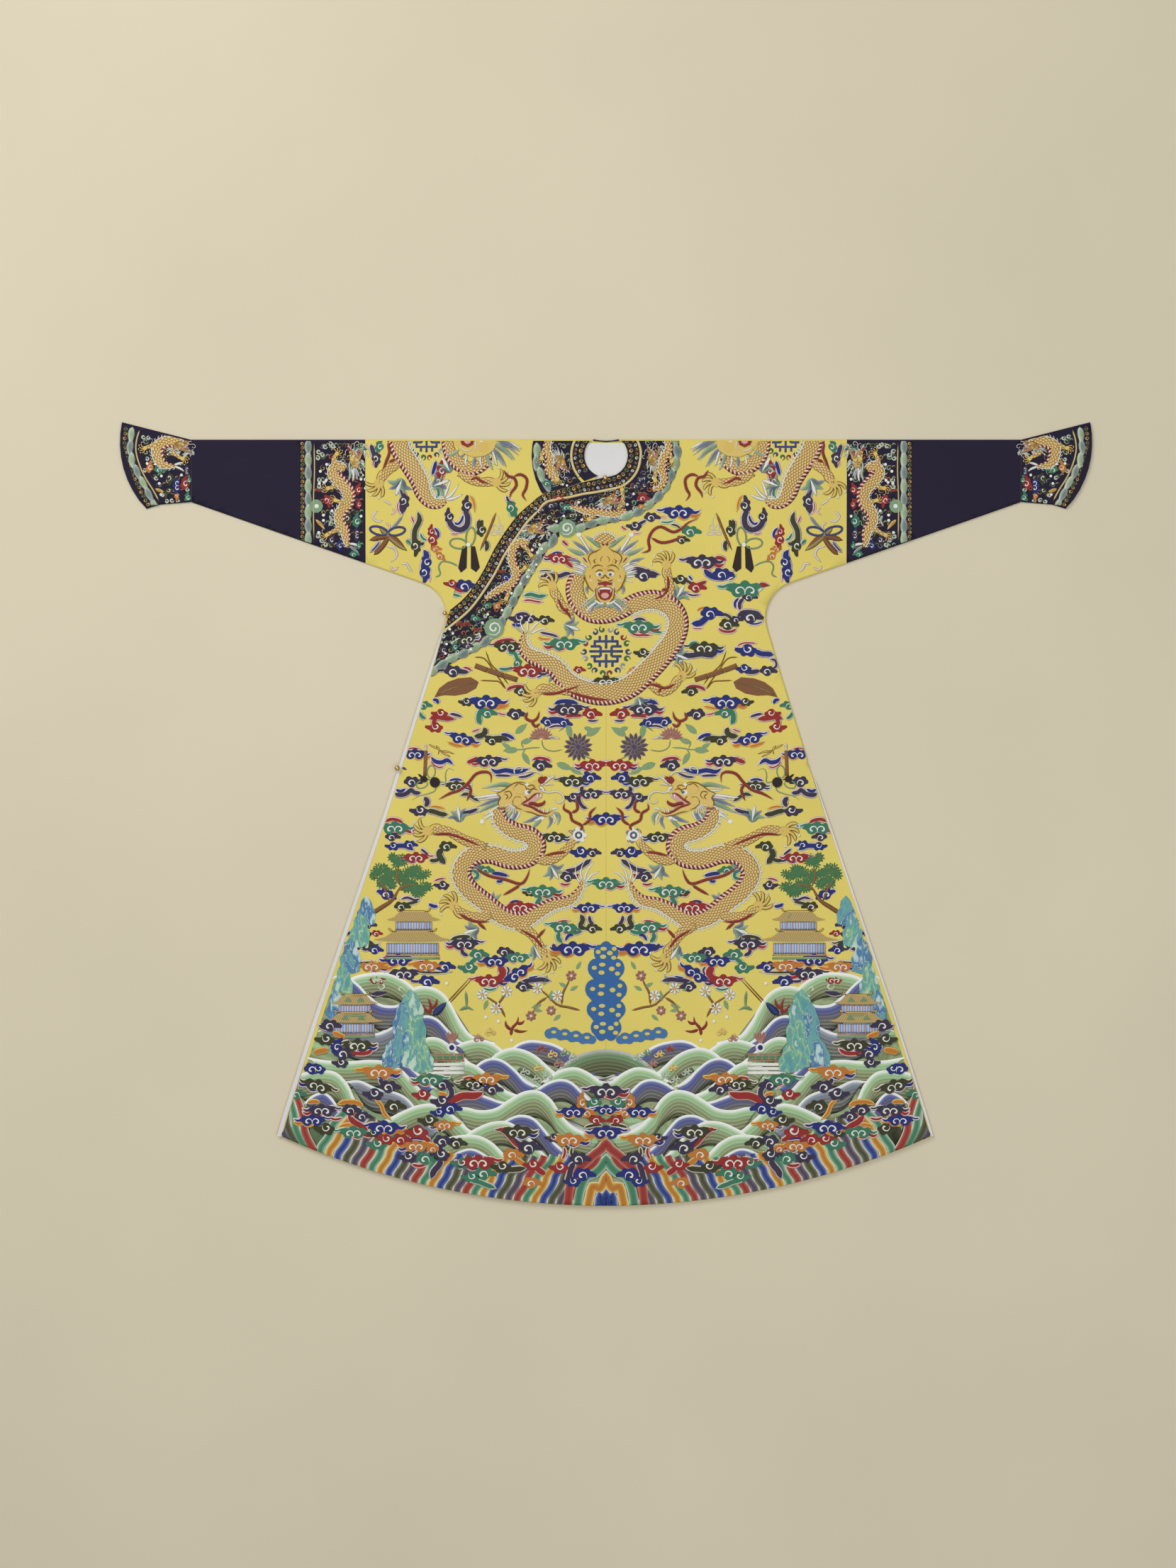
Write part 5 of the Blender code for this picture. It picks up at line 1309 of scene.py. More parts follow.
def front_head(bm, x, y):
    """Head seen from the front, with horns, crest, whiskers and a spread mane."""
    def both(half, colour, *points, lift=0.0, **ends):
        for side in (1, -1):
            strand(bm, colour, half, *[(x + side * px, y + py) for px, py in points],
                   base=HEAD_BASE + lift, **ends)

    def shape(colour, points, lift, height, insets, sides=(1,)):
        for side in sides:
            patch(bm, [(x + side * px, y + py) for px, py in points], colour,
                  HEAD_BASE + lift, height, insets)

    def whole(points):
        return [*points, *[(-px, py) for px, py in points[::-1] if px]]

    for k in range(8):
        turn = math.radians(92 - 13 * k)
        c, s = math.cos(turn), math.sin(turn)
        both(0.15, "white", (1.7 * c, 7.9 + 1.0 * s), (2.2 * c, 7.9 + 1.4 * s),
             (2.7 * c, 7.9 + 1.9 * s), lift=-0.03)
    shape("scales", whole([(0, 9.2), (0.9, 9), (1.7, 8.5), (2, 7.8), (1.2, 7.3), (0, 7.1)]), 0.0,
        0.08, (0.1, 0.2))
    both(0.26, "flame", (0.2, 6.8), (0.45, 7.2), (0.7, 7.6), lift=0.05)
    for half, colour, *numbers in ((0.46, "jade", 0.7, 6.4, 2.2, 7.6, 4, 8.8),
            (0.42, "mist", 3, 5.2, 4.8, 6.8, 6.4, 7.9), (0.2, "white", 3.2, 5, 4.6, 6.1, 6, 6.8),
            (0.46, "jade", 3.8, 5, 5.6, 5.6, 7.4, 6.5), (0.42, "mist", 4.3, 3.2, 5.8, 4, 7.6, 4.5),
            (0.24, "white", 2.8, 2.7, 4, 4, 4.8, 4.8), (0.24, "white", 3, 2.5, 4.6, 3.4, 6.6, 3.8),
            (0.2, "plum", 3.4, 2.3, 4.8, 3, 6.2, 3.3), (0.24, "white", 3.5, 2, 4.9, 2.7, 6.2, 2.9),
            (0.2, "plum", 3.7, 1.7, 5, 2.3, 6.2, 2.5),
            (0.24, "white", 3.8, 1.45, 5.2, 1.9, 6.3, 2.1),
            (0.26, "jade", 3.9, 1.1, 5.2, 1.5, 6.4, 1.6), (0.24, "white", 3.9, 0.8, 5, 1, 6, 1.1),
            (0.22, "white", 3.8, 0.4, 4.7, 0.1, 5.3, -0.1),
            (0.34, "mist", 3.2, -0.6, 3.5, -1.5, 3.2, -2.4),
            (0.36, "jade", 1.6, -3.2, 2.9, -4, 4.3, -5.2),
            (0.34, "mist", 1.2, -3.8, 2.2, -4.8, 3.1, -6.2),
            (0.3, "white", 0, -4.2, 1.2, -4, 2.2, -3.4),
            (0.36, "jade", 0, -4.7, 1.2, -4.6, 2.6, -5.2),
            (0.24, "white", 1.4, -3.8, 2.6, -4.6, 3.8, -5.9)):
        both(half * (1.15 if numbers[1] < -2.0 else 1.0), colour, *pairs(numbers),
             lift=0.09 if numbers[1] < -0.5 else -0.02)
    both(0.28, "white", (2.75, 5.4), (3.9, 7.2), (4.95, 8.9), end=0.05)
    both(0.30, "mist", (2.0, 5.7), (2.6, 6.0), (2.9, 6.7))
    for k in range(4):
        both(0.09, "white", (2.2 + 0.25 * k, 5.5 + 0.3 * k), (2.0 + 0.25 * k, 6.1 + 0.3 * k),
             lift=0.05)
    for side in (1, -1):
        dot(bm, "white", x + side * 4.95, y + 8.9, 0.46, HEAD_BASE)
    shape("gilt", [(4.5, 4.95), (3.2, 5), (2.7, 4), (2.9, 2.7), (3.7, 3.3)], 0.0, 0.09,
        (0.12, 0.16), (1, -1))
    both(0.20, "flame", (4.3, 4.7), (3.7, 4.0), (3.3, 3.4), lift=0.08)
    shape("gilt", whole([(0, 6.7), (1.4, 5.8), (2.6, 5.3), (3.1, 4.4), (2.6, 3.2), (2.5, 2.2),
        (3, 1), (2.8, -0.9), (2.2, -2), (1.9, -3), (1.4, -3.8), (0, -4)]), 0.0, 0.12, (0.12, 0.26))
    shape("gilt", whole([(0, 6.9), (0.9, 6.5), (1.5, 5.6), (1.8, 4.7), (1.3, 3.4), (0.5, 2.5),
        (0, 2.3)]), 0.08, 0.14, (0.12, 0.2, 0.4))
    shape("gilt", [(3.8, 1.45), (3.3, 2.2), (2.5, 2.2), (1.9, 1.2), (1.5, -0.3), (2.05, -1.9),
        (2.9, -1.1), (3.6, 0.4)], 0.07, 0.13, (0.12, 0.2, 0.3), (1, -1))
    for side in (1, -1):
        for colour, px, py, radius, lift, height, squash in (("gilt", 2.45, 4.6, 0.8, 0.07,
                0.12, 0.8), ("white", 1.08, 1.4, 0.64, 0.14, 0.06, 0.7),
                ("mist", 1, 1.35, 0.36, 0.17, 0.05, 0.9), ("ink", 1, 1.3, 0.15, 0.21, 0.03, 1)):
            dot(bm, colour, x + side * px, y + py, radius, HEAD_BASE + lift, height, squash)
    both(0.13, "tan_line", (0.35, 2.0), (1.2, 2.2), (1.9, 1.7), lift=0.17)
    both(0.12, "tan_line", (1.5, 0.4), (1.0, 0.1), (0.5, 0.2), lift=0.17)
    both(0.15, "flame", (2.7, 1.3), (2.9, 0.9), (2.8, 0.5), lift=0.19)
    both(0.15, "white", (2.3, 0.3), (2.7, 0.2), (3.1, 0.3), lift=0.19)
    shape("flame", whole([(0, 0.1), (0.45, 0), (1, -0.2), (1.45, -0.15), (1.2, -0.7), (0.5, -0.6),
        (0, -0.9)]), 0.14, 0.1, (0.1, 0.14))
    both(0.15, "white", (1.1, 0.1), (1.6, -0.5), (1.8, -1.8), (2.2, -2.6), (3.2, -3.4),
        (4.2, -4.3), (4.9, -5.2), lift=0.16, start=0.1)
    shape("flame", whole([(0, -0.95), (0.9, -1), (1.45, -1.4), (1.35, -2.6), (0.85, -3.35),
        (0, -3.6)]), 0.14, 0.05, (0.1, 0.2))
    shape("white", whole([(0, -1.1), (0.85, -1.15), (1.2, -1.5), (0.6, -1.5), (0, -1.45)]), 0.18,
        0.04, (0.08, 0.08))
    shape("pale_pink", whole([(0, -2.1), (0.5, -2.2), (0.78, -2.65), (0.45, -3.1), (0, -3.2)]),
        0.18, 0.04, (0.1, 0.12))
    both(0.14, "white", (1.12, -1.3), (1.16, -1.75), (1.0, -2.15), lift=0.2)
    for numbers in ((1.72, -1, 1.78, -2.2, 1.5, -3.3, 0.7, -4),
            (0.3, 6.75, 1.3, 5.9, 2.6, 5.35, 3.15, 4.4, 2.7, 3.2),
            (0.2, 2.7, 0.9, 3.1, 1.9, 3, 2.6, 2.3), (3.85, 1.4, 3.7, 0.3, 3, -1.1, 2.1, -1.9),
            (0.3, 4.9, 0.8, 4.3, 0.7, 3.6), (1.9, 4.3, 2.1, 3.8, 1.8, 3.4),
            (0, 1.4, 0.35, 0.8, 0.9, 0.6)):
        both(0.11, "tan_line", *pairs(numbers), lift=0.21, end=0.3)


def side_head(bm, move, base=HEAD_BASE, size=1.0):
    """Open-mouthed head in profile; move takes the pattern's centimetres to the robe's."""
    def hair(colour, half, *points, lift=-0.02, **ends):
        strand(bm, colour, half * size, *move(points), base=base + lift, **ends)

    for colour, half, *numbers in (("jade", 0.48, -1, 1.5, -3.6, 1.7, -7.2, 0.9),
            ("white", 0.22, -3, 0.5, -4.4, 0.5, -5.8, 0.8),
            ("white", 0.34, -2.4, -0.1, -5.3, -0.4, -7.4, -0.7, -9, -0.8),
            ("plum", 0.26, -3.2, -0.6, -5.6, -0.9, -7.6, -1.4),
            ("mist", 0.44, -3.2, -0.8, -5.4, -1.5, -8.2, -2.6),
            ("jade", 0.46, -3, -1.3, -5.8, -2.5, -8.3, -3.8),
            ("white", 0.24, -3, -1.8, -5.2, -3.2, -6.8, -4.2),
            ("mist", 0.42, -2, -3.2, -3.6, -4.8, -5.4, -5.9),
            ("jade", 0.44, -1.2, -3.4, -2.3, -4.8, -4, -6.3),
            ("white", 0.22, -0.9, -3.3, -1.7, -4.6, -2.9, -5.9),
            ("mist", 0.4, -0.3, -3.2, -1.1, -4.7, -2.3, -6),
            ("white", 0.22, 0.2, -3.2, -0.3, -4.4, -1, -5.4),
            ("mist", 0.42, 3.9, -4.2, 2.3, -5, 0.6, -5.5),
            ("white", 0.34, 4.6, -4.2, 3.6, -4.9, 2.6, -5.2),
            ("jade", 0.42, 4.4, -4.4, 3.1, -5.9, 1.5, -7.1),
            ("jade", 0.44, 6.4, -3.4, 7.5, -4.4, 7.2, -6.1),
            ("mist", 0.4, 5.6, -4.2, 6, -5.3, 5.2, -6.8),
            ("white", 0.24, 6.2, -3.6, 6.8, -4.6, 6.6, -5.8),
            ("white", 0.26, 6, -3.2, 6.8, -2.8, 7.4, -2.9),
            ("white", 0.36, -2.2, -2.9, -4, -3.4, -5.8, -4.3, -7.1, -5.3)):
        hair(colour, half, *pairs(numbers))
    for colour, points, lift, insets in (("gilt",
             ((-4.4, 0.1), (-3, 0.5), (-2.2, 1.1), (-1.1, 1.8), (0.3, 2.1), (1.4, 1.8), (2.3, 2.1),
             (3.2, 2.6), (4, 1.9), (3.6, 1.3), (4, 0.7), (4.6, 0), (3, -0.1), (1.8, -1.2),
             (0.4, -2), (1.2, -2.2), (2.7, -2.7), (3.6, -3.3), (5, -3.8), (6.4, -3.2), (6.5, -3.8),
             (5.4, -4.3), (3.6, -4), (2.3, -3.5), (0.9, -3.3), (-0.5, -2.8), (-2.2, -2.4),
             (-3.8, -2.6), (-4, -1.6), (-3.6, -0.8)), 0, (0.12, 0.16)),
            ("gilt", ((-1.2, 0.9), (-0.2, 1.8), (1, 1.5), (1.3, 0.6), (0.6, -0.1), (-0.6, 0)),
             0.08, (0.12, 0.2)),
            ("gilt", ((-1.1, -1), (-0.4, -0.6), (0.4, -1.1), (0.3, -2), (-0.4, -2.6), (-1.2, -2)),
             0.08, (0.12, 0.2)),
            ("pale_pink", ((0.6, -1.95), (2, -1.2), (3.1, -0.3), (4.4, -0.2), (3.9, -0.9),
             (2.9, -1.5), (2.8, -2.5), (1.4, -2.2)), 0.01, (0.1, 0.12))):
        patch(bm, move(points), colour, base + lift, 0.12, [inset * size for inset in insets])
    for numbers in ((-4.5, -0.1, -3.1, 0.55, -2.2, 1.2, -1.1, 1.9, 0.3, 2.15, 1.5, 1.8),
            (-4.4, 0.1, -3.6, -0.8, -4, -1.6, -3.8, -2.5),
            (-1.3, 0.7, -0.3, 1.8, 1, 1.5, 1.35, 0.5),
            (0.4, -0.7, -0.7, -0.7, -1.25, -1.7, -0.5, -2.7, 0.6, -3),
            (1.5, 1.3, 2.4, 1.6, 3.1, 1.1), (2, 0.5, 2.7, 0.9, 3.5, 0.6),
            (0.9, -3.35, 2.3, -3.6, 3.6, -4.1, 5.4, -4.4), (-2.9, 0, -2.2, -0.5, -2.6, -1.2)):
        hair("tan_line", 0.1, *pairs(numbers), lift=0.17, end=0.3)
    for k in range(6):
        c, s = math.cos(math.radians(196 + 17 * k)), math.sin(math.radians(196 + 17 * k))
        hair("white", 0.12, (-1.0 + 0.3 * c, -2.0 + 0.3 * s), (-1.0 + 1.2 * c, -1.9 + 1.2 * s),
             (-1.0 + 2.1 * c, -2.0 + 2.1 * s), lift=0.17)
    for colour, half, *numbers in (("flame", 0.22, 0.3, -2, 1.8, -1.1, 3, -0.1, 4.2, 0.1),
            ("flame", 0.26, 0.3, -2, 2.2, -2.5, 3.6, -3.3, 5, -3.8, 6.3, -3.3),
            ("flame", 0.36, 1.6, -1.9, 2.6, -1.9, 3.6, -2.2, 4.6, -1.8, 4.8, -1.2),
            ("flame", 0.16, -4.4, -2.6, -3.2, -2.9, -2, -2.7),
            ("white", 0.17, 3.4, 0, 3.4, -0.5, 3.3, -1), ("white", 0.15, 4, 0, 4.1, -0.4, 4, -0.8),
            ("white", 0.17, 4.6, -3.7, 4.5, -3.2, 4.6, -2.7),
            ("white", 0.17, 5.3, -3.7, 5.4, -3.2, 5.5, -2.6),
            ("white", 0.15, 3.7, -3.2, 3.7, -2.9, 3.8, -2.5),
            ("white", 0.18, 3.9, 1.5, 5, 2.2, 5.6, 3, 5.4, 3.7),
            ("white", 0.16, 5.2, 2.4, 6, 3, 6.9, 3.5),
            ("white", 0.16, 4.6, 1.6, 5.6, 1.8, 6.5, 1.7),
            ("white", 0.3, 3.8, 1.2, 4.4, 0.9, 4.7, 0.3),
            ("white", 0.15, 3.6, 0.7, 5.4, 0.2, 7, 0.4, 8.1, -0.2, 8.4, -1.2, 7.5, -1.8, 6.7, -1.4,
            7, -0.8), ("white", 0.15, 4.4, 3.2, 3.6, 4, 2.2, 4.2, 0.9, 4),
            ("white", 0.14, -0.8, 3.6, -1, 4.3, -0.5, 5, 0.4, 5, 0.5, 4.4, 0, 4.2),
            ("tan_line", 0.11, 0.8, 0.6, 1.5, 0.9, 2.4, 0.6),
            ("tan_line", 0.1, -3, 0.2, -1.9, 0.4, -1.5, -0.4, -2.2, -1.2),
            ("tan_line", 0.1, 2, 0, 2.3, 0.8, 3, 1.2),
            ("tan_line", 0.1, 0.9, -0.5, 1.4, -0.9, 1.2, -1.4)):
        hair(colour, half, *pairs(numbers), lift=0.15, start=0.1, end=0.4)
    for px in range(6):
        hair("white", 0.09, (-3.2 - 0.42 * px, 0.5 + 0.04 * px),
             (-3.3 - 0.42 * px, 1.1 + 0.04 * px), lift=0.04)
    for colour, px, py, radius, lift in (("flame", 4.2, 2.5, 0.72, 0.13),
            ("flame", 4.9, 2.9, 0.36, 0.14), ("white", 1.5, 0.2, 0.52, 0.14),
            ("mist", 1.8, 0.25, 0.32, 0.17), ("ink", 1.85, 0.25, 0.13, 0.20),
            ("white", 1.4, 1.75, 0.34, 0.10), ("white", -7.1, -5.3, 0.44, -0.02),
            ("white", 4.3, -4.6, 0.4, 0)):
        (cx, cy), = move([(px, py)])
        dot(bm, colour, cx, cy, radius * size, base + lift)


# The great dragon of the chest, coiled round the roundel
bm = new_stitching()
coil(bm, ((-15.2, 34.4, 0.35), (-15.6, 32.2, 0.8), (-14.6, 30.4, 1.1), (-12, 29.2, 1.35),
    (-9.4, 27.8, 1.5), (-7.4, 25.4, 1.6), (-4.4, 23.6, 1.75), (-0.4, 22.9, 1.85), (4, 24, 1.85),
    (7.8, 27.2, 1.8), (10.7, 30.4, 1.75), (12.8, 33.4, 1.7), (13.5, 36.4, 1.65), (12.3, 39, 1.6),
    (9.4, 40.3, 1.6), (6.4, 40, 1.55), (4, 38.9, 1.5)), -1)
coil(bm, ((4.4, 39.4, 1.2), (1, 38.2, 1.45), (-2.6, 38.2, 1.55), (-5, 40.2, 1.55),
    (-5.7, 42.9, 1.45), (-5, 45.2, 1.1)), 1, 0.02, fins=False)
coil(bm, ((13.2, 39.4, 0.1), (14.6, 37.2, 0.1), (14.2, 34.4, 0.1)), 1, 0.0, pitch=0.6)
for numbers in ((-6, 38.4, -8.2, 39.2, -9.2, 41.2, -10.2, 43.2),
        (9.8, 40.2, 12, 42, 11.8, 44.6, 11.4, 47.2),
        (-5.4, 23.2, -8.6, 23.6, -11.2, 23.8, -13.4, 22.8),
        (8.4, 24.6, 10.8, 23.2, 12.8, 24.2, 14.4, 26.2)):
    limb(bm, pairs(numbers), 1.15, 0.95)
flame(bm, 1, (-9.2, 41, -8.4, 39.2, -7.2, 38, -6.6, 36.8), (-8, 38.7, -6.9, 38.6),
    (11.6, 45.4, 11.8, 43, 10.8, 41.4, 8.8, 40.6), (11.6, 42.6, 10.4, 42.4),
    (-12.4, 22.8, -10, 22.8, -7.6, 23.4, -4.8, 24.4), (-8, 23.4, -5.4, 22.6, -2, 21.8, 1, 21.6),
    (13.4, 24.8, 11.2, 23.8, 9.4, 24.4, 7.6, 24.6), (10.6, 24, 9.8, 22.8),
    (6.6, 49.4, 8.2, 50, 8, 51.8, 8.8, 53.6, 10.4, 54.4, 12.6, 53.4, 14.2, 54, 15.6, 55.2,
    17.6, 56), (8.4, 52.4, 10.4, 51.4, 12.8, 51.8, 14.6, 52.8))
for x, y, heading in ((-8, 35.9, -20), (13.2, 40.6, 60), (6, 22.2, -70), (-8.6, 26.2, 150),
        (12.6, 30.4, -20)):
    tuft(bm, x, y, heading)
strands(bm, 0.24, (("white", -15, 34, -16.2, 36, -15.6, 38),
    ("white", -14.8, 34.2, -14.8, 36.4, -13.6, 38.6),
    ("white", -14.6, 34.2, -13.2, 36, -10.6, 37.4), ("white", -14.4, 34, -12.6, 35, -11, 35.2),
    ("jade", -15.2, 34, -16.9, 35.2, -17.2, 36.6)))
front_head(bm, -0.2, 44.0)
sew_on(bm, "dragon_of_the_chest")

# The two striding dragons of the skirt, facing a flaming pearl each
for side, name in SIDES:
    bm = new_stitching()

    def skirt(points):
        return mirrored(points, side)

    coil(bm, skirt(((-20.6, 1, 1), (-20, -1.4, 1.2), (-17.6, -3.3, 1.35), (-14.6, -4.2, 1.45),
        (-13.3, -6, 1.5), (-14.6, -8, 1.5), (-18, -8.5, 1.5), (-22, -7.4, 1.5), (-25.6, -8, 1.55),
        (-27.6, -11, 1.6), (-26.2, -14.2, 1.55), (-22.8, -17, 1.5), (-19.4, -19.6, 1.5),
        (-15.8, -20.3, 1.4), (-12.8, -18.7, 1.2), (-10, -17.2, 1), (-6.8, -16.4, 0.85),
        (-5, -14.4, 0.55), (-4.4, -12.6, 0.3))), side)
    for claw, *numbers in ((1, -22.6, -6.4, -26.6, -5, -30.6, -3, -33.8, -3.2),
            (0.7, -13.6, -8.4, -10.4, -8.6, -7.6, -6.8, -6, -4.8),
            (1, -21.6, -19, -24.8, -19.6, -27.4, -18.6, -28.8, -17.4),
            (1, -17, -21, -14.4, -22.4, -12.6, -24.8, -11.2, -27.2)):
        limb(bm, skirt(pairs(numbers)), 1.15, claw)
    flame(bm, side, (-31.8, 2.7, -29.6, 3.9, -27.6, 4.6, -26, 6, -24.6, 7.6, -22.8, 8, -21.8, 7.4,
        -21.8, 5.8), (-26.2, 5.8, -25.6, 4.4, -26.4, 2.4),
        (-25.2, -9.8, -22.4, -11.6, -19, -12.4, -16.2, -13.2, -15, -12, -14.4, -10.2),
        (-16.2, -13.4, -17.8, -14.4, -19.6, -15.4),
        (-33, -3.9, -29.6, -3.8, -26.2, -5, -23.4, -6.2), (-7.4, -7.2, -9.6, -7.4, -12, -8),
        (-28.2, -18.6, -25.2, -20.2, -22, -20.4), (-24.6, -20.2, -22.6, -22),
        (-11.8, -25.6, -13.6, -23.4, -16.6, -21.6), (-13.4, -23.8, -11.4, -21.6),
        (-5, -3.4, -4.6, -2.2, -6.4, -1.2, -6.8, 0.2, -8, 1, -7.8, 2.2),
        (-6.6, 0.2, -5.4, 1, -5.8, 3.2), (-4.6, -2.2, -3.2, -1.2, -3, 0.2, -1.8, 1.4),
        (-14.8, 19.4, -15.2, 18.2, -14, 17.6, -13, 18.2, -12.6, 19.6),
        (-14.2, 17.7, -13.4, 16.6, -12.4, 17.2))
    for x, y, heading in ((-23.4, -8.6, 200), (-10.6, -9.6, -60), (-24, -21.6, 200),
            (-13.8, -24.8, 300), (-27.6, -1.6, 100), (-20.8, -17.6, 130)):
        tuft(bm, side * x, y, leant(heading, side))
    strands(bm, 0.24, (("white", -4.4, -13, -4.8, -10.6, -3.6, -8),
        ("white", -4.2, -13, -3.6, -10.8, -2.2, -9),
        ("white", -4, -13.2, -2.8, -11.6, -1.2, -10.8),
        ("white", -4.6, -13.4, -5.8, -11.4, -5.6, -9.2),
        ("jade", -4, -13.8, -2.4, -12.9, -0.8, -12.9)), side)
    side_head(bm, lambda points: skirt([(px - 16.4, py + 3.9) for px, py in points]))
    for radius, colour, base in ((1.15, "white", 0.06), (0.72, "mist", 0.12),
                                 (0.32, "white", 0.16)):
        dot(bm, colour, side * -5.2, -4.0, radius, base, 0.08)
    for k in range(7):
        turn = 2 * math.pi * k / 7
        dot(bm, "mist" if k % 2 else "white", side * -5.2 + 1.15 * math.cos(turn),
            -4.0 + 1.15 * math.sin(turn), 0.42, 0.05)
    sew_on(bm, "dragon_of_the_skirt_" + name)

# The dragons of the shoulders, whose heads lie over the fold
for side, name in SIDES:
    bm = new_stitching()

    def shoulder(points):
        return mirrored(points, side)

    coil(bm, shoulder(((-30, 71.4, 0.9), (-29.5, 68.8, 1.05), (-28, 66.6, 1.15),
        (-25.4, 65.6, 1.15), (-23.2, 66.6, 1), (-22.6, 68, 0.8))), -side, fins=False)
    coil(bm, shoulder(((-39.4, 71.4, 1.6), (-38.6, 68.8, 1.6), (-36.8, 66, 1.55),
        (-35.2, 63.2, 1.45), (-34.4, 60.8, 1.25), (-33.2, 59.2, 1), (-31.6, 58.9, 0.8),
        (-30.4, 59.4, 0.4))), -side)
    for numbers in ((-27.8, 64.8, -25, 63.2, -22.8, 62.8, -20.8, 62.8),
            (-39.2, 66.6, -41, 65.4, -42.2, 64, -43, 62.6)):
        limb(bm, shoulder(pairs(numbers)), 1.15, 0.95)
    flame(bm, side, (-25.8, 63.2, -24.6, 63.6, -23.6, 63, -21.8, 62.4),
        (-41.4, 70.4, -41, 68.6, -41.6, 66.8, -42.4, 64.8), (-41.2, 66.6, -39.8, 67.2),
        (-19.4, 65.2, -18.6, 64, -17.4, 63.6, -17, 62.2, -18, 60.8, -18.2, 59.8),
        (-17.6, 63.9, -16.2, 64.3, -15, 63.4, -15.2, 61.6, -15.8, 60.4, -15, 59.2))
    for x, y, heading in ((-29.4, 64.6, 120), (-38.6, 63.6, 250), (-33, 62, 20)):
        tuft(bm, side * x, y, leant(heading, side), 1.1)
    strands(bm, 0.34, (("jade", -21, 69.6, -19.2, 68.6, -17.6, 66.8),
        ("mist", -20.6, 70.4, -18.6, 69.6, -16.4, 67.8),
        ("white", -20.4, 70.6, -18, 70.2, -15.8, 69), ("white", -23, 68.4, -22.2, 67.2, -20.8, 66),
        ("jade", -22.4, 68.8, -20.6, 67.6, -19.4, 65.8),
        ("mist", -26.6, 68.2, -28, 67.2, -28.6, 65.6),
        ("white", -26.2, 69.2, -25.2, 68.2, -23.8, 68.4),
        ("jade", -29.6, 70.4, -30.2, 68.6, -29.8, 66.6),
        ("white", -30.6, 59.6, -29.2, 60.6, -27.8, 62.6),
        ("white", -30.4, 59.4, -28.8, 59.8, -27, 60.6),
        ("white", -30.6, 59.8, -30, 61.8, -29.4, 63.2)), side)
    for colour, half, *numbers in (("jade", 0.46, -21.4, 70.2, -19.2, 69, -17.2, 67),
            ("mist", 0.42, -21.6, 69.4, -20.2, 67.8, -18.8, 65.6),
            ("white", 0.26, -21.6, 69, -21, 67.2, -20.6, 65.8),
            ("jade", 0.4, -22.6, 68.4, -22.2, 66.8, -21.4, 65),
            ("white", 0.24, -23.8, 68, -23.8, 66.6, -23.4, 65.4),
            ("mist", 0.36, -24.8, 67.8, -25, 66.4, -24.8, 65.4),
            ("white", 0.24, -26.2, 68, -26.6, 66.8, -26.4, 65.8),
            ("mist", 0.42, -21, 71, -18.6, 70.2, -16.2, 68.6),
            ("jade", 0.36, -27.8, 69, -29.2, 68, -30.6, 68.2)):
        strand(bm, colour, half, *shoulder(pairs(numbers)), base=0.13)
    for colour, lift, insets, points in (("gilt", 0.15, (0.12, 0.2),
            ((-28.8, 71.5), (-28.4, 69.8), (-27.2, 68.4), (-25.2, 67.6), (-23, 67.8),
            (-21.4, 68.8), (-20.8, 70.2), (-21, 71.5))),
            ("flame", 0.26, (0.12, 0.2), ((-27.6, 71.2), (-27.3, 69.9), (-26.2, 69.4),
            (-25.2, 69.9), (-25, 71.2))), ("pale_pink", 0.31, (0.1, 0.1),
            ((-26.9, 71), (-26.7, 70.2), (-26.1, 70), (-25.6, 70.4), (-25.6, 71)))):
        patch(bm, shoulder(points), colour, lift, 0.1, insets)
    dot(bm, "gilt", side * -23.2, 69.4, 0.95, 0.22)
    dot(bm, "white", side * -23.6, 70.8, 0.42, 0.25)
    dot(bm, "ink", side * -23.5, 70.8, 0.16, 0.3, 0.03)
    for numbers in ((-27.8, 69.6, -26.6, 68.8, -25.2, 69),
            (-24.8, 70.8, -24.6, 69.6, -24.8, 68.8)):
        strand(bm, "white", 0.14, *shoulder(pairs(numbers)), base=0.3, start=0.1)
    sew_on(bm, "dragon_of_the_shoulder_" + name)

# ---------------------------------------------------------------------------------------------
# Collar and lapel of navy silk: a scroll band at the neck's edge, a thick yellow cord, a field of
# small gold dragons, clouds and pearls, and an outer edge of green wave leaves.
# ---------------------------------------------------------------------------------------------
COLLAR_OVER = 0.0013
THREADS["tan"] = floss("tan_thread", (0.0, 112, 96, 60), (0.05, 112, 96, 60), (0.12, 168, 150, 96),
    (0.4, 150, 132, 84))
THREADS["cord"] = floss("yellow_cord_silk", (0.0, 170, 150, 88), (0.10, 198, 180, 122),
    (0.24, 212, 196, 140), pitch=0.16)
THREADS["leaf"] = floss("wave_leaf_floss", (0.0, 226, 232, 218), (0.22, 216, 226, 204),
    (0.4, 160, 186, 148), (0.8, 124, 154, 122), reach=0.9)
THREADS["dark_leaf"] = floss("dark_leaf_floss", (0.0, 216, 222, 218), (0.20, 200, 210, 200),
    (0.4, 130, 150, 142), (0.8, 92, 112, 110), reach=0.9)
for colour, tone in (("sage", (146, 168, 132)), ("moss", (104, 106, 70)),
        ("russet", (172, 98, 70)), ("smoke", (112, 112, 128))):
    THREADS[colour] = floss(colour + "_thread", (0.0, *tone),
                            (0.3, *(0.8 * part for part in tone)))
THREAD_NAMES = list(THREADS)
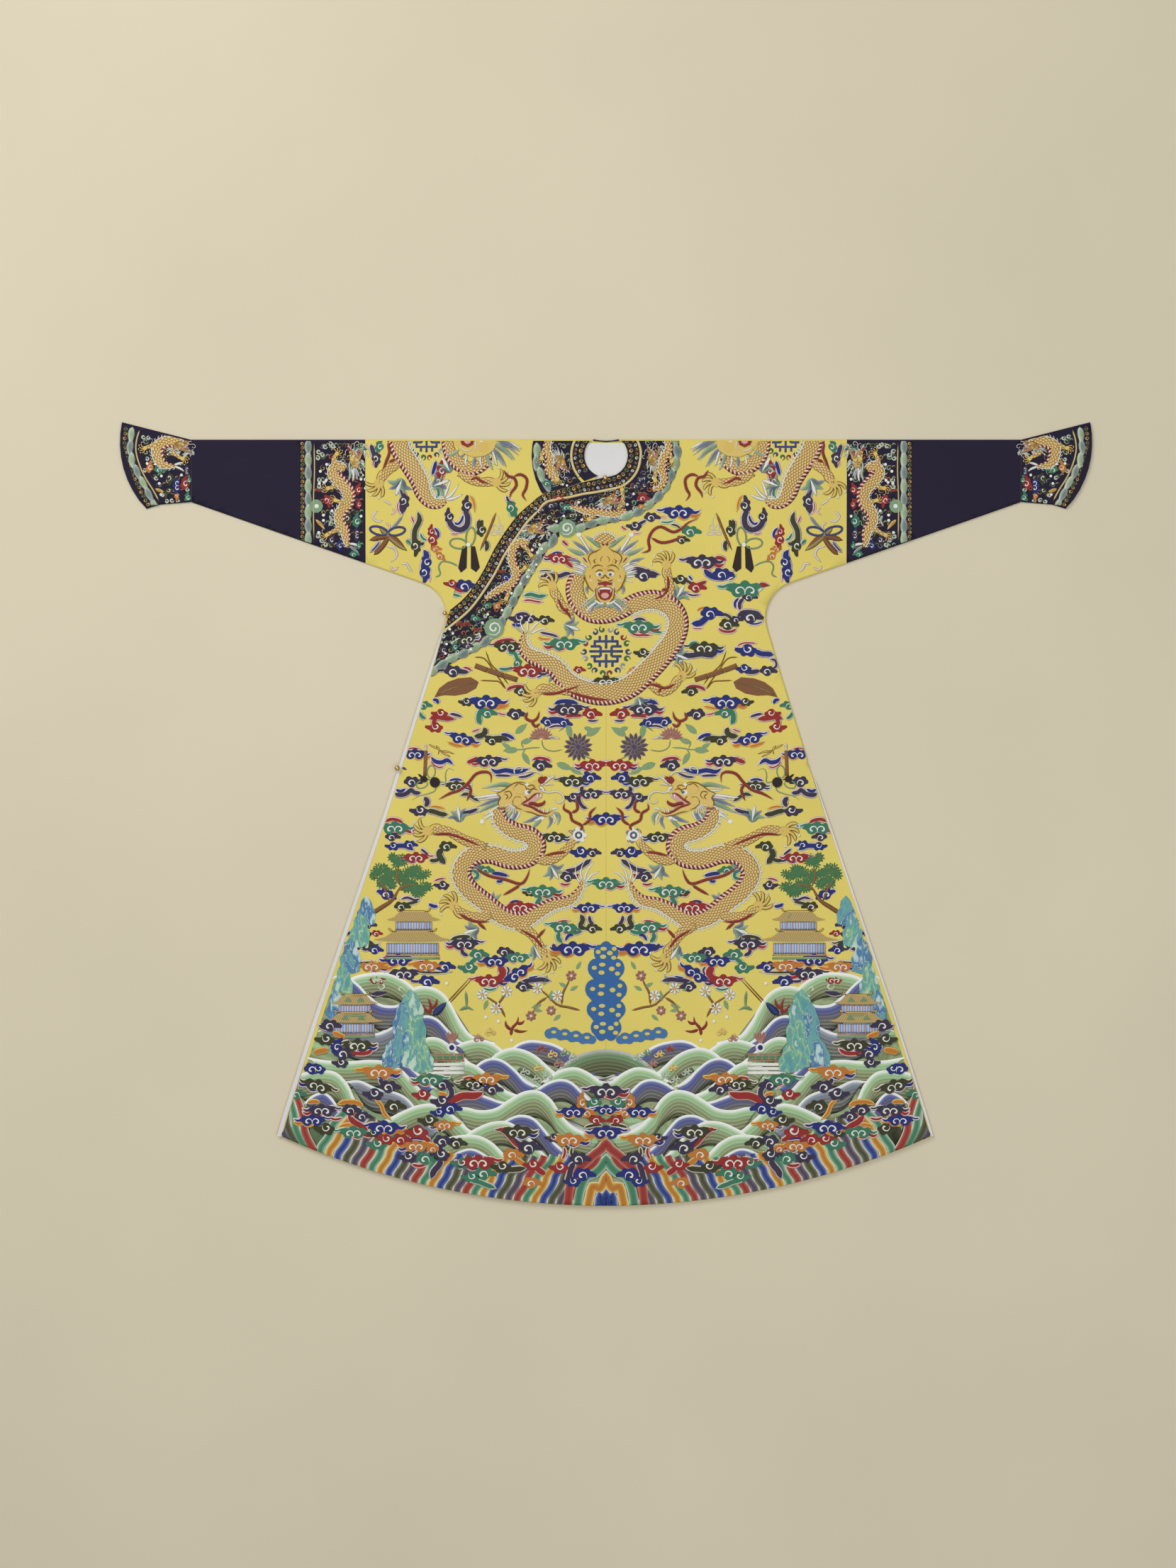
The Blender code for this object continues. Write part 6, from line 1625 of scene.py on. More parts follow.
# The collar's free edge and how the trim runs beside it: x, y, outward x, outward y, scroll
# band's width and whole width, in cm, from the left shoulder round the neck to the side
COLLAR_LINE = [(4.1 * math.cos(math.radians(a)), 67.9 + 4.1 * math.sin(math.radians(a)),
    math.cos(math.radians(a)), math.sin(math.radians(a)), band, whole) for a, band, whole in
    ((40, 2.25, 10.3), (20, 2.25, 10.2), (0, 2.25, 9.9), (-30, 2.25, 9.3), (-60, 2.25, 8.8),
    (-90, 2.25, 8.85))]
COLLAR_LINE += [(-2.55, 63.25, 0.16, -0.99, 2.15, 8.65), (-5, 62.65, 0.30, -0.95, 1.95, 8.8),
    (-7.4, 61.75, 0.30, -0.95, 1.6, 8.6), (-11.8, 60.7, 0.385, -0.923, 1.5, 7.9),
    (-14, 59, 0.60, -0.80, 1.75, 8.2), (-16.5, 56.85, 0.725, -0.688, 2, 8.4),
    (-18.7, 54.05, 0.819, -0.574, 2.15, 8.6), (-21.2, 50.15, 0.869, -0.495, 2.05, 8.7),
    (-23, 46.5, 0.875, -0.483, 1.95, 8.4), (-25.2, 42.9, 0.813, -0.582, 1.85, 8.7),
    (-27.4, 40.35, 0.689, -0.725, 2.05, 9.4), (-30.2, 38.15, 0.616, -0.788, 2.25, 9.2),
    (-33.6, 35.5, 0.625, -0.780, 2.25, 8.3), (-37, 32.7, 0.636, -0.772, 2.25, 7.8)]
RIGHT_COLLAR_LINE = [(4.1 * math.cos(math.radians(a)), 67.9 + 4.1 * math.sin(math.radians(a)),
                      math.cos(math.radians(a)), math.sin(math.radians(a)), 2.25, 10.0)
                     for a in (140, 160, 180, 200, 218)]


def beside(line, off, steps=6):
    """Path beside a trim's edge: off is cm from it, or a function of its row."""
    path = []
    for row in smooth_line(line, steps):
        away = off(row) if callable(off) else off
        path.append((row[0] + row[2] * away, row[1] + row[3] * away))
    return path


def walk(path, step, start=0.0):
    """Points at equal steps along a path, with the way it heads, in degrees."""
    gone, due, found = 0.0, start, []
    for (x0, y0), (x1, y1) in zip(path, path[1:]):
        run = math.hypot(x1 - x0, y1 - y0)
        while run and due <= gone + run:
            t = (due - gone) / run
            found.append((x0 + (x1 - x0) * t, y0 + (y1 - y0) * t,
                          math.degrees(math.atan2(y1 - y0, x1 - x0))))
            due += step
        gone += run
    return found


def scrollwork(bm, path, size, step):
    """Row of interlocked scrolls along a band."""
    for k, (x, y, heading) in enumerate(walk(path, step, step / 2)):
        colour = ("moss", "tan", "gilt")[k % 3]
        turn = 1 if k % 2 else -1
        side = math.radians(heading + 90)
        cx, cy = x + turn * 0.22 * size * math.cos(side), y + turn * 0.22 * size * math.sin(side)
        curl(bm, cx, cy, size, turn, heading + 160 * turn, colour, 0.0, 1.25, 1.15)
        dot(bm, "tan" if k % 3 else "sage", x - turn * 0.62 * size * math.cos(side),
            y - turn * 0.62 * size * math.sin(side), 0.22 * size, 0.02)


def leaves(bm, path, step=2.1, half=0.72, base=0.0, bulge=0.25):
    """Edge of overlapping wave leaves, green and slate by turns."""
    points = walk(path, step)
    for k, (a, b) in enumerate(zip(points, points[1:] + [None])):
        heading = math.radians(a[2])
        reach = step * 1.45
        nx, ny = -math.sin(heading) * bulge, math.cos(heading) * bulge
        strand(bm, "dark_leaf" if k % 2 else "leaf", half, (a[0], a[1]),
               (a[0] + 0.5 * reach * math.cos(heading) + nx,
                a[1] + 0.5 * reach * math.sin(heading) + ny),
               (a[0] + reach * math.cos(heading), a[1] + reach * math.sin(heading)),
               base=base + 0.01 * (k % 3), start=0.5, end=0.7, height=0.06)


def snail(bm, x, y, radius):
    """Large curling wave crest."""
    dot(bm, "leaf", x, y, radius, 0.05, 0.06)
    curl(bm, x, y, radius * 0.8, 1, 200, "white", 0.1, 1.6, 0.55)


def little_dragon(bm, spine, belly, legs, head, flip=1):
    """Dragon of the bands: a thin coil, open claws and a small head (x, y, size, angle)."""
    coil(bm, spine, belly, 0.02, True, 0.09, 0.55, 0.45, 4)
    for points in legs:
        limb(bm, points, 0.52, 0.42, 0.02)
    x, y, size, angle = head
    side_head(bm, lambda points: placed(points, x, y, size, angle, flip), 0.07, size)


def billows(bm, path, away):
    """Ground of small curls and pale leaves between the larger motifs."""
    for k, (x, y, heading) in enumerate(path):
        side = math.radians(heading + 90)
        for j, off in enumerate(away):
            cx, cy = x + off * math.cos(side), y + off * math.sin(side)
            pick = (3 * k + 5 * j) % 7
            colour = ("sage", "tan", "moss", "sage", "russet", "smoke", "tan")[pick]
            curl(bm, cx, cy, 0.6, 1 if (k + j) % 2 else -1, 53 * (k + 2 * j), colour, 0.0,
                 1.15, 0.8)
            strand(bm, ("sage", "tan", "moss")[(k + j) % 3], 0.16, (cx + 0.5, cy + 0.1),
                   (cx + 0.9, cy + 0.5), (cx + 1.3, cy + 0.2), base=0.0)


def bat(bm, x, y, size):
    for side in (1, -1):
        strand(bm, "flame", 0.36 * size, (x, y), (x + side * 0.7 * size, y + 0.3 * size),
               (x + side * 1.3 * size, y - 0.2 * size), start=0.3)
    dot(bm, "flame", x, y, 0.34 * size, 0.06)


def jade_curl(bm, x, y, size, k, step, side=1):
    """One of the small curls between the motifs, turned k steps."""
    curl(bm, side * x, y, size, side * (1 if k % 2 else -1), step * k, "jade", 0.03, 1.1, 1.2)


def pearls(bm, places, radius=0.22):
    for x, y in places:
        dot(bm, "white", x, y, radius, 0.02, 0.07)


# The field: two dragons beside the neck, one below it, one down the lapel
bm = new_stitching()
leaves(bm, beside(COLLAR_LINE[1:], lambda row: row[5] - 0.95), 2.3, 1.0)
billows(bm, walk(beside(COLLAR_LINE[1:], lambda row: 0.5 * (row[4] + row[5])), 1.9, 0.6),
        (-2.0, -0.7, 0.7, 2.0))
snail(bm, -7.4, 54.1, 1.75)
snail(bm, -21.2, 35.2, 1.9)
little_dragon(bm, ((11.6, 71, 0.55), (11.8, 69, 0.65), (10.8, 67.2, 0.7), (10.6, 65.2, 0.7),
    (11, 63.4, 0.6), (10.2, 61.8, 0.5), (8.8, 61.4, 0.3)), 1,
    (((10.6, 66.2), (9.4, 64.6), (9.3, 63.2)), ((11.4, 69.4), (12.2, 68), (12.4, 66.8))),
    (8.6, 67.4, 0.34, 80))
little_dragon(bm, ((-14.6, 51.2, 0.5), (-16.2, 51.6, 0.6), (-17.6, 50.2, 0.68), (-17.8, 47.8, 0.7),
    (-17, 45.6, 0.72), (-18, 43.6, 0.7), (-20, 42.6, 0.65), (-21.6, 41.6, 0.5),
    (-22.8, 40.6, 0.3)), 1, (((-16.6, 51.4), (-15, 50.2), (-14.2, 49)),
    ((-17.2, 46.4), (-16, 46), (-15.4, 46.6)), ((-18.2, 43.6), (-18.4, 42), (-18.9, 40.8))),
    (-13.6, 54.2, 0.36, 10))
little_dragon(bm, ((3.8, 57.6, 0.35), (2.2, 56.8, 0.55), (0.2, 56.9, 0.62), (-2, 57.2, 0.64),
    (-4, 57.4, 0.6), (-5.6, 57.9, 0.45), (-6.8, 58.2, 0.25)), -1,
    (((2.2, 57.4), (3.2, 59.6), (3, 61.4)), ((-2.4, 56.8), (-3, 55.9), (-3.2, 55.8))),
    (0.6, 59.5, 0.34, 20))
cloud_heads(bm, {
    "ruyi": {
        "teal": ((-7.2, 58, 0.55), (-15, 53, 0.45, 20)),
        "olive": ((-6.2, 56.6, 0.5, 8), (-23.6, 38.6, 0.5, 30), (-26.4, 33, 0.75, 20)),
        "plum": ((6.8, 63.4, 0.42, 20), (-12.4, 57.4, 0.4, 30)),
    },
    "single": {
        "plum": ((-10.4, 58.4, 0.55), (5.6, 62, 0.5), (7.2, 62.2, 0.42, 90), (-26.2, 31.8, 0.5),
            (-30.8, 31, 0.55, 70)),
        "olive": ((-10.8, 56.2, 0.55, 20), (1.8, 58.4, 0.4), (11.8, 65.4, 0.4, 90),
            (-16.4, 49.2, 0.5, -70)),
        "red": ((-9, 59.8, 0.5), (1.9, 59.4, 0.55), (6.9, 59.8, 0.62)),
        "teal": ((12.3, 70, 0.42, 90), (-22.6, 39.4, 0.5, 20), (-24.8, 37, 0.5),
            (-28.6, 31.6, 0.5, 90)),
        "orange": ((6.7, 58.2, 0.4), (-20.6, 39.4, 0.5, 40)),
        "blue": ((-19, 44.8, 0.5),),
    },
})
for x, y, size in ((-27, 35.8, 1.1), (-24.4, 34.8, 0.8), (-19.9, 45.8, 0.8), (-18.4, 51.4, 0.5),
        (6.9, 60.6, 0.6), (-8.2, 59.6, 0.8)):
    bat(bm, x, y, size)
pearls(bm, ((-8, 56.4), (-9.4, 55.4), (-4.6, 55.7), (-12.6, 51), (-13, 49.5), (-12.2, 50.2),
    (4, 58.6), (-17.9, 41.8), (-19.7, 38.6), (-23.4, 36.2), (-29, 34.2), (-29.6, 35),
    (-30.2, 32.2), (-30.4, 30.4), (-13.2, 47.2), (-14.6, 46.2), (-14.9, 44.9), (-16.2, 43.6),
    (-5.2, 59), (8.9, 63.6), (5.2, 60.6), (-14, 50), (-25.6, 31.2), (-22.4, 37.8)), 0.26)
for x, y, k in ((-13.9, 46, 0), (-14.6, 45, 1), (-13.6, 50.9, 2), (-30.6, 34.8, 0),
        (-31.2, 32.6, 1), (-30.8, 33.6, 2), (-5.6, 58.6, 1), (4.8, 57.2, 0), (5.4, 57.8, 1),
        (-29.6, 30, 0), (-28.2, 30.6, 2), (-22.8, 37.4, 1), (-18.2, 39.4, 0)):
    jade_curl(bm, x, y, 0.42, k, 60)
sew_on(bm, "lapel_embroidery", COLLAR_OVER)

bm = new_stitching()
leaves(bm, [(-13.2, 70.4), (-13.3, 67.6), (-12.7, 65), (-11.4, 62.2)], 2.3, 0.95)
billows(bm, walk([(-9.6, 70.2), (-9.8, 67.4), (-9.2, 65), (-8.4, 62.6)], 1.8, 0.5),
    (-1.6, 0.0, 1.6))
little_dragon(bm, ((-10.8, 71, 0.55), (-11.2, 69, 0.68), (-10.6, 67.2, 0.7), (-10.8, 65.2, 0.68),
    (-10, 63.6, 0.5), (-9.4, 62.8, 0.3)), -1, (((-10.6, 66.2), (-9.4, 64.6), (-9.2, 63.4)),
    ((-11, 69.2), (-12, 68.4), (-12.2, 67.4))), (-8.4, 66.6, 0.34, -80), 1)
ruyi(bm, "olive", -12.0, 67.6, 0.42, 90, 0.02)
single(bm, "plum", -7.6, 63.6, 0.45, 0, 1, 0.02)
single(bm, "teal", -11.2, 62.6, 0.5, 0, 1, 0.02)
pearls(bm, ((-11.4, 64.8), (-7.4, 62.2), (-11.8, 66.2), (-8.2, 62.4)))
sew_on(bm, "right_collar_embroidery", COLLAR_OVER)

# The scroll bands
for name, line in (("lapel_scrolls", COLLAR_LINE), ("neck_scrolls_right", RIGHT_COLLAR_LINE)):
    bm = new_stitching()
    scrollwork(bm, beside(line, lambda row: row[4] * 0.32), 0.46, 0.98)
    for k, (x, y, heading) in enumerate(walk(beside(line, lambda row: row[4] * 0.78), 0.85, 0.4)):
        curl(bm, x, y, 0.34, 1 if k % 2 else -1, heading + 90 * k, ("tan", "gilt", "jade")[k % 3],
             0.0, 1.1, 1.1)
    sew_on(bm, name, COLLAR_OVER)

# The cords
for name, node, line in (("lapel_cord_silk", "lapel_cord", COLLAR_LINE),
                         ("collar_cord_silk", "collar_cord", RIGHT_COLLAR_LINE)):
    bm = new_stitching()
    path = beside(line, lambda row: row[4] + 0.22, 8)
    ribbon(bm, [(x, y, 0.27) for x, y in path], "cord", -0.05, 0.17,
        (-1.0, -0.8, -0.45, 0.0, 0.45, 0.8, 1.0))
    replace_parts(sew_on(bm, name, COLLAR_OVER), node)

# ---------------------------------------------------------------------------------------------
# Bands on the sleeves and the horseshoe cuffs: scroll edge, wave leaves, a gold line and a field
# with one dragon among clouds and pearls on each.
# ---------------------------------------------------------------------------------------------
for side, name in SIDES:
    bm = new_stitching()

    def band(points):
        return mirrored(points, side)

    billows(bm, walk(band(((-50.4, 50.2), (-50.4, 60.0), (-50.4, 70.0))), 2.1, 0.6),
            (-3.2, -1.6, 0.0, 1.6, 3.2))
    scrollwork(bm, band(((-57.5, 51.3), (-57.5, 60.0), (-57.5, 70.4))), 0.40, 0.80)
    leaves(bm, band(((-56.3, 50.4), (-56.3, 60.0), (-56.3, 71.0))), 2.5, 0.85, 0.0, 0.12 * side)
    strand(bm, "cord", 0.15, *band(((-55.3, 51.2), (-55.4, 59), (-55.2, 65), (-55.3, 70.4))),
        start=0.05, end=0.05)
    little_dragon(bm, band(((-49.4, 65.2, 0.7), (-50.8, 66, 0.9), (-51.8, 64.6, 1),
        (-50.4, 62.9, 1.05), (-48.9, 61, 1.05), (-49, 58.9, 1), (-50.3, 57.2, 0.95),
        (-50.5, 55.4, 0.9), (-49.5, 53.6, 0.8), (-49.2, 51.8, 0.6), (-48.8, 50.6, 0.3))), side,
        [band(points) for points in (((-51.4, 65.6), (-51.6, 67), (-51, 68.2)),
        ((-50.8, 62.8), (-51.8, 61.9), (-52.6, 61.7)),
        ((-49.8, 58.8), (-50.6, 59.2), (-51.2, 59.4)),
        ((-50.4, 54.2), (-51.8, 53.4), (-52.9, 52.8)))],
        (side * -47.8, 67.2, 0.40, 180 - 96 * side), side)
    strands(bm, 0.30, (("jade", -48.6, 65.6, -48.4, 64.4, -48.8, 63),
        ("white", -48.2, 65.4, -47.8, 64.2, -48, 62.8),
        ("mist", -47.6, 65.4, -47.2, 64.4, -47.2, 63.2),
        ("jade", -50.6, 63.4, -51.6, 62.8, -51.8, 61.2),
        ("mist", -48.6, 50.8, -47.6, 50, -46.8, 49.4),
        ("white", -48.8, 51.2, -47.4, 51, -46.4, 50.4),
        ("jade", -52.4, 56.6, -52, 55.6, -52.6, 54.4)), side)
    cloud_heads(bm, {
        "ruyi": {
            "plum": ((-47.2, 52.9, 0.5, 90),),
            "teal": ((-46.6, 69, 0.5),),
        },
        "single": {
            "teal": ((-47.2, 55.4, 0.7, 90), (-47.8, 49.2, 0.5), (-46.8, 50.8, 0.4, 90)),
            "olive": ((-48.9, 56, 0.6, -90), (-46.6, 65.6, 0.5, 90)),
            "red": ((-46.9, 61.4, 0.6, 80), (-46.8, 58.6, 0.5, 90), (-52.8, 59.4, 0.65, -70)),
            "plum": ((-52, 51.9, 0.55, 90),),
            "blue": ((-50.4, 50.8, 0.5, 90),),
        },
    }, side)
    for x, y, k in ((-54.4, 68.6, 0), (-53.6, 68, 1), (-54.6, 67.4, 2), (-53.2, 69.6, 0),
            (-54.2, 63.2, 1), (-54.4, 62, 2), (-53.8, 51.8, 0), (-53, 51, 1), (-54.6, 52.6, 2),
            (-52.2, 70, 2), (-51.6, 69.6, 1)):
        jade_curl(bm, x, y, 0.5, k, 70, side)
    pearls(bm, band(((-54.1, 64.9), (-54.3, 62.6), (-53.4, 62.8), (-53, 63.2), (-53.5, 56.6),
        (-53.5, 55.6), (-54.4, 53.3), (-46.4, 56.4), (-46.4, 63.4), (-51.9, 57.4), (-52.9, 66.2))),
        0.28)
    dot(bm, "leaf", side * -54.9, 58.3, 1.3, 0.0)
    dot(bm, "white", side * -54.8, 58.3, 0.42, 0.06)
    strand(bm, "orange", 0.34, *band(((-55.0, 55.8), (-54.0, 54.8), (-53.2, 53.8))), start=0.3)
    bat(bm, side * -54.4, 61.2, 0.7)
    sew_on(bm, "sleeve_band_embroidery_" + name)

    bm = new_stitching()
    edge = ((-90.9, 73.4), (-91.2, 70.4), (-91, 67.6), (-90, 64.8), (-88.6, 62.2), (-87.2, 59.4),
        (-86.6, 58.3))
    billows(bm, walk(band(((-85.6, 71), (-85.4, 67), (-83.4, 63.6), (-82, 60.4))), 2.1, 0.3),
        (-1.6, 0.2, 2.0) if side > 0 else (1.6, -0.2, -2.0))
    scrollwork(bm, band(edge), 0.42, 0.9)
    leaves(bm, band([(x + 1.25, y + 0.1) for x, y in edge]), 2.4, 0.8, 0.0, -0.12 * side)
    strand(bm, "cord", 0.18, *band(((-88.3, 72.8), (-88.9, 70.8), (-89, 68.6), (-88.3, 66),
        (-87.2, 63.6), (-85.8, 61.4), (-84.6, 59.2))), start=0.05, end=0.05)
    little_dragon(bm, band(((-79.9, 69.8, 0.7), (-81.4, 70.4, 0.9), (-83.2, 70.6, 0.95),
        (-84.9, 69.6, 1), (-84.9, 67.6, 0.95), (-84, 66.2, 0.75), (-82.6, 65.9, 0.45),
        (-81.6, 65.9, 0.2))), side, [band(points) for points in
        (((-85.2, 70.2), (-86.4, 69.6), (-87.3, 69.3)),
        ((-82.4, 68.6), (-81.4, 68), (-80.2, 67.3)))], (side * -80.6, 69.9, 0.34, 0), side)
    strands(bm, 0.26, (("white", -82, 65.9, -80.6, 65.4, -79.8, 64.8),
        ("white", -82, 66, -80.8, 66.4, -79.8, 66.6),
        ("jade", -80.2, 69.4, -79.6, 68.4, -80.2, 67.4),
        ("mist", -79.6, 69.6, -79, 68.8, -78.9, 67.9),
        ("jade", -85.4, 68.8, -86, 68.2, -85.4, 67)), side)
    cloud_heads(bm, {
        "ruyi": {
            "blue": ((-81.3, 62.2, 0.62, 90),),
            "plum": ((-79.4, 65, 0.42, 90),),
        },
        "single": {
            "teal": ((-84.6, 65.2, 0.62), (-79, 63.2, 0.45, 90), (-79.2, 59.9, 0.55, 90)),
            "olive": ((-82.6, 63.6, 0.6, -90), (-82.8, 61.2, 0.5, 200)),
            "orange": ((-81.3, 60.2, 0.42, -90), (-86.4, 65.6, 0.62, 80)),
            "red": ((-79.7, 62.6, 0.72, 80),),
        },
    }, side)
    for x, y, k in ((-87.6, 71.4, 0), (-86.6, 71.2, 1), (-83.2, 59.2, 2), (-82.2, 59.4, 0),
            (-81, 59.3, 1), (-87.4, 65, 2), (-85.2, 63.6, 0), (-83.9, 60.4, 1), (-79.2, 61.4, 1),
            (-86.9, 67.2, 2)):
        jade_curl(bm, x, y, 0.44, k, 70, side)
    pearls(bm, band(((-84.6, 62.6), (-84.3, 60.5), (-85.3, 66.3), (-86.9, 66.4), (-84.2, 64),
        (-80.4, 64.2))), 0.26)
    strand(bm, "orange", 0.34, *band(((-85.4, 61.6), (-84.4, 61.2), (-83.4, 60.8))), start=0.3)
    sew_on(bm, "cuff_embroidery_" + name)

# ---------------------------------------------------------------------------------------------
# Closures: three small gilt ball buttons, chased in lobes, each on a ring that stands for its
# braided shank.
# ---------------------------------------------------------------------------------------------
gilt_metal, tree, shader, place = new_material("gilt_brass", (0.62, 0.42, 0.16), 0.32)
shader.inputs["Metallic"].default_value = 1.0
chased = add_node(tree, "ShaderNodeTexVoronoi", {"Vector": place, "Scale": 900.0})
bumped(tree, shader, chased.outputs["Distance"], 0.3, 0.0002)
for name, x, y, radius in (("button_neck", -0.0015, 0.6360, 0.0045),
        ("button_armpit", -0.3050, 0.3800, 0.0040), ("button_side", -0.3950, 0.0870, 0.0050)):
    low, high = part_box(name)
    middle = 0.5 * (low + high)
    middle.z += swell(x, y) + 0.0006
    bm = bmesh.new()
    bmesh.ops.create_uvsphere(bm, u_segments=28, v_segments=18, radius=radius)
    for v in bm.verts:
        lobe = 1.0 + 0.045 * abs(math.cos(4.0 * math.atan2(v.co.y, v.co.x)))
        v.co.x *= lobe
        v.co.y *= lobe
    bmesh.ops.translate(bm, verts=bm.verts, vec=middle)
    ring = bmesh.ops.create_circle(bm, segments=10, radius=radius * 0.16, cap_ends=False)
    rim = ring["verts"]
    bmesh.ops.rotate(bm, verts=rim, cent=(0, 0, 0), matrix=Matrix.Rotation(math.pi / 2, 3, "X"))
    bmesh.ops.translate(bm, verts=rim, vec=middle + radius * Vector((0.55, 0.0, -0.75)))
    bmesh.ops.spin(bm, geom=rim + list({e for v in rim for e in v.link_edges}), cent=middle,
                   axis=(0, 0, 1), dvec=(0, 0, 0), angle=2 * math.pi, steps=24,
                   use_merge=True, use_normal_flip=False)
    bmesh.ops.recalc_face_normals(bm, faces=bm.faces[:])
    ball = new_object(name + "_gilt", mesh_of(bm, name + "_gilt", gilt_metal))
    ball.data.shade_smooth()
    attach(ball, "root")
    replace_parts(ball, name)

# ---------------------------------------------------------------------------------------------
# Roundels, flowers and tied emblems on the yellow silk. Each roundel is a plain fret of navy
# bars in a ring of small scrolls; the flowers and emblems stand between the clouds.
# ---------------------------------------------------------------------------------------------
THREADS["navy"] = floss("navy_floss", (0.0, 206, 190, 130), (0.05, 150, 150, 150),
    (0.10, 62, 74, 124), (0.4, 52, 62, 112))
THREADS["petal"] = floss("petal_floss", (0.0, 206, 194, 180), (0.06, 190, 176, 172),
    (0.14, 102, 86, 98), (0.4, 78, 64, 76))
THREADS["pink"] = floss("pink_floss", (0.0, 216, 190, 160), (0.06, 206, 170, 148),
    (0.16, 164, 108, 100), (0.4, 138, 84, 82))
THREADS["green"] = floss("leaf_green_floss", (0.0, 190, 200, 150), (0.06, 160, 182, 138),
    (0.2, 110, 142, 104), (0.5, 84, 120, 88))
THREADS["stem"] = floss("stem_floss", (0.0, 170, 188, 140), (0.12, 122, 152, 122))
THREADS["bark"] = floss("bark_floss", (0.0, 180, 140, 90), (0.06, 150, 108, 70),
    (0.3, 126, 86, 60))
THREADS["pine"] = floss("pine_floss", (0.0, 110, 150, 100), (0.1, 70, 116, 78), (0.5, 48, 92, 62))


def rock_thread(name, *stops):
    """Long stitches of blended blues and greens with pale veins running down a rock."""
    material, tree, shader, place = new_material(name, dyed(*stops[-1][1:]), 0.5)
    along, depth, _, vector = thread_parts(tree)
    stretch = add_node(tree, "ShaderNodeMapping", {"Vector": place, "Scale": (1.0, 0.42, 1.0)})
    strata = add_node(tree, "ShaderNodeTexNoise", {"Vector": stretch.outputs["Vector"],
                                                   "Scale": 58.0, "Detail": 3.0})
    edge = calc(tree, "MULTIPLY", calc(tree, "GREATER_THAN", 0.22, depth), 0.4)
    faded = calc(tree, "SUBTRACT", strata.outputs["Fac"], edge)
    colour = ramp_of(tree, faded, stops)
    stitched(tree, shader, colour, along, vector)
    return material


THREADS["peak"] = rock_thread("peak_floss", (0.20, 206, 220, 214), (0.34, 176, 204, 200),
    (0.40, 78, 128, 166), (0.47, 64, 110, 156), (0.485, 190, 204, 168), (0.50, 78, 134, 160),
    (0.58, 104, 164, 158), (0.68, 86, 142, 164))
THREADS["peak_teal"] = rock_thread("peak_teal_floss", (0.20, 200, 220, 196), (0.34, 176, 206, 182),
    (0.40, 86, 142, 160), (0.45, 108, 170, 150), (0.495, 116, 176, 146), (0.51, 204, 208, 150),
    (0.525, 108, 168, 146), (0.66, 84, 146, 150))
THREADS["holed_rock"] = floss("holed_rock_floss", (0.0, 206, 216, 214), (0.15, 196, 210, 216),
    (0.22, 76, 116, 162), (0.5, 56, 100, 156), contrast=0.05)
THREADS["rock_hole"] = floss("rock_hole_floss", (0.0, 212, 216, 196), (0.1, 206, 210, 180),
    (0.16, 204, 190, 96), (0.5, 206, 192, 98))
THREADS["tile"] = bar_thread("tile_bars", (190, 166, 106), (150, 122, 72), 0.34)
THREADS["pane"] = bar_thread("pane_bars", (176, 186, 208), (120, 140, 180), 0.5)
THREAD_NAMES = list(THREADS)
FRET_BARS = (((-2.7, 2.2), (2.7, 2.2)), ((-3.4, 1.1), (-1.2, 1.1)), ((1.2, 1.1), (3.4, 1.1)),
    ((-3.7, 0), (3.7, 0)), ((-3.4, -1.1), (-1.2, -1.1)), ((1.2, -1.1), (3.4, -1.1)),
    ((-2.7, -2.2), (2.7, -2.2)), ((0, 3.6), (0, 0.6)), ((0, -0.6), (0, -3.6)),
    ((-1.2, 1.1), (-1.2, -1.1)), ((1.2, 1.1), (1.2, -1.1)), ((-1.4, 3.4), (-1.4, 2.2)),
    ((1.4, 3.4), (1.4, 2.2)), ((-1.4, -3.4), (-1.4, -2.2)), ((1.4, -3.4), (1.4, -2.2)),
    ((-2.5, 2.2), (-2.5, 1.1)), ((2.5, 2.2), (2.5, 1.1)), ((-2.5, -2.2), (-2.5, -1.1)),
    ((2.5, -2.2), (2.5, -1.1)))


def bar(bm, colour, half, a, b, base=0.0, height=0.06):
    """Straight bar of stitches with square ends."""
    rows = [(a[0] + (b[0] - a[0]) * k / 4, a[1] + (b[1] - a[1]) * k / 4, half) for k in range(5)]
    ribbon(bm, rows, colour, base, height, (-1.0, -0.5, 0.0, 0.5, 1.0))


def loop(bm, colour, x, y, rx, ry, angle=0.0, half=0.16, base=0.02):
    """Bow's loop, open where it is tied at the near end."""
    points = [(rx * (1 - math.cos(t)), ry * math.sin(t)) for t in
              (2 * math.pi * k / 10 for k in range(11))]
    strand(bm, colour, half, *placed(points, x, y, 1.0, angle), base=base, start=0.05, end=0.05)


def roundel(bm, x, y, size):
    for (ax, ay), (bx, by) in FRET_BARS:
        bar(bm, "navy", 0.27 * size, (x + size * ax * 0.86, y + size * ay * 0.86),
            (x + size * bx * 0.86, y + size * by * 0.86), 0.0)
    for k in range(18):
        turn = 2 * math.pi * k / 18
        cx, cy = x + 4.2 * size * math.cos(turn), y + 4.2 * size * math.sin(turn)
        curl(bm, cx, cy, 0.66 * size, 1 if k % 2 else -1, math.degrees(turn),
             ("navy", "pine", "flame", "navy", "mist", "pine")[k % 6], 0.0, 0.95, 1.15)


def spray(bm, colour, x, y, count, inner, outer, half, first=0.0, sweep=360.0, base=0.02):
    """Ring or fan of petals."""
    for k in range(count):
        turn = math.radians(first + sweep * k / (count - 1 if sweep < 360 else count))
        c, s = math.cos(turn), math.sin(turn)
        strand(bm, colour, half, (x + inner * c, y + inner * s),
               (x + 0.5 * (inner + outer) * c, y + 0.5 * (inner + outer) * s),
               (x + outer * c, y + outer * s), base=base, start=0.5, end=0.35)


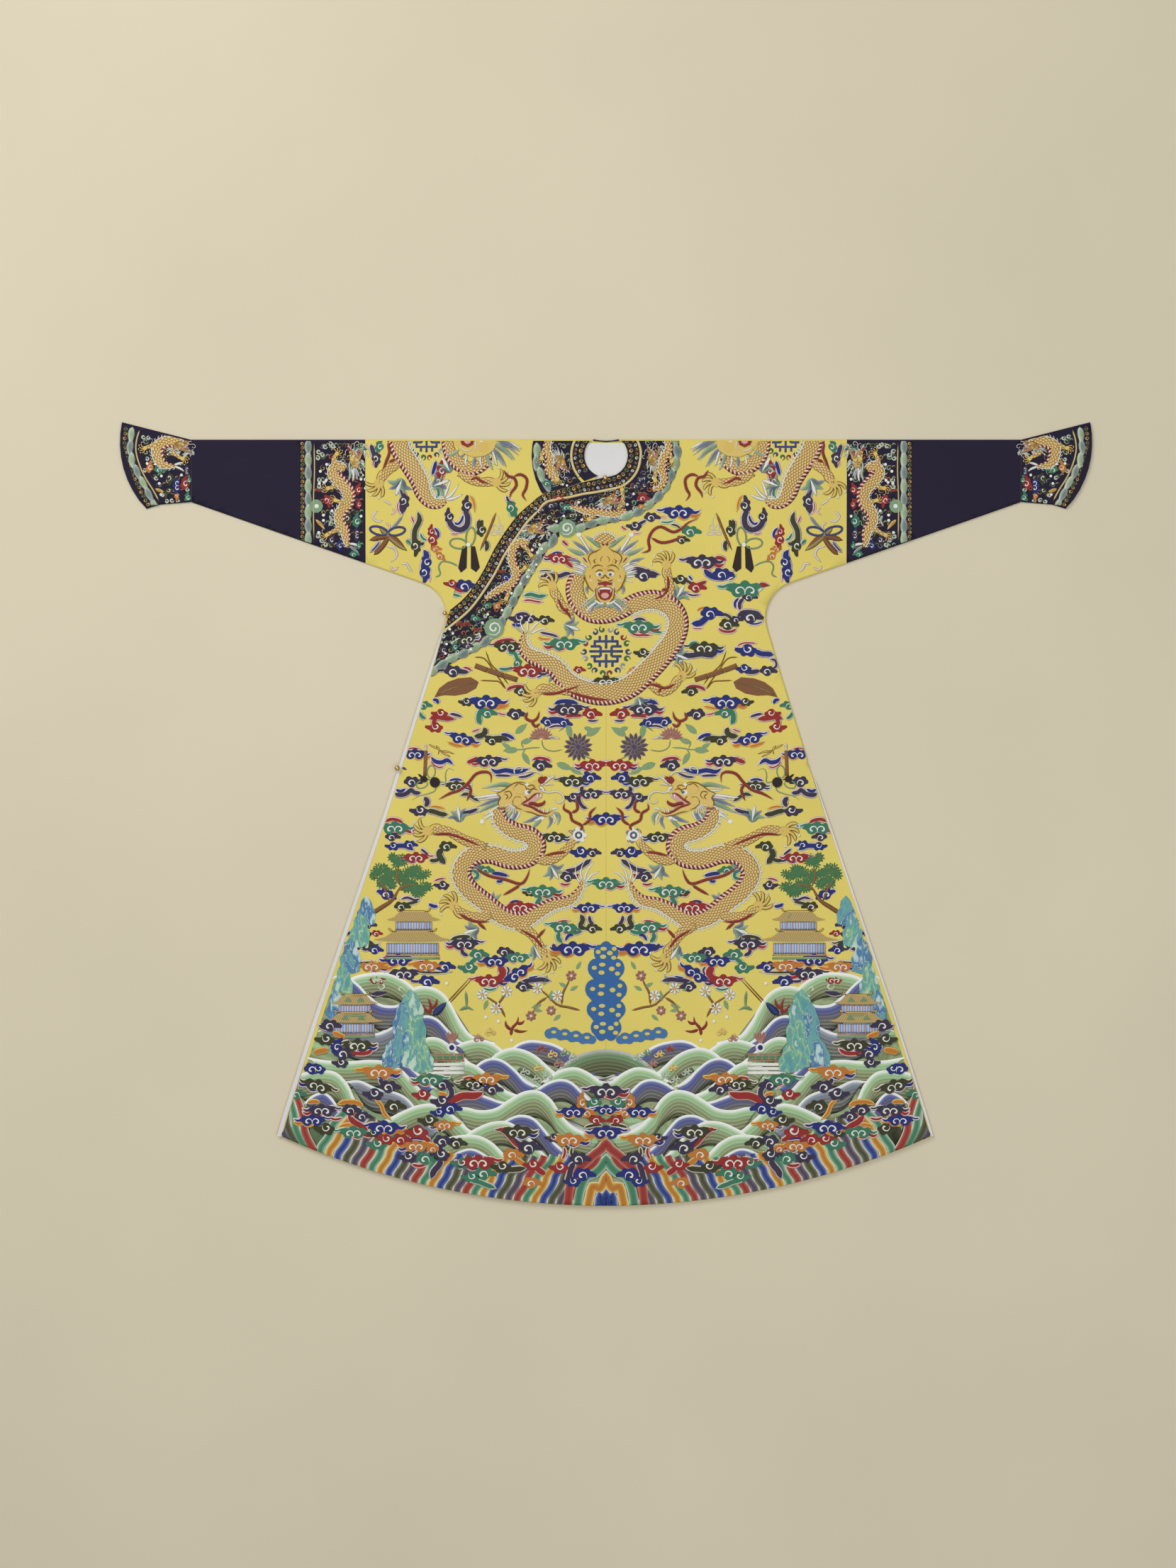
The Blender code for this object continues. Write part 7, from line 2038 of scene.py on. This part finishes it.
def leafy(bm, x, y, angle, size):
    """Leaf with a pale midrib."""
    outline = [(0, 0), (0.5, 0.45), (1.2, 0.62), (2, 0.5), (3, 0), (2, -0.5), (1.2, -0.62),
        (0.5, -0.45)]
    patch(bm, placed(outline, x, y, size, angle), "green", 0.0, 0.05, (0.07, 0.09))
    strand(bm, "stem", 0.07, *placed([(0.1, 0.0), (1.4, 0.08), (2.8, 0.0)], x, y, size, angle),
           base=0.04, start=0.1)


bm = new_stitching()
roundel(bm, 0.0, 30.8, 1.0)
for side in (1, -1):
    roundel(bm, side * -34.0, 71.2, 0.88)
sew_on(bm, "roundels")

for side, name in SIDES:
    bm = new_stitching()

    def m(*points):
        return mirrored(points, side)

    def lean(angle):
        return leant(angle, side)

    # Chrysanthemum, lotus, their stems and leaves
    for numbers in ((-12.2, 14.2, -11.8, 12.6, -10.2, 11.9, -8.2, 12.2),
            (-12.4, 12.6, -14.4, 12.5, -16.2, 12.2, -19.4, 12.3),
            (-15.6, 12.4, -16, 13.6, -14.8, 14.4), (-15.2, 12.4, -15.8, 11.2, -14.6, 9.8),
            (-4.4, 11.2, -3.2, 10.6, -1.8, 9.9), (-9, 15.6, -7.4, 16.6, -6.6, 15.2),
            (-8.4, 9.2, -7, 8.6, -5.6, 8)):
        strand(bm, "stem", 0.13, *m(*pairs(numbers)), start=0.05, end=0.1)
    for x, y, angle, size in ((-16.6, 12.2, 185, 1), (-17.2, 15.2, 40, 1), (-16, 13.4, 20, 0.8),
            (-15.8, 11.6, -60, 0.9), (-7.2, 17, -80, 1), (-3.8, 14.8, 30, 1.1),
            (-9.4, 9.6, -20, 1.1), (-6.8, 8.8, -30, 0.9), (-4.2, 16.4, -20, 0.8),
            (-18, 12.4, 150, 0.7)):
        leafy(bm, side * x, y, lean(angle), size)
    spray(bm, "petal", side * -5.3, 12.7, 15, 0.6, 2.8, 0.38, 10)
    spray(bm, "petal", side * -5.3, 12.7, 10, 0.2, 1.7, 0.33, 0, base=0.06)
    dot(bm, "plum", side * -5.3, 12.7, 0.45, 0.1)
    spray(bm, "pink", side * -12.3, 14.2, 11, 0.4, 2.4, 0.28, lean(8), side * 164.0)
    spray(bm, "pink", side * -12.3, 14.1, 7, 0.3, 1.6, 0.30, lean(20), side * 140.0, 0.06)
    strand(bm, "olive", 0.34, *m((-11.2, 14.5), (-9.9, 14.5), (-8.6, 14.2)))
    # Bound bundle with navy bows and loose ends
    for colour, half, *numbers in (("bark", 0.55, -44.9, 51.8, -42.6, 52.4, -40.6, 52.4,
            -38, 50.4), ("tan", 0.5, -43, 54.4, -41.6, 53, -39.6, 51.2, -37.6, 49.8),
            ("bark", 0.5, -44, 49, -42.4, 50.6, -40.8, 53),
            ("mist", 0.34, -38.4, 56.6, -39.8, 54.8, -41.4, 53.2),
            ("blue", 0.42, -44.8, 49.4, -43.6, 50.6, -42.6, 52),
            ("teal", 0.5, -38, 51.8, -37.4, 51.6, -36.9, 50.8),
            ("blue", 0.26, -41.6, 50.6, -40.2, 50.4, -39.6, 49, -40.8, 47.6),
            ("red", 0.26, -41, 47, -40.2, 46.2, -39.2, 46.8),
            ("blue", 0.26, -38.8, 47.2, -37.8, 47.4, -37.2, 46.4, -36.6, 45.8),
            ("blue", 0.24, -43.2, 57.4, -44.2, 56.4, -43.4, 55.4, -42.2, 55.6),
            ("red", 0.22, -41.8, 55.2, -41, 54.6, -41.2, 53.6),
            ("red", 0.2, -40.6, 58, -40, 57.2, -40.8, 56.6),
            ("blue", 0.22, -42.2, 59.4, -41.4, 59, -40.6, 58.4)):
        strand(bm, colour, half, *m(*pairs(numbers)), base=0.02, start=0.2, end=0.25)
    loop(bm, "navy", side * -41.4, 53.2, 1.7, 0.75, lean(165), 0.24, 0.06)
    loop(bm, "navy", side * -41.2, 53.2, 1.6, 0.75, lean(12), 0.24, 0.06)
    # Dark clappers on green cords
    for outline in (((-27.2, 50.7), (-26.3, 50.7), (-26.4, 46.6), (-27.5, 45.7), (-28, 46.6)),
            ((-25.6, 50.7), (-24.8, 50.7), (-23.9, 46.7), (-24.6, 45.8), (-25.6, 46.5))):
        patch(bm, m(*outline), "ink", 0.02, 0.08, (0.08, 0.12))
    loop(bm, "stem", side * -25.9, 50.8, 1.75, 0.85, lean(82), 0.17, 0.08)
    loop(bm, "stem", side * -26.4, 51.0, 1.6, 0.95, lean(172), 0.17, 0.08)
    strand(bm, "stem", 0.17, *m((-28.0, 46.9), (-29.4, 47.6), (-31.0, 47.8), (-31.7, 46.8),
        (-31.4, 45.4), (-32.4, 44.8)), start=0.05, end=0.1)
    dot(bm, "white", side * -26.1, 51.0, 0.4, 0.12)
    # Wand with a knotted bow
    strand(bm, "bark", 0.24, *m((-20.8, 57.2), (-22.2, 53.6), (-23.9, 49.8)), base=0.1, start=0.1,
           end=0.1)
    for rx, ry, angle in ((0.8, 0.4, 60), (0.8, 0.4, 120), (0.7, 0.35, 190), (0.7, 0.35, -10)):
        loop(bm, "olive", side * -20.5, 53.3, rx, ry, lean(angle), 0.12, 0.02)
    strand(bm, "olive", 0.12, *m((-20.3, 53.4), (-20.2, 55.6), (-20.8, 57.0)))
    # Bamboo drum, its twigs and a woven fan
    for numbers in ((-25, 29.7, -23, 29.4, -21.2, 27, -18.8, 23.6),
            (-22.8, 31, -21.8, 28.4, -20, 26.6, -18.4, 24.4),
            (-24, 25.3, -21.6, 25.2, -20.2, 25, -19, 23.6)):
        strand(bm, "tan_line", 0.13, *m(*pairs(numbers)), start=0.05, end=0.05)
    bar(bm, "bark", 0.50, *m((-24.8, 28.1), (-22.4, 27.2)), 0.06, 0.1)
    bar(bm, "bark", 0.50, *m((-22.3, 27.2), (-19.4, 26.2)), 0.06, 0.1)
    bar(bm, "bark", 0.50, *m((-19.3, 26.2), (-16.8, 25.4)), 0.06, 0.1)
    patch(bm, m((-32.5, 22.1), (-31.6, 23.8), (-30.0, 25.0), (-28.0, 25.7), (-25.6, 25.9),
        (-24.1, 25.0), (-24.6, 23.8), (-26.4, 22.8), (-28.6, 22.4), (-30.6, 22.5)), "bark", 0.0,
        0.06)
    for k in range(6):
        x = -31.0 + 1.15 * k
        strand(bm, "tan", 0.09, *m((x, 22.7 + 0.15 * k), (x + 0.5, 23.8 + 0.12 * k),
                                   (x + 0.7, 24.7 + 0.15 * k)), base=0.05, start=0.1)
    strand(bm, "tan", 0.14, *m((-32.0, 22.5), (-29.0, 23.9), (-24.4, 24.9)), base=0.06, start=0.1)
    # Flute, gourds and their cord
    bar(bm, "bark", 0.34, *m((-34.1, 12.0), (-34.3, 7.2)), 0.06, 0.1)
    strand(bm, "plum", 0.3, *m((-34.1, 13.4), (-34.1, 12.6), (-34.1, 11.8)))
    for numbers in ((-33.6, 13.2, -32.4, 12.6, -31.2, 12), (-32.2, 13, -31.6, 12.2, -31.8, 11.2),
            (-31.6, 12, -30, 11.8, -28.6, 11.3), (-31.4, 11.8, -30.2, 11.2, -29.4, 10.8)):
        strand(bm, "gilt", 0.2, *m(*pairs(numbers)), base=0.03)
    dot(bm, "ink", side * -34.5, 6.6, 0.72, 0.1, 0.12, 0.85)
    dot(bm, "ink", side * -32.4, 6.0, 1.0, 0.1, 0.14)
    strand(bm, "ink", 0.2, *m((-35.6, 7.6), (-34.8, 7.0), (-33.2, 6.4)), base=0.1)
    loop(bm, "stem", side * -33.2, 6.8, 1.2, 0.75, lean(85), 0.13, 0.05)
    loop(bm, "stem", side * -33.8, 6.0, 1.1, 0.7, lean(200), 0.13, 0.05)
    strand(bm, "stem", 0.13, *m((-32.2, 5.4), (-32.4, 4.4), (-33.8, 3.8), (-35.4, 3.4),
        (-36.8, 2.6)), start=0.05)
    strand(bm, "stem", 0.13, *m((-31.6, 6.2), (-30.4, 6.0), (-30.4, 7.6), (-29.8, 8.6),
        (-28.6, 8.2)), start=0.05)
    sew_on(bm, "flowers_and_emblems_" + name)

# ---------------------------------------------------------------------------------------------
# Above the sea: pine trees, banked peaks and sprigs in blossom, with tiers of plain fretwork.
# ---------------------------------------------------------------------------------------------
def tier(bm, side, x, y, half_span, height, base=0.14):
    """One tier of fretwork: a tiled slope with turned-up corners over a row of pale panes."""
    x *= side
    bar(bm, "pane", height * 0.42, (x - half_span * 0.74, y - height * 0.72),
        (x + half_span * 0.74, y - height * 0.72), base)
    patch(bm, [(x + half_span * px, y + py) for px, py in
        ((-1.12, -0.2), (-0.8, 0.25), (-0.56, 1.3), (0.56, 1.3), (0.8, 0.25), (1.12, -0.2),
        (0.7, -0.42), (0, -0.5), (-0.7, -0.42))], "tile", base + 0.04, 0.09, (0.1, 0.15))
    for px, py, end in ((-0.56, 1.3, -0.66), (0.56, 1.3, 0.66)):
        strand(bm, "gilt", 0.2, (x + half_span * px, y + py), (x + half_span * end, y + 1.75),
               (x + half_span * end * 1.05, y + 2.05), base=base + 0.06)
    strand(bm, "gilt", 0.2, (x - half_span * 0.6, y + 1.4), (x, y + 1.36),
           (x + half_span * 0.6, y + 1.4), base=base + 0.09, start=0.05, end=0.05)
    for px in (-0.3, 0.3):
        gable = [(x + half_span * px + dx, y + dy) for dx, dy in
                 ((-0.75, 0.1), (0.0, 1.0), (0.75, 0.1))]
        patch(bm, gable, "green", base + 0.12, 0.05, (0.1, 0.1))
    for k in range(7):
        px = x + half_span * 0.74 * (k - 3) / 3
        bar(bm, "flame", 0.10, (px, y - height * 0.30), (px, y - height * 1.2), base + 0.05)
    bar(bm, "flame", 0.10, (x - half_span * 0.78, y - height * 1.22),
        (x + half_span * 0.78, y - height * 1.22), base + 0.05)
    bar(bm, "green", 0.24, (x - half_span * 0.78, y - height * 1.42),
        (x + half_span * 0.78, y - height * 1.42), base + 0.03)


def peak(bm, side, colour, places, base=0.14):
    """Banked scallops of rock: rows of x, y, width, height."""
    for k, (x, y, width, height) in enumerate(places):
        outline = [(side * x + width * px, y + height * py) for px, py in
            ((-0.5, -1), (-0.55, -0.4), (-0.36, -0.16), (-0.3, 0.2), (0, 0.5), (0.26, 0.24),
            (0.4, -0.1), (0.56, -0.4), (0.5, -1), (0, -1.12))]
        patch(bm, outline, colour[k % len(colour)], base + 0.012 * k, 0.05, (0.09, 0.1, 0.2))


for side, name in SIDES:
    bm = new_stitching()

    def m(*points):
        return mirrored(points, side)

    for half, *numbers in ((0.42, -44.4, -18.9, -42.4, -17.6, -40.4, -16.2, -38.8, -13.4),
            (0.26, -41, -16.6, -42, -14, -43.2, -12.2),
            (0.24, -39.6, -14.6, -37.4, -13.4, -35.6, -13.6),
            (0.24, -39, -13.6, -39.6, -11.6, -39.4, -10)):
        strand(bm, "bark", half, *m(*pairs(numbers)), base=0.05, start=0.1)
    rng = random.Random(5)
    for x, y, rx, ry in ((-42.8, -11, 2, 1), (-39.8, -8.8, 1.7, 0.9), (-38.6, -11.4, 2.2, 1),
            (-35.6, -11.2, 1.8, 0.9), (-34.8, -14.4, 1.9, 1), (-41.8, -13.2, 1.5, 0.8),
            (-37.4, -13.6, 1.4, 0.7)):
        for k in range(15):
            turn = rng.uniform(0.0, 2.0 * math.pi)
            away = math.sqrt(rng.random())
            px, py = x + rx * away * math.cos(turn), y + ry * away * math.sin(turn)
            spray(bm, "pine", side * px, py, 8, 0.1, 0.95, 0.14, rng.uniform(0.0, 45.0), 360.0,
                  0.03)
    for x, y, span, height in ((-36.4, -19.8, 4.6, 1.9), (-36.6, -23.6, 6.6, 2.6)):
        tier(bm, side, x, y, span, height, 0.03)
    for x, y, span, height in ((-47.6, -35.6, 4, 1.8), (-47.8, -39, 5.2, 2.2)):
        tier(bm, side, x, y, span, height)
    peak(bm, side, ("peak", "peak_teal"), ((-45.4, -17.2, 3.2, 3.6), (-46.6, -20.6, 3.4, 4.2),
        (-48.4, -25.4, 3.6, 4.4), (-49.8, -30.4, 3.4, 4.6), (-51.4, -35.4, 3, 4.6)), 0.03)
    peak(bm, side, ("peak_teal", "peak"), ((-37, -35.2, 4.6, 4.2), (-38.6, -37.6, 3.4, 4.4),
        (-36, -38.6, 3.6, 5), (-38.9, -41.6, 3.6, 4.6), (-36.4, -42.8, 4.2, 5),
        (-40.6, -44.4, 3.4, 3.4), (-34.6, -45, 3.6, 3.6)), 0.15)
    for numbers in ((-33.4, -38.2, -33.2, -36.2, -33.8, -34.6),
            (-33.2, -37, -32.2, -36, -32, -34.8), (-33.3, -37.6, -34.4, -36.8, -34.6, -35.8),
            (-18, -42, -17.8, -40.6, -16.8, -39.4, -16.6, -38.2),
            (-17.9, -41, -18.9, -40, -19, -39), (-17.6, -40.8, -16.2, -41.2, -14.8, -41),
            (-17, -39.6, -16, -39.6, -15.4, -39)):
        base = 0.16 if numbers[0] < -30 else 0.02
        strand(bm, "flame", 0.32, *m(*pairs(numbers)), base=base, start=0.1)
    # Blossom sprigs
    for numbers in ((-4.8, -37.2, -7, -36.6, -9.4, -36, -12.2, -33.4, -15, -32.8),
            (-8.4, -36.2, -8.2, -34, -7.2, -32, -6.6, -30.4), (-11, -34.6, -13, -36, -14, -38.2),
            (-19, -38.6, -20.2, -36.4, -22, -35, -23.8, -34.2),
            (-20.6, -36.2, -19.4, -34.6, -18.6, -33.4)):
        strand(bm, "bark", 0.24, *m(*pairs(numbers)), base=0.02, start=0.1)
    for x, y, colour, reach in ((-6.6, -30.6, "pink", 1.1), (-14.2, -38.2, "pink", 1.1),
            (-9.2, -34.4, "white", 1.2), (-13, -33, "white", 1.2), (-10.4, -37.2, "pink", 1),
            (-23.4, -34.2, "white", 1.2), (-18.8, -33.6, "white", 1.2),
            (-20.8, -36.8, "white", 1.3)):
        spray(bm, colour, side * x, y, 7, 0.2, reach, 0.32, 15)
        dot(bm, "orange" if colour == "white" else "red", side * x, y, 0.26, 0.07)
    for x, y, angle, size in ((-7.4, -32.8, 150, 0.6), (-6.8, -33.4, 30, 0.6),
            (-10.6, -35.4, 80, 0.7), (-12.2, -36, 200, 0.7), (-14.4, -33.4, 160, 0.8),
            (-13.8, -37, -10, 0.6), (-5.6, -29.4, 60, 0.6), (-11.8, -32.4, 70, 0.7),
            (-22.4, -35.2, 250, 0.7), (-19.8, -34.6, 30, 0.6), (-8.6, -38, 220, 0.6)):
        leafy(bm, side * x, y, leant(angle, side), size)
    # Brush, jar and a striped fret at the water's edge
    strand(bm, "navy", 0.75, *m((-32.8, -38.2), (-31.4, -36.8), (-30.2, -35.6)), base=0.16)
    for dx in (0.0, 0.6):
        strand(bm, "tan_line", 0.13, *m((-30.4 + dx, -36.0), (-28.0 + dx, -33.4),
                                        (-25.6 + dx, -30.8)), base=0.06, start=0.05)
    strand(bm, "green", 0.3, *m((-26.6, -33.4), (-26.4, -35.4), (-26.5, -37.2)), base=0.03)
    strand(bm, "green", 0.34, *m((-27.8, -37.2), (-26.4, -36.6), (-25.0, -37.2)), base=0.03)
    for k in range(3):
        bar(bm, "white", 0.34, *m((-34.0, -47.4 - 0.8 * k), (-26.8, -47.4 - 0.8 * k)), 0.15)
    bar(bm, "green", 0.52, *m((-33.6, -46.0), (-26.9, -46.0)), 0.15)
    for k in range(6):
        x = -33.4 + 1.28 * k
        bar(bm, "flame", 0.11, *m((x, -45.3), (x, -46.8)), 0.2)
    for y in (-45.4, -46.7):
        bar(bm, "flame", 0.11, *m((-33.7, y), (-26.8, y)), 0.2)
    dot(bm, "white", side * -29.2, -44.2, 0.9, 0.16)
    dot(bm, "blue", side * -29.2, -44.2, 0.5, 0.22)
    spray(bm, "pink", side * -29.2, -43.6, 5, 0.1, 2.6, 0.26, 60, 60.0, 0.16)
    for x, y, colour in ((-12.6, -44.6, "flame"), (-10.6, -45.6, "orange"), (-8.2, -45.4, "green"),
            (-13.2, -48.2, "orange"), (-9.4, -47.4, "pink"), (-24.6, -42.6, "pink"),
            (-22.4, -41.4, "orange"), (-6.6, -46.2, "jade"), (-15.8, -49, "jade"),
            (-13.6, -50.4, "jade"), (-11.6, -49.8, "jade")):
        for k in range(3):
            curl(bm, side * (x + 0.5 * k), y + 0.5 * (k % 2), 0.5, side * (1 if k % 2 else -1),
                 80 * k, colour, 0.16, 1.0, 1.3)
    for x, y in ((-17.9, -42.8), (-28.8, -45.8), (-22.8, -38.4), (-20.4, -39.2), (-30.2, -32)):
        dot(bm, "white", side * x, y, 0.32, 0.12)
    sew_on(bm, "shore_" + name)

bm = new_stitching()
for k, (y, half, height) in enumerate(((-26.4, 2.4, 3.6), (-29.4, 3.6, 4.4), (-33.4, 4.1, 4.6),
        (-37.2, 3.8, 4.2), (-40.6, 3, 3.6))):
    lobes = around(((0, 0.1, 0.55), (-0.55, 0.05, 0.42), (0.55, 0.05, 0.42), (-0.3, -0.25, 0.4),
        (0.3, -0.25, 0.4)), 32)
    patch(bm, [(half * px, y + height * py) for px, py in lobes], "holed_rock",
          0.01 + 0.012 * k, 0.05, (0.16, 0.14, 0.25))
    for px, py, radius, squash in ((-0.62, 0.3, 0.5, 0.8), (-0.2, 0.9, 0.62, 0.6),
            (0.3, 0.1, 0.56, 0.8), (0.64, 0.9, 0.46, 0.9), (-0.24, -0.6, 0.6, 0.7),
            (0.6, -0.8, 0.5, 0.8)):
        dot(bm, "rock_hole", half * px, y + py, radius, 0.07 + 0.012 * k, 0.03, squash)
for side in (1, -1):
    for k in range(4):
        lobes = around(((0, 0, 1), (0.7, -0.2, 0.9), (-0.8, -0.3, 0.8)), 24)
        x, y = side * (3.6 + 2.1 * k), -42.4 + 0.35 * k
        patch(bm, [(x + side * 1.1 * px, y + 1.05 * py) for px, py in lobes], "holed_rock",
              0.02 + 0.01 * k, 0.05, (0.15, 0.13))
        dot(bm, "rock_hole", x, y + 0.1, 0.5, 0.08 + 0.01 * k, 0.03, 0.6)
sew_on(bm, "shore_centre")

# The blue loop that takes the side button
bm = new_stitching()
strand(bm, "navy", 0.22, (-39.4, 8.65), (-38.6, 8.75), (-37.7, 8.4), base=0.1, start=0.1, end=0.1,
       height=0.16)
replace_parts(sew_on(bm, "loop_side_cord"), "loop_side")
